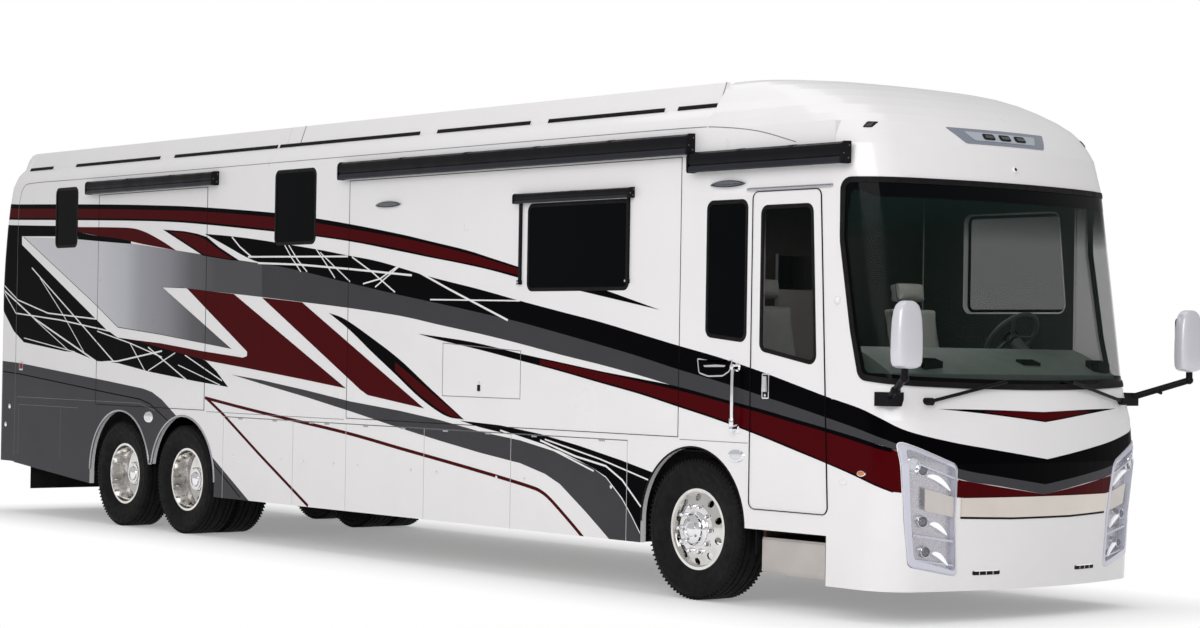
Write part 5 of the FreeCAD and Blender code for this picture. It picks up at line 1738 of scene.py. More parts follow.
@dataclass
class Wheels:
    """Every tyre and wheel on the three axles."""

    axle_z: float = 0.515
    track: float = 1.125
    twin: float = 0.335
    axles: Tuple[Tuple[str, float], ...] = (("front_wheel", FRONT_AXLE), ("drive_wheels", -2.8575),
                                            ("tag_wheel", -4.0675))

    def build(self) -> None:
        """Makes both sides of each axle."""
        for stem, x in self.axles:
            for side in Side:
                body = f"{stem}_{side.word}"
                rows = [self.track] + ([self.track - self.twin] if stem == "drive_wheels" else [])
                centres = [(x, side.value * y, self.axle_z) for y in rows]
                prefix = stem.split("_")[0]
                plural = "s" if prefix == "drive" else ""
                tyre, rim = f"{prefix}_tyre{plural}_{side.word}", f"{prefix}_rim{plural}_{side.word}"
                Tyre().build(f"{prefix}_tyre_{side.word}_treaded", body, centres, tyre)
                WheelDress(body, rim, side, centres[0], prefix != "front").build()


# ---------------------------------------------------------------- front end

@dataclass
class Headlamp:
    """One headlamp cluster: a reflector pan, a pearl frame, projectors, crescents and a clear cover."""

    side: Side
    corners: Tuple[Flat, ...] = ((0.755, 0.312), (0.808, 1.072), (1.215, 1.235), (1.125, 0.385))
    proud: float = 0.008
    deep: float = -0.044

    @staticmethod
    def opening(clear: float = 0.0) -> List[Flat]:
        """The lamp's outline as (distance from the middle, height)."""
        return offset(rounded(Headlamp.corners, 0.045), clear)

    @staticmethod
    def unrolled(points: Sequence[Flat]) -> List[Flat]:
        """Points (distance from the middle, height) as (u, height), finely divided.

        Args:
            points: the corners in order.

        Returns:
            The divided loop.
        """
        fine: List[Flat] = []
        for a, b in zip(points, list(points[1:]) + [points[0]]):
            fine += divided(a, b, 24 if math.dist(a, b) > 0.2 else 1)
        skin = Skin("front_cap", "headlights")
        return [(skin.unroll(y, z), z) for y, z in fine]

    def bulb(self, shape: Shape, skin: Skin, y: float, z: float, radius: float, lens: Finish) -> None:
        """A projector that fills the depth from the pocket to just under the cover.

        Args:
            shape: what it is added to.
            skin: the surface it lies on.
            y: the distance of its middle from the middle of the coach.
            z: the height of its middle.
            radius: the projector's radius.
            lens: what its dome is made of.
        """
        u, r = skin.unroll(y, z), radius
        base, depth = skin.on(u, z, self.side, self.deep), self.proud - 0.004 - self.deep
        out = LINE.at(u, self.side)[1]
        shape.lathe([(r * k, depth * h) for k, h in ((1.26, 0.0), (1.28, 0.5), (1.16, 0.86), (1.06, 0.9),
                                                     (0.98, 0.6), (0.9, 0.3), (0.0, 0.28))], base, out,
                    CHROME, 32)
        dome = [(r * 0.92 * math.cos(t), depth * (0.32 + 0.6 * math.sin(t))) for t in around(28)[:7]]
        shape.lathe([(r * 0.92, depth * 0.26)] + dome + [(0.0, depth * 0.92)], base, out, lens, 32)

    def crescent(self, shape: Shape, skin: Skin, start: Flat, end: Flat, finish: Finish,
                 width: float = 0.04) -> None:
        """A tapered light guide that curves down towards the middle of the nose.

        Args:
            shape: what it is added to.
            skin: the surface it lies on.
            start: its outer end as (distance from the middle, height).
            end: its inner end.
            finish: what it is covered with.
            width: how wide it is at its widest.
        """
        upper, lower = [], []
        for k in range(13):
            t = k / 12
            y, z = start[0] + (end[0] - start[0]) * t, start[1] + (end[1] - start[1]) * t ** 1.9
            half = width / 2 * math.sin(math.pi * (0.06 + 0.90 * t)) ** 0.7
            upper.append((skin.unroll(y, z + half), z + half))
            lower.append((skin.unroll(y, z - half), z - half))
        skin.sheet(shape, [upper + lower[::-1]], self.side, self.proud - 0.016, self.proud - 0.004, finish,
                   0.03)

    def build(self) -> None:
        """Makes the cluster."""
        skin = Skin("front_cap", "headlights")
        hole = offset(rounded(((0.773, 0.352), (0.822, 1.048), (1.172, 1.185), (1.088, 0.436)), 0.03), 0.0)
        pan, pane = self.unrolled(offset(self.opening(), -0.008)), self.unrolled(hole)
        inner, near, far = Shape(), self.proud - 0.014, self.proud - 0.006
        skin.sheet(inner, [pan], self.side, self.deep - 0.004, self.deep, LAMP_PAN, 0.04)
        shelf = [(0.782, 0.715), (0.79, 0.848), (1.04, 0.915), (1.025, 0.765)]
        skin.sheet(inner, [self.unrolled(shelf)], self.side, near, far, BRUSHED, 0.04)
        for a, b, c in ((0.545, 0.592, 0.016), (0.385, 0.43, 0.012), (0.965, 1.075, 0.012)):
            rail = [(0.79, a), (0.79, a + c), (1.10, b + c), (1.10, b)]
            skin.sheet(inner, [self.unrolled(rail)], self.side, near - 0.01, far, LAMP_FRAME, 0.05)
        self.bulb(inner, skin, 1.135, 1.07, 0.046, CLEAR)
        self.bulb(inner, skin, 1.065, 1.04, 0.034, PROJECTOR)
        self.bulb(inner, skin, 1.03, 0.69, 0.034, PROJECTOR)
        self.bulb(inner, skin, 1.00, 0.485, 0.032, PROJECTOR)
        for start, end in (((1.03, 1.0), (0.845, 0.90)), ((0.975, 0.675), (0.845, 0.60)),
                           ((0.95, 0.475), (0.83, 0.395))):
            self.crescent(inner, skin, start, end, GUIDE)
        inner.piece(f"headlamp_{self.side.word}_reflectors", "coach", "headlamp_lens",
                    ["headlights"] if self.side is Side.RIGHT else [])
        rim, top = Shape(), self.proud + 0.003
        outer, lip = (self.unrolled(offset(self.opening(), -inset)) for inset in (0.0015, 0.012))
        skin.sheet(rim, [lip, pane], self.side, top - 0.006, top, LAMP_FRAME, 0.05)
        rear, foot = self.unrolled(offset(hole, 0.005)), self.deep - 0.001
        for rows in (((outer, -0.003), (outer, top - 0.008), (lip, top), (lip, -0.003)),
                     ((pane, top - 0.001), (pane, foot), (rear, foot), (rear, top - 0.003))):
            rim.rings([[tuple(skin.on(u, z, self.side, lift)) for u, z in ring] for ring, lift in rows],
                      LAMP_FRAME, loop=True)
        rim.piece(f"headlamp_{self.side.word}_frame", "coach", "headlamp_lens")
        cover = Shape()
        skin.sheet(cover, [pane], self.side, self.proud - 0.002, self.proud + 0.001, COVER, 0.05)
        cover.piece(f"headlamp_{self.side.word}_cover", "coach", "headlamp_lens")


@dataclass
class Mirror:
    """A mirror head on its stalk: a rounded shell, a glass and a gasket."""

    side: Side
    middle: Flat = (6.7935, 1.475)
    low: float = 1.722
    high: float = 2.168

    def build(self) -> None:
        """Makes the shell and the glass behind it."""
        s, (x, y) = self.side.value, self.middle
        sections = ((0.0, 0.30, 0.5), (0.012, 0.62, 0.72), (0.04, 0.86, 0.9), (0.10, 0.97, 0.98),
                    (0.24, 1.0, 1.0), (0.5, 0.985, 0.99), (0.72, 0.93, 0.95), (0.85, 0.84, 0.88),
                    (0.93, 0.70, 0.78), (0.98, 0.48, 0.62), (1.0, 0.26, 0.42))
        rows = []
        for t, wide, deep in sections:
            z, row = self.low + (self.high - self.low) * t, []
            for a in around(28):
                c, d = math.cos(a), math.sin(a)
                px = 0.061 * deep * abs(c) ** 0.55 * (1 if c > 0 else -1)
                py = 0.118 * wide * abs(d) ** 0.55 * (1 if d > 0 else -1)
                row.append((x + px, s * (y - 0.015 + py), z))
            rows.append(row)
        shell = Shape()
        shell.rings(rows, MIRROR_SHELL)
        glass = rounded(box_loop((y - 0.09, self.low + 0.13), (y + 0.06, self.high - 0.055)), 0.04)
        small = rounded(box_loop((y - 0.085, self.low + 0.035), (y + 0.055, self.low + 0.115)), 0.03)
        for loop in (glass, small):
            loop = [(s * a, b) for a, b in loop]
            shell.prism(loop, "X", x - 0.0655, x - 0.05, SEAL, 0.002)
            shell.prism(offset(loop, -0.006), "X", x - 0.066, x - 0.06, CHROME, 0.0006)
        shell.box((x - 0.02, s * (y - 0.03), self.low), (x + 0.02, s * (y + 0.03), self.low + 0.02), SATIN,
                  0.006)
        shell.piece(f"mirror_{self.side.word}", "coach", "coach_white",
                    ["mirror_heads"] if self.side is Side.RIGHT else [])
        boot = Shape()
        stem = [(6.3525, 1.21, 1.512), (6.45, 1.27, 1.53), (6.6, 1.36, 1.57), (6.74, 1.44, 1.62)]
        for at in (0, 2):
            boot.lathe([(0.034, -0.012), (0.036, 0.0), (0.03, 0.018), (0.022, 0.024)],
                       (stem[at][0], s * stem[at][1], stem[at][2] + 0.004), (0.35, s * 0.25, 1.0), SATIN,
                       20)
        boot.piece(f"mirror_arm_{self.side.word}_boots", "coach", "satin_black")


class FrontEnd:
    """What the front cap carries: lamps, mirrors, bar, slots, crown and the screen's seal."""

    collar = ((1.0, 0.0), (1.0, 0.006), (0.9, 0.013), (0.74, 0.014))
    bulge = ((0.74, 0.010), (0.70, 0.018), (0.45, 0.024), (0.08, 0.026))
    button = ((1.0, 0.0), (0.96, 0.006), (0.6, 0.010), (0.1, 0.011))
    screen_top = (6.22, 2.78)
    screen_foot = (6.40, 1.83)

    def __init__(self) -> None:
        """Finds the cap's surface."""
        self.skin = Skin("front_cap", "headlights", "windshield")

    def across(self, shape: Shape, loop: Sequence[Flat], low: float, high: float, finish: Finish,
               step: float = 0.05) -> None:
        """A skin over a region (y, z) of the nose, carried across its middle.

        Args:
            shape: what it is added to.
            loop: the corners as (y, height).
            low: height of its underside off the surface.
            high: height of its top.
            finish: what it is covered with.
            step: how closely it follows the surface.
        """
        def on(p: Flat, lift: float) -> Vector:
            """The point on the nose."""
            return self.skin.on(LINE.front(abs(p[0])), p[1], Side.of(p[0]), lift)
        plate(shape, [loop], on, low, high, finish, step)

    def bar(self) -> None:
        """The brushed bar between the headlamps, with its shadow groove."""
        shape = Shape()
        bar = [(-0.752, 0.722), (-0.76, 0.848), (0.76, 0.848), (0.752, 0.722), (0.3, 0.709), (-0.3, 0.709)]
        groove = [(-0.752, 0.706), (-0.752, 0.721), (-0.3, 0.708), (0.3, 0.708), (0.752, 0.721),
                  (0.752, 0.706), (0.3, 0.694), (-0.3, 0.694)]
        self.across(shape, bar, -0.004, 0.009, BRUSHED)
        self.across(shape, groove, -0.004, 0.003, SEAL)
        shape.piece("nose_bar", "coach", "polished_rim")

    def slots(self) -> None:
        """Two tow-eye slots, each a chrome rim and chrome louvres over a flat black sheet, painted shade
        that stands for the pocket behind them.
        """
        shape = Shape()
        for s in (-1, 1):
            outline = [(s * y, z) for y, z in rounded(box_loop((0.395, 0.320), (0.635, 0.348)), 0.011)]
            # The flat black sheet stands for the shade inside the pocket: painted shade.
            self.across(shape, outline, -0.003, 0.003, SEAL)
            self.across(shape, [(s * 0.41, 0.345), (s * 0.62, 0.345), (s * 0.62, 0.352), (s * 0.41, 0.352)],
                        0.0, 0.005, CHROME)
            for k in range(3):
                near, far = sorted((s * (0.455 + 0.06 * k), s * (0.459 + 0.06 * k)))
                self.across(shape, box_loop((near, 0.322), (far, 0.346)), 0.002, 0.005, CHROME)
        shape.piece("nose_slots", "coach", "satin_black")

    def crown(self) -> None:
        """The blue-grey plate over the windscreen with three lamps, the camera and the roof-edge lamps."""
        shape = Shape()
        back = rounded(((-0.458, 3.292), (-0.60, 3.405), (0.55, 3.405), (0.441, 3.292)), 0.02)
        self.across(shape, back, -0.002, 0.004, CROWN_GREY)
        pale = rounded(((-0.36, 3.318), (-0.43, 3.382), (0.40, 3.382), (0.34, 3.318)), 0.02)
        self.across(shape, pale, 0.003, 0.007, CROWN_PALE)
        for y in (-0.185, -0.002, 0.18):
            bezel = rounded(box_loop((y - 0.062, 3.333), (y + 0.062, 3.374)), 0.016)
            lens = rounded(box_loop((y - 0.046, 3.343), (y + 0.046, 3.364)), 0.010)
            self.across(shape, bezel, 0.004, 0.012, SEAL, 0.03)
            self.across(shape, lens, 0.010, 0.016, SMOKED, 0.03)
        shape.piece("crown_lamps", "coach", "headlamp_lens")
        small = Shape()
        eye = self.skin.on(LINE.front(0.0), 3.125, Side.RIGHT)
        normal = self.skin.normal(LINE.front(0.0), 3.125, Side.RIGHT)
        small.lathe([(0.026, -0.008), (0.027, 0.005), (0.021, 0.012), (0.0135, 0.012), (0.0125, 0.006)],
                    eye, normal, WHITE, 24)
        small.lathe([(0.0125, 0.004), (0.0115, 0.0105), (0.0, 0.0125)], eye, normal, SATIN, 24)
        for side in Side:
            u, z = 6.075, 3.392
            for reach, low, high, finish in ((0.0, -0.006, 0.010, SEAL), (-0.008, 0.008, 0.015, SMOKED)):
                lamp = box_loop((u - 0.019 - reach, z - 0.021 - reach),
                                (u + 0.019 + reach, z + 0.021 + reach))
                self.skin.sheet(small, [rounded(lamp, 0.006)], side, low, high, finish, 0.02)
        small.piece("crown_markers", "coach", "satin_black")

    def flank_lamps(self) -> None:
        """The amber reflector in the stripe, whose lens glows faintly as painted light, the round cap
        behind it and the docking lamps.
        """
        for side in Side:
            shape, face = Shape(), side.value * HALF_WIDTH
            # The amber reflector's lens glows faintly though it is no lamp: painted light.
            for x, z, wide, tall, glass in ((6.221, 1.003, 0.042, 0.022, AMBER),
                                            (6.039, 0.938, 0.036, 0.024, None),
                                            (4.953, 1.07, 0.088, 0.047, CLEAR),
                                            (-3.531, 1.087, 0.085, 0.055, CLEAR)):
                ring = [(x + wide * math.cos(t), z + tall * math.sin(t)) for t in around(32)]
                parts = ((self.collar, CHROME), (self.bulge, glass)) if glass else ((self.button, WHITE),)
                for section, finish in parts:
                    shape.rings([[(x + (a - x) * k, face + side.value * lift, z + (b - z) * k)
                                  for a, b in ring] for k, lift in section], finish)
            shape.piece(f"{side.word}_flank_lamps", "coach", "headlamp_lens")

    def screen_edge(self, glass: Skin, insets: Sequence[float]) -> List[Flat]:
        """Half of the windscreen's outline, from its top middle round to its bottom middle.

        Args:
            glass: the windscreen's skin.
            insets: how far inside the glass the line stays at the top, the rear and the bottom.

        Returns:
            The outline as (u, z).
        """
        def reach(start: Flat, angle: float, inset: float) -> Flat:
            """The last point of the glass from a start towards an angle.

            Args:
                start: where to start, as (u, height).
                angle: the direction in radians.
                inset: how far inside the glass's edge to stay.

            Returns:
                The point as (u, height).
            """
            near, far, way = 0.0, 1.0, (math.cos(angle), math.sin(angle))
            for _ in range(16):
                mid = (near + far) / 2
                u, z = start[0] + way[0] * mid, start[1] + way[1] * mid
                hit = glass.found(u, z, Side.RIGHT)
                inside = hit is not None and (hit - self.skin.on(u, z, Side.RIGHT)).length < 2e-4
                near, far = (mid, far) if inside else (near, mid)
            return (start[0] + way[0] * (near - inset), start[1] + way[1] * (near - inset))
        top, rear, foot = insets
        (start, high), (back, low), count = self.screen_top, self.screen_foot, 90
        edge = [reach((LINE.middle + (start - LINE.middle) * k / count, 2.6), math.pi / 2, top)
                for k in range(count)]
        edge += [reach((start, high), math.pi / 2 * (1 + t), top + (rear - top) * t)
                 for t in (k / 24 for k in range(25))]
        edge += [reach((back, high + (low - high) * k / 24), math.pi, rear) for k in range(1, 24)]
        edge += [reach((back, low), math.pi * (1 + t / 2), rear + (foot - rear) * t)
                 for t in (k / 24 for k in range(25))]
        edge += [reach((back + (LINE.middle - back) * k / count, low), -math.pi / 2, foot)
                 for k in range(1, count + 1)]
        return edge

    def screen_seal(self) -> None:
        """The windscreen's rubber gasket and the black frit inside it."""
        glass = Skin("windshield")
        edge, outer, inner = (self.screen_edge(glass, insets) for insets in
                              ((0.003, 0.003, 0.003), (0.010, 0.010, 0.010), (0.12, 0.045, 0.05)))
        for side in Side:
            shape = Shape()
            self.skin.strip(shape, edge, side, 0.040, 0.014, SEAL, -0.006)
            shape.piece(f"screen_seal_{side.word}", "coach", "rubber_black")
            frit = Shape()
            glass.sheet(frit, [outer + inner[::-1]], side, 0.001, 0.002, FRIT, 0.015)
            frit.piece(f"screen_frit_{side.word}", "coach", "tinted_glass")

    def build(self) -> None:
        """Makes everything on the nose."""
        for side in Side:
            Headlamp(side).build()
            Mirror(side).build()
        self.bar()
        self.slots()
        self.crown()
        self.flank_lamps()
        self.screen_seal()


# ---------------------------------------------------------------- flanks

@dataclass
class Cassette:
    """A roller awning shut against the wall: housing, roller, lead rail and end caps, with a lighter grey
    ridge on the hood's top as a painted highlight.
    """

    name: str
    side: Side
    start: float
    end: float
    low: float
    high: float
    reach: float = 0.085
    body: str = "coach"

    def at(self, out: float, up: float) -> Flat:
        """A point of the section from shares of its reach and height."""
        return (self.side.value * (HALF_WIDTH + out * self.reach), self.low + up * (self.high - self.low))

    def build(self, replaces: Sequence[str] = ()) -> None:
        """Makes the housing.

        Args:
            replaces: the CAD nodes it stands for.
        """
        shape, at = Shape(), self.at
        hood = [at(0.01, 0.36), at(0.01, 0.93), at(0.10, 0.985), at(0.62, 0.95), at(0.86, 0.86),
                at(0.96, 0.70), at(0.96, 0.46), at(0.90, 0.36)]
        shape.prism(hood, "X", self.start + 0.012, self.end - 0.012, SATIN, 0.002)
        # The lead rail's lighter grey is partly a painted highlight along its lower edge.
        rail = [at(0.34, 0.04), at(0.30, 0.30), at(0.92, 0.30), at(0.985, 0.22), at(0.985, 0.07),
                at(0.90, 0.01)]
        shape.prism(rail, "X", self.start + 0.02, self.end - 0.02, RAIL_HIGHLIGHT_GREY, 0.002)
        # A thin lighter ridge along the hood's top: a painted highlight where the top catches the light.
        highlight_ridge = [at(0.05, 0.97), at(0.05, 1.0), at(0.55, 0.965), at(0.55, 0.935)]
        shape.prism(highlight_ridge, "X", self.start + 0.012, self.end - 0.012, RAIL_HIGHLIGHT_GREY)
        drum = [at(0.48 + 0.3 * math.cos(t), 0.33 + 0.27 * math.sin(t)) for t in around(20)]
        shape.prism(drum, "X", self.start + 0.016, self.end - 0.016, TEXTILE)
        cap = [at(0.0, 0.05), at(0.0, 0.99), at(0.12, 1.0), at(0.70, 0.98), at(0.92, 0.88), at(1.0, 0.72),
               at(1.0, 0.10), at(0.92, 0.0), at(0.3, 0.0)]
        stops = 2 + int((self.end - self.start) / 1.5)
        for a in (self.start, self.end - 0.016):
            shape.prism(cap, "X", a, a + 0.016, SATIN, 0.003)
        for k in range(1, stops):
            x = self.start + (self.end - self.start) * k / stops
            clip = [at(0.0, 0.90), at(0.0, 1.0), at(0.3, 1.0), at(0.72, 0.965), at(0.9, 0.85),
                    at(0.86, 0.80), at(0.60, 0.90)]
            shape.prism(clip, "X", x - 0.02, x + 0.02, SATIN, 0.001)
        for x, out in ((self.start, -1.0), (self.end, 1.0)):
            for share in ((0.2, 0.8), (0.75, 0.45), (0.3, 0.25)):
                y, z = at(*share)
                shape.lathe([(0.0045, -0.001), (0.0045, 0.0012), (0.0, 0.0016)], (x - out * 0.0004, y, z),
                            (out, 0, 0), ALLOY, 8)
        shape.piece(self.name, self.body, "satin_black", replaces, 30.0)


@dataclass
class WindowTrim:
    """The clamp ring, gasket and sliding bar of a node's windows."""

    node: str
    body: str
    side: Side
    bars: Tuple[float, ...] = ()
    least: float = 0.02

    def build(self) -> None:
        """Makes the rings."""
        s, shape = self.side.value, Shape()
        for loop in flat_loops(self.node, 1, s * PANE_FACE):
            if abs(area(loop)) < self.least:
                continue
            shape.frame(loop, 0.018, 0.007, "Y", s * 1.2785, s * 1.2848, SEAL)
            shape.frame(offset(loop, -0.017), 0.006, 0.0, "Y", s * 1.2785, s * 1.2815, SATIN)
            xs, zs = [p[0] for p in loop], [p[1] for p in loop]
            for bar in self.bars:
                x = min(xs) + (max(xs) - min(xs)) * bar
                shape.box((x - 0.012, s * 1.2785, min(zs) + 0.016),
                          (x + 0.012, s * 1.2825, max(zs) - 0.016), SEAL, 0.001)
        shape.piece(f"{self.side.word}_{self.node}_trim", self.body, "rubber_black")


class Flank:
    """The small fittings of one side."""

    doors = {Side.RIGHT: ((-2.134, -0.941), (-0.933, -0.087), (-0.079, 1.084), (1.092, 2.279),
                          (2.286, 3.727)),
             Side.LEFT: ((-2.134, -0.087), (-0.079, 1.788), (1.796, 3.727))}

    def __init__(self, side: Side) -> None:
        """Remembers the side and finds its skin.

        Args:
            side: which flank.
        """
        self.side, self.s, self.word = side, side.value, side.word
        self.skin = Skin(f"{side.word}_sidewall", "front_cap", "rear_cap", "roof")
        self.face = side.value * HALF_WIDTH

    def line(self, shape: Shape, points: Sequence[Flat], width: float) -> None:
        """A seam drawn on the skin.

        Args:
            shape: what it is added to.
            points: its corners as (u, height).
            width: how wide it is.
        """
        fine: List[Flat] = []
        for a, b in zip(points, points[1:]):
            fine += divided(a, b, max(1, int(math.dist(a, b) / 0.12)))
        self.skin.strip(shape, fine + [points[-1]], self.side, width, 0.0016, SEAM)

    def seams(self) -> None:
        """The joints between the caps, the roof and the walls, and the service panels' outlines."""
        shape = Shape()
        self.line(shape, [(-6.392, 0.60), (-6.392, 2.2), (-6.388, 3.05)], 0.007)
        self.line(shape, flow([(-6.386, 3.06), (-6.37, 3.253), (-6.27, 3.425), (-6.02, 3.457),
                               (-5.2, 3.456)]), 0.007)
        self.line(shape, [(-5.2, 3.456), (4.0, 3.452)], 0.006)
        self.line(shape, flow([(4.0, 3.452), (4.39, 3.449), (4.68, 3.44), (5.12, 3.388), (5.52, 3.29)]),
                  0.007)
        if self.side is Side.RIGHT:
            self.line(shape, [(4.33, 1.165), (5.07, 1.165)], 0.005)
            self.line(shape, [(-2.44, 1.171), (-0.12, 1.171)], 0.005)
        else:
            self.line(shape, flow([(5.52, 3.29), (5.8, 3.19), (5.912, 3.06)]), 0.006)
            self.line(shape, [(3.93, 1.165), (5.90, 1.165)], 0.005)
        self.line(shape, [(-6.34, 1.215), (-3.72, 1.215), (-3.42, 1.152)], 0.006)
        self.line(shape, [(-6.30, 0.62), (-6.30, 1.135), (-4.98, 1.135)], 0.005)
        self.line(shape, [(-5.36, 0.60), (-5.36, 1.12)], 0.004)
        shape.piece(f"{self.word}_seams", "coach", "rubber_black")

    def lips(self) -> None:
        """The bright lips round the rear wheel arches, and the rubber lip of the front one."""
        shape = Shape()
        wall = outline_of(f"{self.word}_sidewall", self.face)
        for low, high, finish, radius in ((-4.72, -2.28, LIP, 0.011), (3.89, 5.05, SEAL, 0.007)):
            path = sorted((p for p in wall if low < p[0] < high and 0.5 < p[1] < 1.137
                           and (p[0] < -2.2 or p[0] > 3.895)), key=lambda p: p[0])
            path = [p for i, p in enumerate(path) if i == 0 or math.dist(p, path[i - 1]) > 0.004]
            shape.tube([(x, self.s * (HALF_WIDTH - 0.002), z) for x, z in path], radius, finish, 10)
        shape.piece(f"{self.word}_arch_lips", "coach", "polished_rim")

    def splash(self) -> None:
        """Rubber splash guards inside the rear arches, clear of the tyres."""
        shape = Shape()
        for low, high in ((-4.77, -4.60), (-3.53, -3.395), (-2.325, -2.20)):
            shape.box((low, self.s * 0.772, 0.47), (high, self.s * 0.78, 1.12), SEAL, 0.002)
        shape.piece(f"{self.word}_splash_guards", "coach", "rubber_black")

    def locks(self) -> None:
        """Two round locks, two top clips and a foot seal on every bay door."""
        for number, (a, b) in enumerate(self.doors[self.side], 1):
            shape = Shape()
            for x, z in ((a + 0.18, 0.777), (b - 0.18, 0.777)):
                shape.lathe([(0.015, -0.001), (0.015, 0.003), (0.012, 0.0045), (0.0095, 0.003),
                             (0.003, 0.0035), (0.0, 0.0036)], (x, self.face, z), (0, self.s, 0), CHROME, 20)
            for x in (a + 0.3, b - 0.3):
                shape.box((x - 0.035, self.face, 1.117), (x + 0.035, self.face + self.s * 0.004, 1.129),
                          LIP, 0.0015)
            shape.box((a + 0.02, self.face - self.s * 0.032, 0.384),
                      (b - 0.02, self.face - self.s * 0.006, 0.392), SEAL, 0.001)
            shape.piece(f"{self.word}_bay_door_{number}_locks", f"{self.word}_bay_door_{number}",
                        "polished_rim")

    def small_lamps(self) -> None:
        """The square lamp and round caps at the tail, the porch lamps and the bump by the screen."""
        shape = Shape()
        x, z = -6.244, 1.54
        shape.box((x - 0.042, self.face, z - 0.045), (x + 0.042, self.face + self.s * 0.012, z + 0.045),
                  CHROME, 0.006)
        shape.box((x - 0.026, self.face + self.s * 0.01, z - 0.028),
                  (x + 0.026, self.face + self.s * 0.017, z + 0.028), RUBY, 0.004)
        for u, z in ((-6.504, 1.112), (-6.589, 0.919)):
            shape.lathe([(0.026, -0.004), (0.026, 0.005), (0.018, 0.009), (0.0, 0.010)],
                        self.skin.on(u, z, self.side), self.skin.normal(u, z, self.side), CHROME, 24)
        dome = self.skin.on(FRONT_AXLE + 1.4715, 2.18, self.side)
        shape.lathe([(0.030, -0.004), (0.030, 0.006), (0.022, 0.018), (0.010, 0.024), (0.0, 0.025)], dome,
                    (0.25, self.s, 0), WHITE, 24)
        shape.piece(f"{self.word}_small_lamps", "coach", "headlamp_lens")
        porches = (("slide", "slideout_right_front", 0.528, 3.015), ("door", "coach", 4.838, 3.021))
        for name, body, x, z in porches if self.side is Side.RIGHT else ():
            lamp = Shape()
            ring = [(x + 0.19 * math.cos(t) * (1.0 - 0.15 * math.sin(t)), z + 0.034 * math.sin(t))
                    for t in around(40)]
            for grow, near, far, finish in ((0.0, 0.0, 0.020, CHROME), (-0.009, 0.012, 0.024, SATIN),
                                            (-0.015, 0.022, 0.028, CLEAR)):
                lamp.prism(offset(ring, grow), "Y", self.face + self.s * near, self.face + self.s * far,
                           finish, 0.002)
            lamp.piece(f"porch_lamp_{name}", body, "headlamp_lens")

    def build(self) -> None:
        """Makes the fittings of this side."""
        self.seams()
        self.lips()
        self.splash()
        self.locks()
        self.small_lamps()


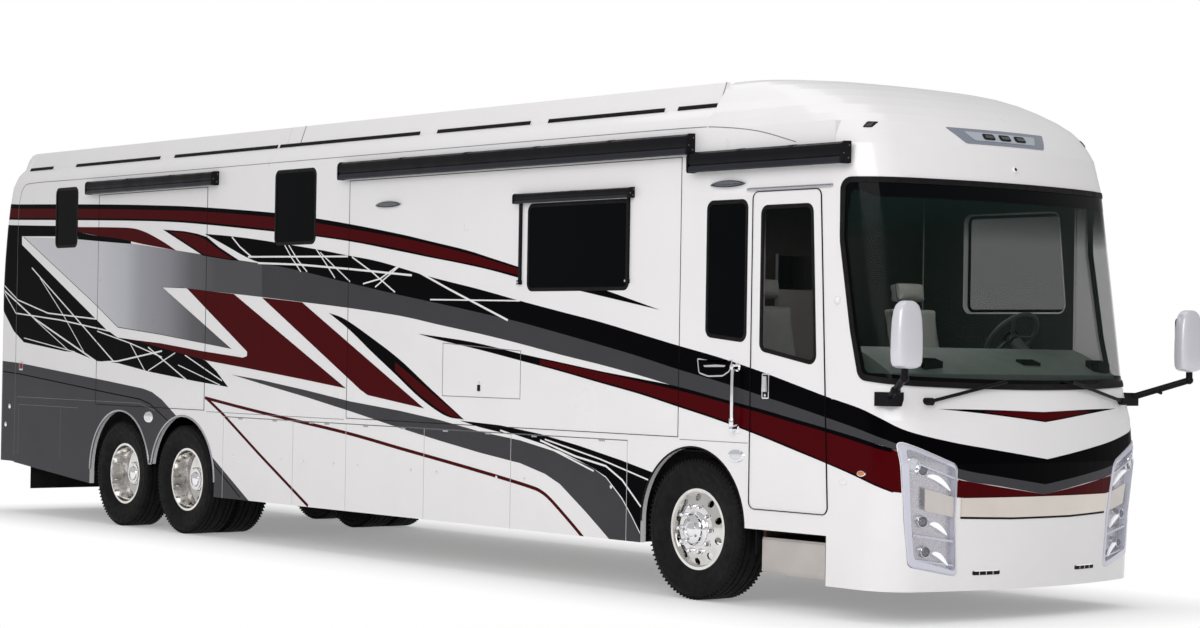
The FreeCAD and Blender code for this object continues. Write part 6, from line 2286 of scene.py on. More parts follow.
class EntrySide:
    """The entry door's hardware, the grab rail, the badge plate and the step."""

    face = -HALF_WIDTH

    def door(self) -> None:
        """The paddle latch, the door's seal and its inner panel."""
        shape, y = Shape(), self.face
        x0, x1, z0, z1 = 5.218, 5.292, 1.485, 1.665
        back = rounded(box_loop((x0, z0), (x1, z1)), 0.014)
        shape.prism(back, "Y", y, y - 0.010, CHROME, 0.003)
        shape.prism(offset(back, -0.010), "Y", y - 0.008, y - 0.0115, SATIN, 0.0008)
        paddle = [(x0 + 0.014, z0 + 0.05), (x1 - 0.014, z0 + 0.05), (x1 - 0.018, z1 - 0.02),
                  (x0 + 0.018, z1 - 0.02)]
        shape.prism(paddle, "Y", y - 0.010, y - 0.026, CHROME, 0.004)
        shape.lathe([(0.010, 0.0), (0.010, 0.003), (0.006, 0.004), (0.0, 0.004)],
                    (5.255, y - 0.0105, z0 + 0.026), (0, -1, 0), CHROME, 20)
        shape.piece("entry_door_latch", "entry_door", "polished_rim")
        trim = Shape()
        outline = outline_of("entry_door", self.face)
        trim.frame(outline, 0.0, 0.0048, "Y", y + 0.030, y + 0.0012, SEAL)
        hole = offset(outline_of("entry_door_window", -PANE_FACE), 0.012)
        # The door's inner panel is dark, partly painted shade of the cab's inside.
        plate(trim, [offset(outline, -0.03), hole], upright, -1.2428, -1.2388, LINER_WITH_PAINTED_SHADE, 0.3)
        trim.piece("entry_door_lining", "entry_door", "cab_plastic")

    def rail(self) -> None:
        """The chrome grab rail on its two posts."""
        shape, x, y = Shape(), 4.953, self.face
        path = [(x, y - 0.048, 1.275), (x, y - 0.050, 1.40), (x, y - 0.050, 1.60), (x, y - 0.048, 1.70)]
        shape.tube(path, 0.0145, CHROME, 16)
        for z in (1.262, 1.705):
            shape.lathe([(0.032, -0.001), (0.032, 0.006), (0.020, 0.013), (0.017, 0.034), (0.021, 0.05),
                         (0.020, 0.062), (0.010, 0.068), (0.0, 0.068)], (x, y, z), (0, -1, 0), CHROME, 28)
        shape.lathe([(0.019, -0.03), (0.022, -0.022), (0.022, 0.022), (0.019, 0.03)], (x, y - 0.049, 1.31),
                    (0, 0, 1), CHROME, 20)
        shape.piece("grab_rail", "coach", "polished_rim")

    def badge(self) -> None:
        """A bare bright-edged shield beside the door."""
        shape, y = Shape(), self.face
        shield = rounded([(4.515, 1.765), (4.535, 1.652), (4.64, 1.628), (4.80, 1.634), (4.875, 1.672),
                          (4.905, 1.76), (4.80, 1.742), (4.66, 1.748)], 0.02)
        shape.prism(shield, "Y", y, y - 0.006, CHROME, 0.002)
        shape.prism(offset(shield, -0.011), "Y", y - 0.005, y - 0.0072, BLACK, 0.0006)
        bar = rounded([(4.59, 1.712), (4.60, 1.700), (4.82, 1.704), (4.83, 1.716), (4.72, 1.719)], 0.005)
        shape.prism(bar, "Y", y - 0.0065, y - 0.009, CHROME, 0.0006)
        shape.piece("badge_shield", "coach", "polished_rim")

    def drip(self) -> None:
        """The drip rail over the door."""
        shape, y = Shape(), self.face
        section = [(y, 2.968), (y - 0.018, 2.962), (y - 0.022, 2.972), (y - 0.016, 2.979), (y, 2.984)]
        shape.prism(section, "X", 5.04, 5.90, LIP, 0.001)
        shape.piece("door_drip_rail", "coach", "coach_white")

    def step(self) -> None:
        """The step's facia, its floor plate and the strips of its tread."""
        shape = Shape()
        shape.box((5.145, -1.196, 0.262), (5.785, -1.184, 0.486), STEP_GREY, 0.004)
        shape.box((5.15, -1.19, 0.2475), (5.78, -0.81, 0.2615), STEP_GREY, 0.003)
        for k in range(5):
            y = -1.16 + 0.075 * k
            shape.box((5.16, y, 0.499), (5.77, y + 0.045, 0.5035), SEAL, 0.001)
        shape.piece("entry_step_facia", "entry_step", "bay_grey")

    def slide_awning(self) -> None:
        """The window awning on the forward slide-out, with its arms, and the access hatch's outline."""
        Cassette("slide_window_awning", Side.RIGHT, 2.325, 3.772, 2.957, 3.04, 0.062,
                 "slideout_right_front").build()
        arms, y = Shape(), self.face
        for x in (2.375, 3.71):
            arms.box((x - 0.012, y, 2.335), (x + 0.012, y - 0.020, 2.965), SATIN, 0.003)
            arms.box((x - 0.018, y, 2.318), (x + 0.018, y - 0.030, 2.352), SATIN, 0.004)
            arms.lathe([(0.008, 0.0), (0.008, 0.006), (0.0, 0.0075)], (x, y - 0.030, 2.335), (0, -1, 0),
                       CHROME, 16)
        hatch = ((1.335, 1.412), (2.391, 1.412), (2.391, 1.792), (1.335, 1.846))
        arms.frame(hatch, 0.003, 0.003, "Y", y + 0.0005, y - 0.0012, SEAM)
        arms.box((1.828, y, 1.462), (1.858, y - 0.009, 1.512), SATIN, 0.003)
        arms.lathe([(0.011, 0.0), (0.011, 0.004), (0.0, 0.005)], (1.843, y, 1.53), (0, -1, 0), CHROME, 16)
        arms.piece("slide_window_arms", "slideout_right_front", "satin_black")

    def build(self) -> None:
        """Makes the entry side's hardware."""
        self.door()
        self.rail()
        self.badge()
        self.drip()
        self.step()
        self.slide_awning()


class Sides:
    """Both flanks with their awnings, windows and slide-out seals."""

    cassettes = (Cassette("awning_long_right", Side.RIGHT, -0.1675, 4.4525, 3.245, 3.405),
                 Cassette("awning_rear_right", Side.RIGHT, -4.7675, -2.2925, 3.285, 3.42),
                 Cassette("awning_door", Side.RIGHT, 4.4625, 6.0725, 3.11, 3.268, 0.095),
                 Cassette("awning_long_left", Side.LEFT, -4.7675, 3.8925, 3.245, 3.405))
    windows = (WindowTrim("side_windows", "coach", Side.RIGHT),
               WindowTrim("side_windows", "coach", Side.LEFT),
               WindowTrim("slideout_right_front_windows", "slideout_right_front", Side.RIGHT),
               WindowTrim("slideout_left_windows", "slideout_left", Side.LEFT, (0.5,)),
               WindowTrim("entry_door_window", "entry_door", Side.RIGHT))
    slides = (("slideout_right_front", Side.RIGHT), ("slideout_right_rear", Side.RIGHT),
              ("slideout_left", Side.LEFT))

    def build(self) -> None:
        """Makes both sides."""
        for number, cassette in enumerate(self.cassettes):
            cassette.build(["awning_cassettes"] if number == 0 else [])
        for window in self.windows:
            window.build()
        for node, side in self.slides:
            edge, s = Shape(), side.value
            edge.frame(outline_of(node, s * HALF_WIDTH), 0.0, 0.0038, "Y", s * 1.268, s * 1.2818, SEAL)
            edge.piece(f"{node}_seal", node, "rubber_black")
        for side in Side:
            Flank(side).build()
        EntrySide().build()


# ---------------------------------------------------------------- cab

@dataclass
class Pad:
    """A stuffed pad, swelled by a cloth simulation from a slightly smaller block."""

    name: str
    outline: Tuple[Flat, ...]
    low: float
    high: float
    fill: float
    shrink: float = 0.012
    most: float = 0.024
    voxel: float = 0.012

    def block(self) -> bpy.types.Object:
        """The unswollen block with rounded edges.

        Returns:
            The block.
        """
        shape = Shape()
        shape.prism(offset(rounded(self.outline, 0.03, 3), -self.shrink), "Y", self.low + self.shrink,
                    self.high - self.shrink, HIDE, 0.02)
        data = bpy.data.meshes.new(self.name + "_block")
        shape.mesh.to_mesh(data)
        shape.mesh.free()
        data.materials.append(HIDE.material())
        block = bpy.data.objects.new(self.name + "_block", data)
        bpy.context.scene.collection.objects.link(block)
        return block

    @staticmethod
    def baked(source: bpy.types.Object) -> bpy.types.Mesh:
        """The object's mesh with its modifiers applied."""
        graph = bpy.context.evaluated_depsgraph_get()
        return bpy.data.meshes.new_from_object(source.evaluated_get(graph), depsgraph=graph)

    def swell(self, block: bpy.types.Object) -> None:
        """Blows the block up as cloth, no point moving further than most.

        Args:
            block: the block to swell.
        """
        scene = bpy.context.scene
        rest = [v.co.copy() for v in block.data.vertices]
        cloth = block.modifiers.new("cloth", "CLOTH")
        settings = cloth.settings
        settings.quality, settings.mass = 4, 0.3
        settings.tension_stiffness = settings.compression_stiffness = 12.0
        settings.shear_stiffness, settings.bending_stiffness = 6.0, 0.6
        settings.use_pressure, settings.uniform_pressure_force = True, 4.0
        settings.effector_weights.gravity = 0.0
        cloth.collision_settings.use_collision = False
        cloth.point_cache.frame_start, cloth.point_cache.frame_end = 1, 20
        for frame in range(1, 21):
            scene.frame_set(frame)
        swollen = self.baked(block)
        block.modifiers.remove(cloth)
        for vertex, start, end in zip(block.data.vertices, rest, swollen.vertices):
            move = end.co - start
            vertex.co = start + move * min(1.0, self.most / max(1e-9, move.length))
        bpy.data.meshes.remove(swollen)
        scene.frame_set(1)

    def build(self) -> bpy.types.Object:
        """Makes the pad.

        Returns:
            The finished pad.
        """
        block = self.block()
        remesh = block.modifiers.new("remesh", "REMESH")
        remesh.mode, remesh.voxel_size, remesh.use_smooth_shade = "VOXEL", self.voxel, True
        data = self.baked(block)
        block.modifiers.remove(remesh)
        block.data = data
        self.swell(block)
        smooth = block.modifiers.new("smooth", "SUBSURF")
        smooth.levels = smooth.render_levels = 1
        data = self.baked(block)
        bpy.data.objects.remove(block)
        data.name = self.name
        if not data.materials:
            data.materials.append(HIDE.material())
        pad = bpy.data.objects.new(self.name, data)
        settle(pad, "coach")
        return pad


@dataclass
class CabSeat:
    """A cab seat: pedestal, cushion, back, head pad and piping."""

    side: Side
    x: float
    floor: float = 1.185

    def profile(self, points: Sequence[Flat]) -> Tuple[Flat, ...]:
        """Points given from the seat's own origin."""
        return tuple((self.x + a, self.floor + b) for a, b in points)

    def span(self, near: float, far: float) -> Flat:
        """The pad's two ends in Y, lower first."""
        return tuple(sorted((self.side.value * near, self.side.value * far)))

    def piping(self, pad: bpy.types.Object, centre: Solid, across: Vector, up: Vector, name: str) -> None:
        """A cord sewn round the pad where its sides are widest.

        Args:
            pad: the finished pad.
            centre: the pad's middle.
            across: one direction in the plane of the cord.
            up: the other direction in that plane.
            name: the piece's name.
        """
        tree = BVHTree.FromPolygons([v.co for v in pad.data.vertices],
                                    [list(p.vertices) for p in pad.data.polygons])
        path, middle = [], Vector(centre)
        for a in around(72):
            out = (across * math.cos(a) + up * math.sin(a)).normalized()
            hit = tree.ray_cast(middle + out * 1.5, -out, 2.0)
            if hit[0] is not None:
                path.append(tuple(hit[0] + out * 0.0005))
        cord = Shape()
        cord.tube(path, 0.0042, PIPING, 8, closed=True)
        cord.piece(name, "coach", "seat_leather")

    def build(self, replaces: Sequence[str] = ()) -> None:
        """Makes the seat.

        Args:
            replaces: the CAD nodes it stands for.
        """
        s, word = self.side.value, self.side.word
        base = Shape()
        column = ((-0.17, 0.0), (0.12, 0.0), (0.12, 0.29), (-0.17, 0.29))
        pan = ((-0.27, 0.285), (0.25, 0.325), (0.25, 0.36), (-0.27, 0.36))
        for corners, ends, bevel in ((column, (0.43, 0.85), 0.01), (pan, (0.38, 0.90), 0.008)):
            base.prism(rounded(self.profile(corners), 0.02), "Y", *self.span(*ends), CAB_PLASTIC, bevel)
        for x in (-0.12, 0.07):
            base.box((self.x + x, s * 0.415, self.floor + 0.05),
                     (self.x + x + 0.05, s * 0.43, self.floor + 0.2), SATIN, 0.004)
        for y in (0.45, 0.83):
            base.tube([(self.x - 0.315, s * y, self.floor + 0.42),
                       (self.x - 0.395, s * y, self.floor + 0.9)], 0.012, SATIN, 10)
        base.piece(f"seat_{word}_pedestal", "coach", "cab_plastic", replaces)
        lean = Vector((-0.13, 0, 0.6)).normalized()
        parts = (("cushion", ((-0.27, 0.35), (0.265, 0.358), (0.265, 0.498), (-0.17, 0.492)), (0.37, 0.91),
                  0.7, 0.024, (0.0, 0.455), Vector((1, 0, 0))),
                 ("back", ((-0.292, 0.40), (-0.165, 0.515), (-0.276, 1.01), (-0.408, 1.00)), (0.385, 0.895),
                  0.65, 0.024, (-0.265, 0.74), lean),
                 ("head", ((-0.41, 1.018), (-0.283, 1.028), (-0.306, 1.185), (-0.428, 1.172)), (0.49, 0.79),
                  0.6, 0.016, (-0.336, 1.10), lean))
        pads = [Pad(f"seat_{word}_{part}", self.profile(corners), *self.span(*ends), fill,
                    most=most).build() for part, corners, ends, fill, most, _, _ in parts]
        for pad, (*_, (x, z), across) in zip(pads, parts):
            self.piping(pad, (self.x + x, s * 0.64, self.floor + z), across, Vector((0, 1, 0)),
                        f"{pad.name}_piping")


class Cab:
    """The seats, the linings, the partition, the dash and the steering wheel's trim."""

    def lining(self) -> None:
        """Dark lining on the walls round the windows and on the ceiling, its darkness partly painted shade
        of the cab's inside, with three lamps in it.
        """
        shape = Shape()
        for side in Side:
            s = side.value
            rear = 5.07 if side is Side.RIGHT else 5.90
            wall = [(4.36, 1.20), (rear, 1.20), (rear, 3.055), (4.36, 3.055)]
            holes = [offset(loop, 0.012) for loop in flat_loops("side_windows", 1, s * PANE_FACE)
                     if 4.4 < loop[0][0] < rear and abs(area(loop)) > 0.1]
            plate(shape, [wall, *holes], upright, s * 1.2325, s * 1.2285, LINER_WITH_PAINTED_SHADE, 0.4)
        ceiling = [(4.36, -1.21), (5.88, -1.21), (6.0, -1.15), (6.1, -1.05), (6.18, -0.85), (6.25, -0.5),
                   (6.28, 0.0), (6.25, 0.5), (6.18, 0.85), (6.1, 1.05), (6.0, 1.15), (5.88, 1.21),
                   (4.36, 1.21)]
        shape.prism(ceiling, "Z", 3.05, 3.062, LINER_WITH_PAINTED_SHADE, 0.002)
        for y in (-0.62, 0.0, 0.62):
            shape.lathe([(0.06, 0.0), (0.06, -0.006), (0.045, -0.010), (0.0, -0.010)], (5.3, y, 3.05),
                        (0, 0, 1), CLEAR, 24)
        shape.piece("cab_lining", "coach", "cab_plastic")

    def partition(self) -> None:
        """Walnut cupboards and a doorway behind the seats."""
        shape = Shape()
        for a, b in ((-1.225, -0.36), (0.36, 1.225)):
            shape.box((4.335, a, 1.188), (4.35, b, 3.05), CABINET, 0.003)
        shape.box((4.335, -0.36, 2.55), (4.35, 0.36, 3.05), CABINET, 0.003)
        for y in (-0.36, 0.36):
            shape.box((4.325, y - 0.014, 1.188), (4.356, y + 0.014, 2.56), LIP, 0.003)
        shape.box((4.1, -0.36, 1.6), (4.11, 0.36, 2.3), STEP_GREY, 0.003)
        shape.piece("cab_partition", "coach", "floor_wood")

    def dash(self) -> None:
        """The centre screen and two vents on the dash's slope."""
        shape, middle, foot = Shape(), 1.54, 4.452
        for y, wide, half, face in ((0.0, 0.15, 0.035, DARK_GLASS), (-0.55, 0.12, 0.0196, SEAL),
                                    (-1.0, 0.09, 0.0196, SEAL)):
            for share, lift, finish in ((1.0, 0.004, SATIN), (0.86, 0.006, face)):
                low, high, reach = middle - half * share, middle + half * share, wide * share
                shape.rings([[(foot + z - lift + back, y + across * reach, z + lift + back)
                              for z, across in ((low, -1), (low, 1), (high, 1), (high, -1))]
                             for back in (0.003, 0.0)], finish)
        shape.piece("dash_trim", "coach", "cab_plastic")

    def pad(self) -> None:
        """The crowned dash cover and its air slots, back from the foot of the screen."""
        shape, skin, rings = Shape(), Skin("windshield", "front_cap"), []
        for k in range(33):
            y = 1.16 * (k / 16 - 1)
            foot = skin.on(skin.unroll(abs(y), 1.70), 1.70, Side.RIGHT).x - 0.06
            rear = 5.975 - 0.05 * (y / 1.16) ** 2
            ring = [(rear, y, 1.60), (rear - 0.012, y, 1.80), (rear - 0.004, y, 1.842)]
            for t in (0.03, 0.08, 0.16, 0.28, 0.42, 0.58, 0.74, 0.88, 1.0):
                ring.append((rear + (foot - rear) * t, y,
                             1.872 - 0.185 * t ** 1.4 - 0.012 * max(0.0, 0.08 - t) / 0.05))
            rings.append(ring + [(foot, y, 1.60)])
        shape.rings(rings, DASH_COVER)
        for y in (-0.8, 0.2, 0.95):
            for k in range(4):
                x = 6.34 + 0.022 * k
                shape.box((x, y - 0.09, 1.70), (x + 0.006, y + 0.09, 1.794 - 0.007 * k), SEAL, 0.001)
        shape.piece("dash_cover", "coach", "cab_plastic")

    def wheel(self) -> None:
        """The horn pad, riding the steering wheel."""
        shape = Shape()
        hub, axis = Vector((5.822, 0.64, 1.95)), Vector((-0.74, 0.0, 0.672)).normalized()
        shape.lathe([(0.062, 0.005), (0.066, 0.02), (0.05, 0.034), (0.0, 0.037)], hub, axis, SATIN, 28)
        shape.lathe([(0.022, 0.034), (0.022, 0.0385), (0.0, 0.039)], hub, axis, CHROME, 20)
        shape.piece("steering_wheel_pad", "steering_wheel", "cab_plastic")

    def build(self) -> None:
        """Makes the cab's inside."""
        CabSeat(Side.LEFT, 5.1125).build(["cab_seats"])
        CabSeat(Side.RIGHT, 4.8475).build()
        self.lining()
        self.partition()
        self.dash()
        self.pad()
        self.wheel()


# ---------------------------------------------------------------- roof and tail

class Roof:
    """The side fairings' slots, drawn as black strips of painted shadow, and their joints, the air
    conditioners' grilles, and the roof vents.
    """

    gaps: Tuple[Flat, ...] = ((-6.36, -5.86), (-5.34, -3.62), (-3.33, -1.47), (-1.42, 0.78), (1.04, 2.31),
                              (2.55, 3.96), (4.12, 4.55))
    coolers_x: Tuple[float, ...] = (-4.5075, -0.7075, 2.993)
    cooler_top: float = 3.78
    cooler_half: float = 0.34

    def fairings(self) -> None:
        """Black strips of painted shadow in the slot under each fairing, and its joints."""
        shape = Shape()
        for s in (-1, 1):
            for a, b in self.gaps:
                # Each black strip stands for the shadow in the slot under the fairing: painted shadow.
                shape.prism([(s * 1.1600, 3.602), (s * 1.1735, 3.594), (s * 1.1745, 3.603),
                             (s * 1.1625, 3.630), (s * 1.1560, 3.630)], "X", a, b, SEAL, 0.0008)
            for x in (-1.09, 4.585):
                shape.prism([(s * 1.1655, 3.604), (s * 1.1675, 3.606), (s * 1.1025, 3.7865),
                             (s * 1.0985, 3.7865)], "X", x - 0.0035, x + 0.0035, SEAM)
        shape.piece("fairing_slots", "coach", "rubber_black")

    def coolers(self) -> None:
        """Top slats and side slats on the rooftop air conditioners."""
        shape = Shape()
        for middle in self.coolers_x:
            for k in range(9):
                x = middle - 0.16 + 0.04 * k
                shape.box((x - 0.010, -0.17, self.cooler_top - 0.004),
                          (x + 0.010, 0.17, self.cooler_top + 0.0035), SEAL, 0.001)
            for y in (-self.cooler_half, self.cooler_half):
                for z in (3.69, 3.71, 3.73):
                    shape.box((middle - 0.22, y - 0.004, z - 0.005), (middle + 0.22, y + 0.004, z + 0.005),
                              SEAL, 0.001)
        shape.piece("air_conditioner_grilles", "coach", "rubber_black")

    def vents(self) -> None:
        """Three lidded vents and the roof's weld lines."""
        shape, tree = Shape(), Skin("roof").tree
        for x, y in ((-3.2, 0.0), (1.9, -0.55), (-1.6, 0.55)):
            z = tree.ray_cast(Vector((x, y, 4.5)), DOWN, 2.0)[0].z
            shape.box((x - 0.20, y - 0.20, z - 0.02), (x + 0.20, y + 0.20, z + 0.025), WHITE, 0.008)
            shape.box((x - 0.18, y - 0.18, z + 0.02), (x + 0.18, y + 0.18, z + 0.075), SMOKE, 0.02)
        for x in (-5.6, -4.3, -2.2, -0.5, 0.9, 3.0, 4.2):
            path = [(x, y, tree.ray_cast(Vector((x, y, 4.5)), DOWN, 2.0)[0].z + 0.0008)
                    for y in (-0.84 + 0.12 * k for k in range(15))]
            shape.tube(path, 0.006, WHITE, 8)
        shape.piece("roof_vents", "coach", "coach_white")

    def build(self) -> None:
        """Makes the roof's fittings."""
        self.fairings()
        self.coolers()
        self.vents()


class Tail:
    """The back: the engine door's grille and latches, tail lamps, markers, camera and plate recess."""

    face = -6.8125

    def engine_door(self) -> None:
        """A louvred grille, its surround, two latches and a bare plate recess."""
        x = self.face
        slat = Shape()
        slat.prism([(-0.006, -0.016), (-0.019, -0.021), (-0.021, -0.017), (-0.004, 0.012), (0.002, 0.012),
                    (0.002, -0.016)], "Y", -0.60, 0.60, SATIN, 0.0008)
        Repeat.lay(slat, "engine_grille_slats", "engine_door", "satin_black", 11, (x, 0.0, 0.805), SATIN,
                   step=(0, 0, 0.042))
        shape = Shape()
        edge = rounded(box_loop((-0.63, 0.765), (0.63, 1.262)), 0.03)
        shape.frame(edge, 0.028, 0.006, "X", x + 0.002, x - 0.016, LIP)
        for y in (-0.3, 0.0, 0.3):
            shape.box((x - 0.012, y - 0.005, 0.78), (x + 0.001, y + 0.005, 1.25), SATIN, 0.001)
        for y in (-0.69, 0.69):
            shape.box((x + 0.001, y - 0.028, 1.66), (x - 0.007, y + 0.028, 1.74), SATIN, 0.003)
            shape.box((x - 0.006, y - 0.016, 1.672), (x - 0.015, y + 0.016, 1.72), CHROME, 0.003)
        shape.frame(rounded(box_loop((-0.175, 1.40), (0.175, 1.60)), 0.02), 0.012, 0.004, "X", x + 0.001,
                    x - 0.007, SATIN)
        for y in (-0.12, 0.12):
            shape.lathe([(0.006, -0.001), (0.006, 0.003), (0.0, 0.004)], (x, y, 1.565), (-1, 0, 0), ALLOY,
                        12)
        shape.box((x + 0.001, -0.05, 1.63), (x - 0.012, 0.05, 1.65), CHROME, 0.003)
        shape.piece("engine_door_fittings", "engine_door", "satin_black")

    def lamps(self) -> None:
        """Bezels and cells on the tail lamps, and the markers and camera high on the tail."""
        shape, out = Shape(), (-1, 0, 0)
        for s in (-1, 1):
            near, far = sorted((s * 0.979, s * 1.091))
            loop = rounded(box_loop((near, 1.174), (far, 1.956)), 0.045)
            shape.frame(loop, 0.010, 0.008, "X", self.face + 0.001, self.face - 0.020, CHROME)
            for k, finish in enumerate((RUBY, RUBY, AMBER, RUBY, CLEAR, RUBY)):
                z = 1.255 + 0.125 * k
                shape.lathe([(0.040, -0.004), (0.040, 0.003), (0.034, 0.008), (0.024, 0.006),
                             (0.022, 0.010), (0.0, 0.012)], (-6.838, s * 1.035, z), out, finish, 28)
        tail = Skin("rear_cap")
        for y in (-1.02, -0.18, 0.0, 0.18, 1.02):
            u, z = LINE.tail_middle + abs(y), 3.30
            shape.rings([[tuple(tail.on(u + a, z + b, Side.of(y), lift)) for a, b in
                          rounded(box_loop((-0.045 * k, -0.014 * k), (0.045 * k, 0.014 * k)), 0.008)]
                         for k, lift in ((1.0, -0.004), (1.0, 0.006), (0.8, 0.012))], RUBY)
        hit = tail.on(LINE.tail_middle + 0.001, 3.16, Side.RIGHT)
        shape.box((hit.x + 0.004, -0.045, 3.13), (hit.x - 0.022, 0.045, 3.19), SATIN, 0.008)
        shape.lathe([(0.016, 0.0), (0.016, 0.006), (0.010, 0.007), (0.008, 0.004), (0.0, 0.005)],
                    (hit.x - 0.021, 0.0, 3.158), out, CHROME, 24)
        shape.piece("tail_lamps", "coach", "tail_lens")

    def trim(self) -> None:
        """The moulding line across the tail, the exhaust tip and the mudflap's clamp bar."""
        shape, tail = Shape(), Skin("rear_cap")
        for side in Side:
            path = [(LINE.tail_middle + 0.002 + 0.08 * k, 2.36) for k in range(15)]
            tail.strip(shape, path, side, 0.010, 0.003, LIP)
        shape.box((-6.165, -1.16, 0.505), (-6.228, 1.16, 0.53), SATIN, 0.004)
        shape.lathe([(0.058, 0.0), (0.058, 0.20), (0.054, 0.205), (0.050, 0.20), (0.048, 0.01),
                     (0.0, 0.008)], (-6.45, 0.72, 0.44), (-0.55, 0.83, -0.08), CHROME, 32)
        shape.piece("tail_trim", "coach", "polished_rim")

    def build(self) -> None:
        """Makes the tail's fittings."""
        self.engine_door()
        self.lamps()
        self.trim()


# ---------------------------------------------------------------- the studio

class Studio:
    """A pale floor, a white surround, soft lamps and the camera."""

    radius = 90.0
    eye = (18.7005, -13.726, 1.822)
    yaw, pitch, roll = math.radians(50.919), math.radians(0.763), math.radians(0.926)
    lens, sensor, far = 77.63, 36.0, 400.0
    lamps = (("key", (13.0, -15.0, 9.0), (1.0, 0.0, 1.5), (14.0, 9.0), 1250.0, False),
             ("overhead", (0.0, 0.0, 14.0), (0.0, 0.0, 0.0), (18.0, 10.0), 420.0, False),
             ("cab", (5.4, 0.0, 3.0), (5.5, 0.0, 1.5), (1.8, 0.6), 13.0, True))

    @staticmethod
    def floor() -> None:
        """A round pale floor that keeps the shadow near the coach and clears to white further off."""
        mesh = bpy.data.meshes.new("studio_floor")
        form = bmesh.new()
        bmesh.ops.create_circle(form, cap_ends=True, radius=Studio.radius, segments=96)
        form.to_mesh(mesh)
        form.free()
        plane = bpy.data.objects.new("studio_floor", mesh)
        bpy.context.scene.collection.objects.link(plane)
        w = Wiring("studio_floor")
        w.set(Base_Color=w.blend(w.span(w.noise(0.6, 3.0), 0.0, 1.0), srgb(252, 252, 252),
                                 srgb(255, 255, 255)), Roughness=0.85)
        outside = [w.join(w.join(w.join(w.axis(a), half, "ABSOLUTE"), half, "SUBTRACT"), 0.0, "MAXIMUM")
                   for a, half in (("X", 6.5), ("Y", 1.2))]
        reach = w.join(w.join(outside[0], 2.0, "POWER"), w.join(outside[1], 2.0, "POWER"))
        glow = w.node("ShaderNodeEmission", {"Color": (1, 1, 1, 1), "Strength": 1.0}).outputs[0]
        path = w.node("ShaderNodeLightPath")
        seen = w.join(w.join(path.outputs["Is Camera Ray"], path.outputs["Is Glossy Ray"], "MAXIMUM"),
                      path.outputs["Is Transmission Ray"], "MAXIMUM")
        clear = w.span(w.join(reach, 0.5, "POWER"), 0.28, 1.0, 0.0, 1.1)
        share = w.join(seen, clear, "MULTIPLY")
        mix = w.node("ShaderNodeMixShader", {0: share, 1: w.shader.outputs[0], 2: glow})
        w.tree.links.new(mix.outputs[0], w.tree.nodes["Material Output"].inputs["Surface"])
        mesh.materials.append(w.material)

    @staticmethod
    def surround(strength: float = 0.55) -> None:
        """A world that is white to look at and lights evenly.

        Args:
            strength: how bright it is.
        """
        world = bpy.data.worlds.new("studio")
        bpy.context.scene.world = world
        world.use_nodes = True
        tree = world.node_tree
        back = tree.nodes["Background"]
        path = tree.nodes.new("ShaderNodeLightPath")
        seen = tree.nodes.new("ShaderNodeMath")
        seen.operation = "MAXIMUM"
        tree.links.new(path.outputs["Is Camera Ray"], seen.inputs[0])
        tree.links.new(path.outputs["Is Transmission Ray"], seen.inputs[1])
        scale = tree.nodes.new("ShaderNodeMapRange")
        scale.inputs[3].default_value, scale.inputs[4].default_value = strength, 1.0
        tree.links.new(seen.outputs[0], scale.inputs[0])
        tree.links.new(scale.outputs[0], back.inputs["Strength"])
        back.inputs["Color"].default_value = (1, 1, 1, 1)

    @staticmethod
    def lamp(name: str, place: Solid, aim: Solid, size: Flat, power: float, hidden: bool) -> None:
        """One soft rectangular lamp, left out of sight if hidden.

        Args:
            name: the lamp's name.
            place: where it hangs.
            aim: what it points at.
            size: its two sides.
            power: its power in watts.
            hidden: whether the camera leaves it out.
        """
        data = bpy.data.lights.new(name, "AREA")
        data.shape, data.size, data.size_y, data.energy = "RECTANGLE", size[0], size[1], power
        lamp = bpy.data.objects.new(name, data)
        lamp.location = place
        lamp.rotation_euler = (Vector(aim) - Vector(place)).to_track_quat("-Z", "Y").to_euler()
        lamp.visible_camera = not hidden
        bpy.context.scene.collection.objects.link(lamp)

    def camera(self) -> None:
        """The camera, at the front right corner and at standing height."""
        level = Vector((-math.sin(self.yaw), math.cos(self.yaw), 0.0))
        ahead = level * math.cos(self.pitch) + Vector((0.0, 0.0, math.sin(self.pitch)))
        right = Vector((math.cos(self.yaw), math.sin(self.yaw), 0.0))
        up = right.cross(ahead)
        x = right * math.cos(self.roll) + up * math.sin(self.roll)
        y = up * math.cos(self.roll) - right * math.sin(self.roll)
        data = bpy.data.cameras.new("camera")
        data.lens, data.sensor_width, data.clip_end = self.lens, self.sensor, self.far
        camera = bpy.data.objects.new("camera", data)
        turn = Matrix((x, y, -ahead)).transposed().to_4x4()
        camera.matrix_world = Matrix.Translation(self.eye) @ turn
        bpy.context.scene.collection.objects.link(camera)
        bpy.context.scene.camera = camera

    def build(self) -> None:
        """Sets the stage."""
        bpy.context.scene.view_settings.view_transform = "Standard"
        self.floor()
        self.surround()
        for setting in self.lamps:
            self.lamp(*setting)
        self.camera()


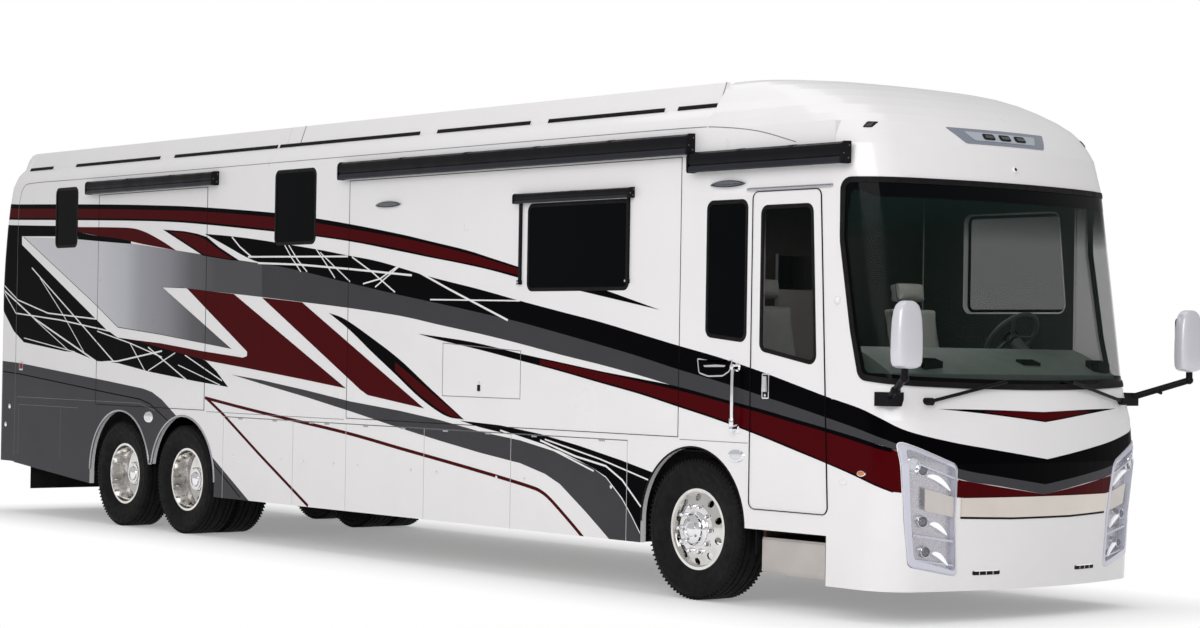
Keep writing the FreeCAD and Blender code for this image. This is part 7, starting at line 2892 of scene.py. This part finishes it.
NODE_FINISH: Dict[Finish, Tuple[str, ...]] = {
    WHITE: ("front_cap", "right_sidewall", "left_sidewall", "roof", "rear_cap", "roof_fairings",
            "entry_door", "roof_air_conditioners", "engine_door", "slideout_right_front",
            "slideout_right_rear", "slideout_left", "mirror_heads",
            *(f"right_bay_door_{i}" for i in range(1, 6)), *(f"left_bay_door_{i}" for i in range(1, 4))),
    SCREEN_GLASS: ("windshield",),
    CAB_GLASS: ("entry_door_window",),
    DARK_GLASS: ("side_windows", "slideout_right_front_windows", "slideout_left_windows"),
    CLEAR: ("headlights",),
    RUBY: ("taillights",),
    SATIN: ("awning_cassettes", "mirror_arms", "wipers"),
    FLAP: ("mudflap",),
    FRAME_BLACK: ("hitch_receiver", "chassis_frame", "axles", "front_knuckle_left", "front_knuckle_right"),
    FLOOR_WOOD: ("floor_deck",),
    BAY_GREY: ("basement_bays",),
    STEP_GREY: ("entry_step",),
    SEAL: ("wheel_liners",),
    IRON: ("engine_block",),
    CAB_PLASTIC: ("dashboard", "steering_wheel"),
    HIDE: ("cab_seats",),
    TYRE: ("front_tyre_left", "front_tyre_right", "drive_tyres_left", "drive_tyres_right", "tag_tyre_left",
           "tag_tyre_right"),
    POLISHED: ("front_rim_left", "front_rim_right", "drive_rims_left", "drive_rims_right", "tag_rim_left",
               "tag_rim_right"),
}


def dress_frame() -> None:
    """Gives every CAD node its finish."""
    for finish, names in NODE_FINISH.items():
        for name in names:
            for slot in FRAME["nodes"][name].material_slots:
                slot.material = finish.material()
    log.info("%d CAD nodes dressed", sum(len(n) for n in NODE_FINISH.values()))


def clear_default() -> None:
    """Removes the objects a new Blender file starts with."""
    for name in ("Cube", "Light", "Camera"):
        if name in bpy.data.objects:
            bpy.data.objects.remove(bpy.data.objects[name])


def main() -> None:
    """Builds the coach round the frame, piece by piece."""
    logging.basicConfig(level=logging.INFO, format="%(name)s: %(message)s", stream=sys.stdout)
    clear_default()
    FRAME.update(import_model())
    dress_frame()
    Livery().build()
    Wheels().build()
    FrontEnd().build()
    Sides().build()
    Cab().build()
    Roof().build()
    Tail().build()
    Studio().build()


if __name__ == "__main__":
    main()
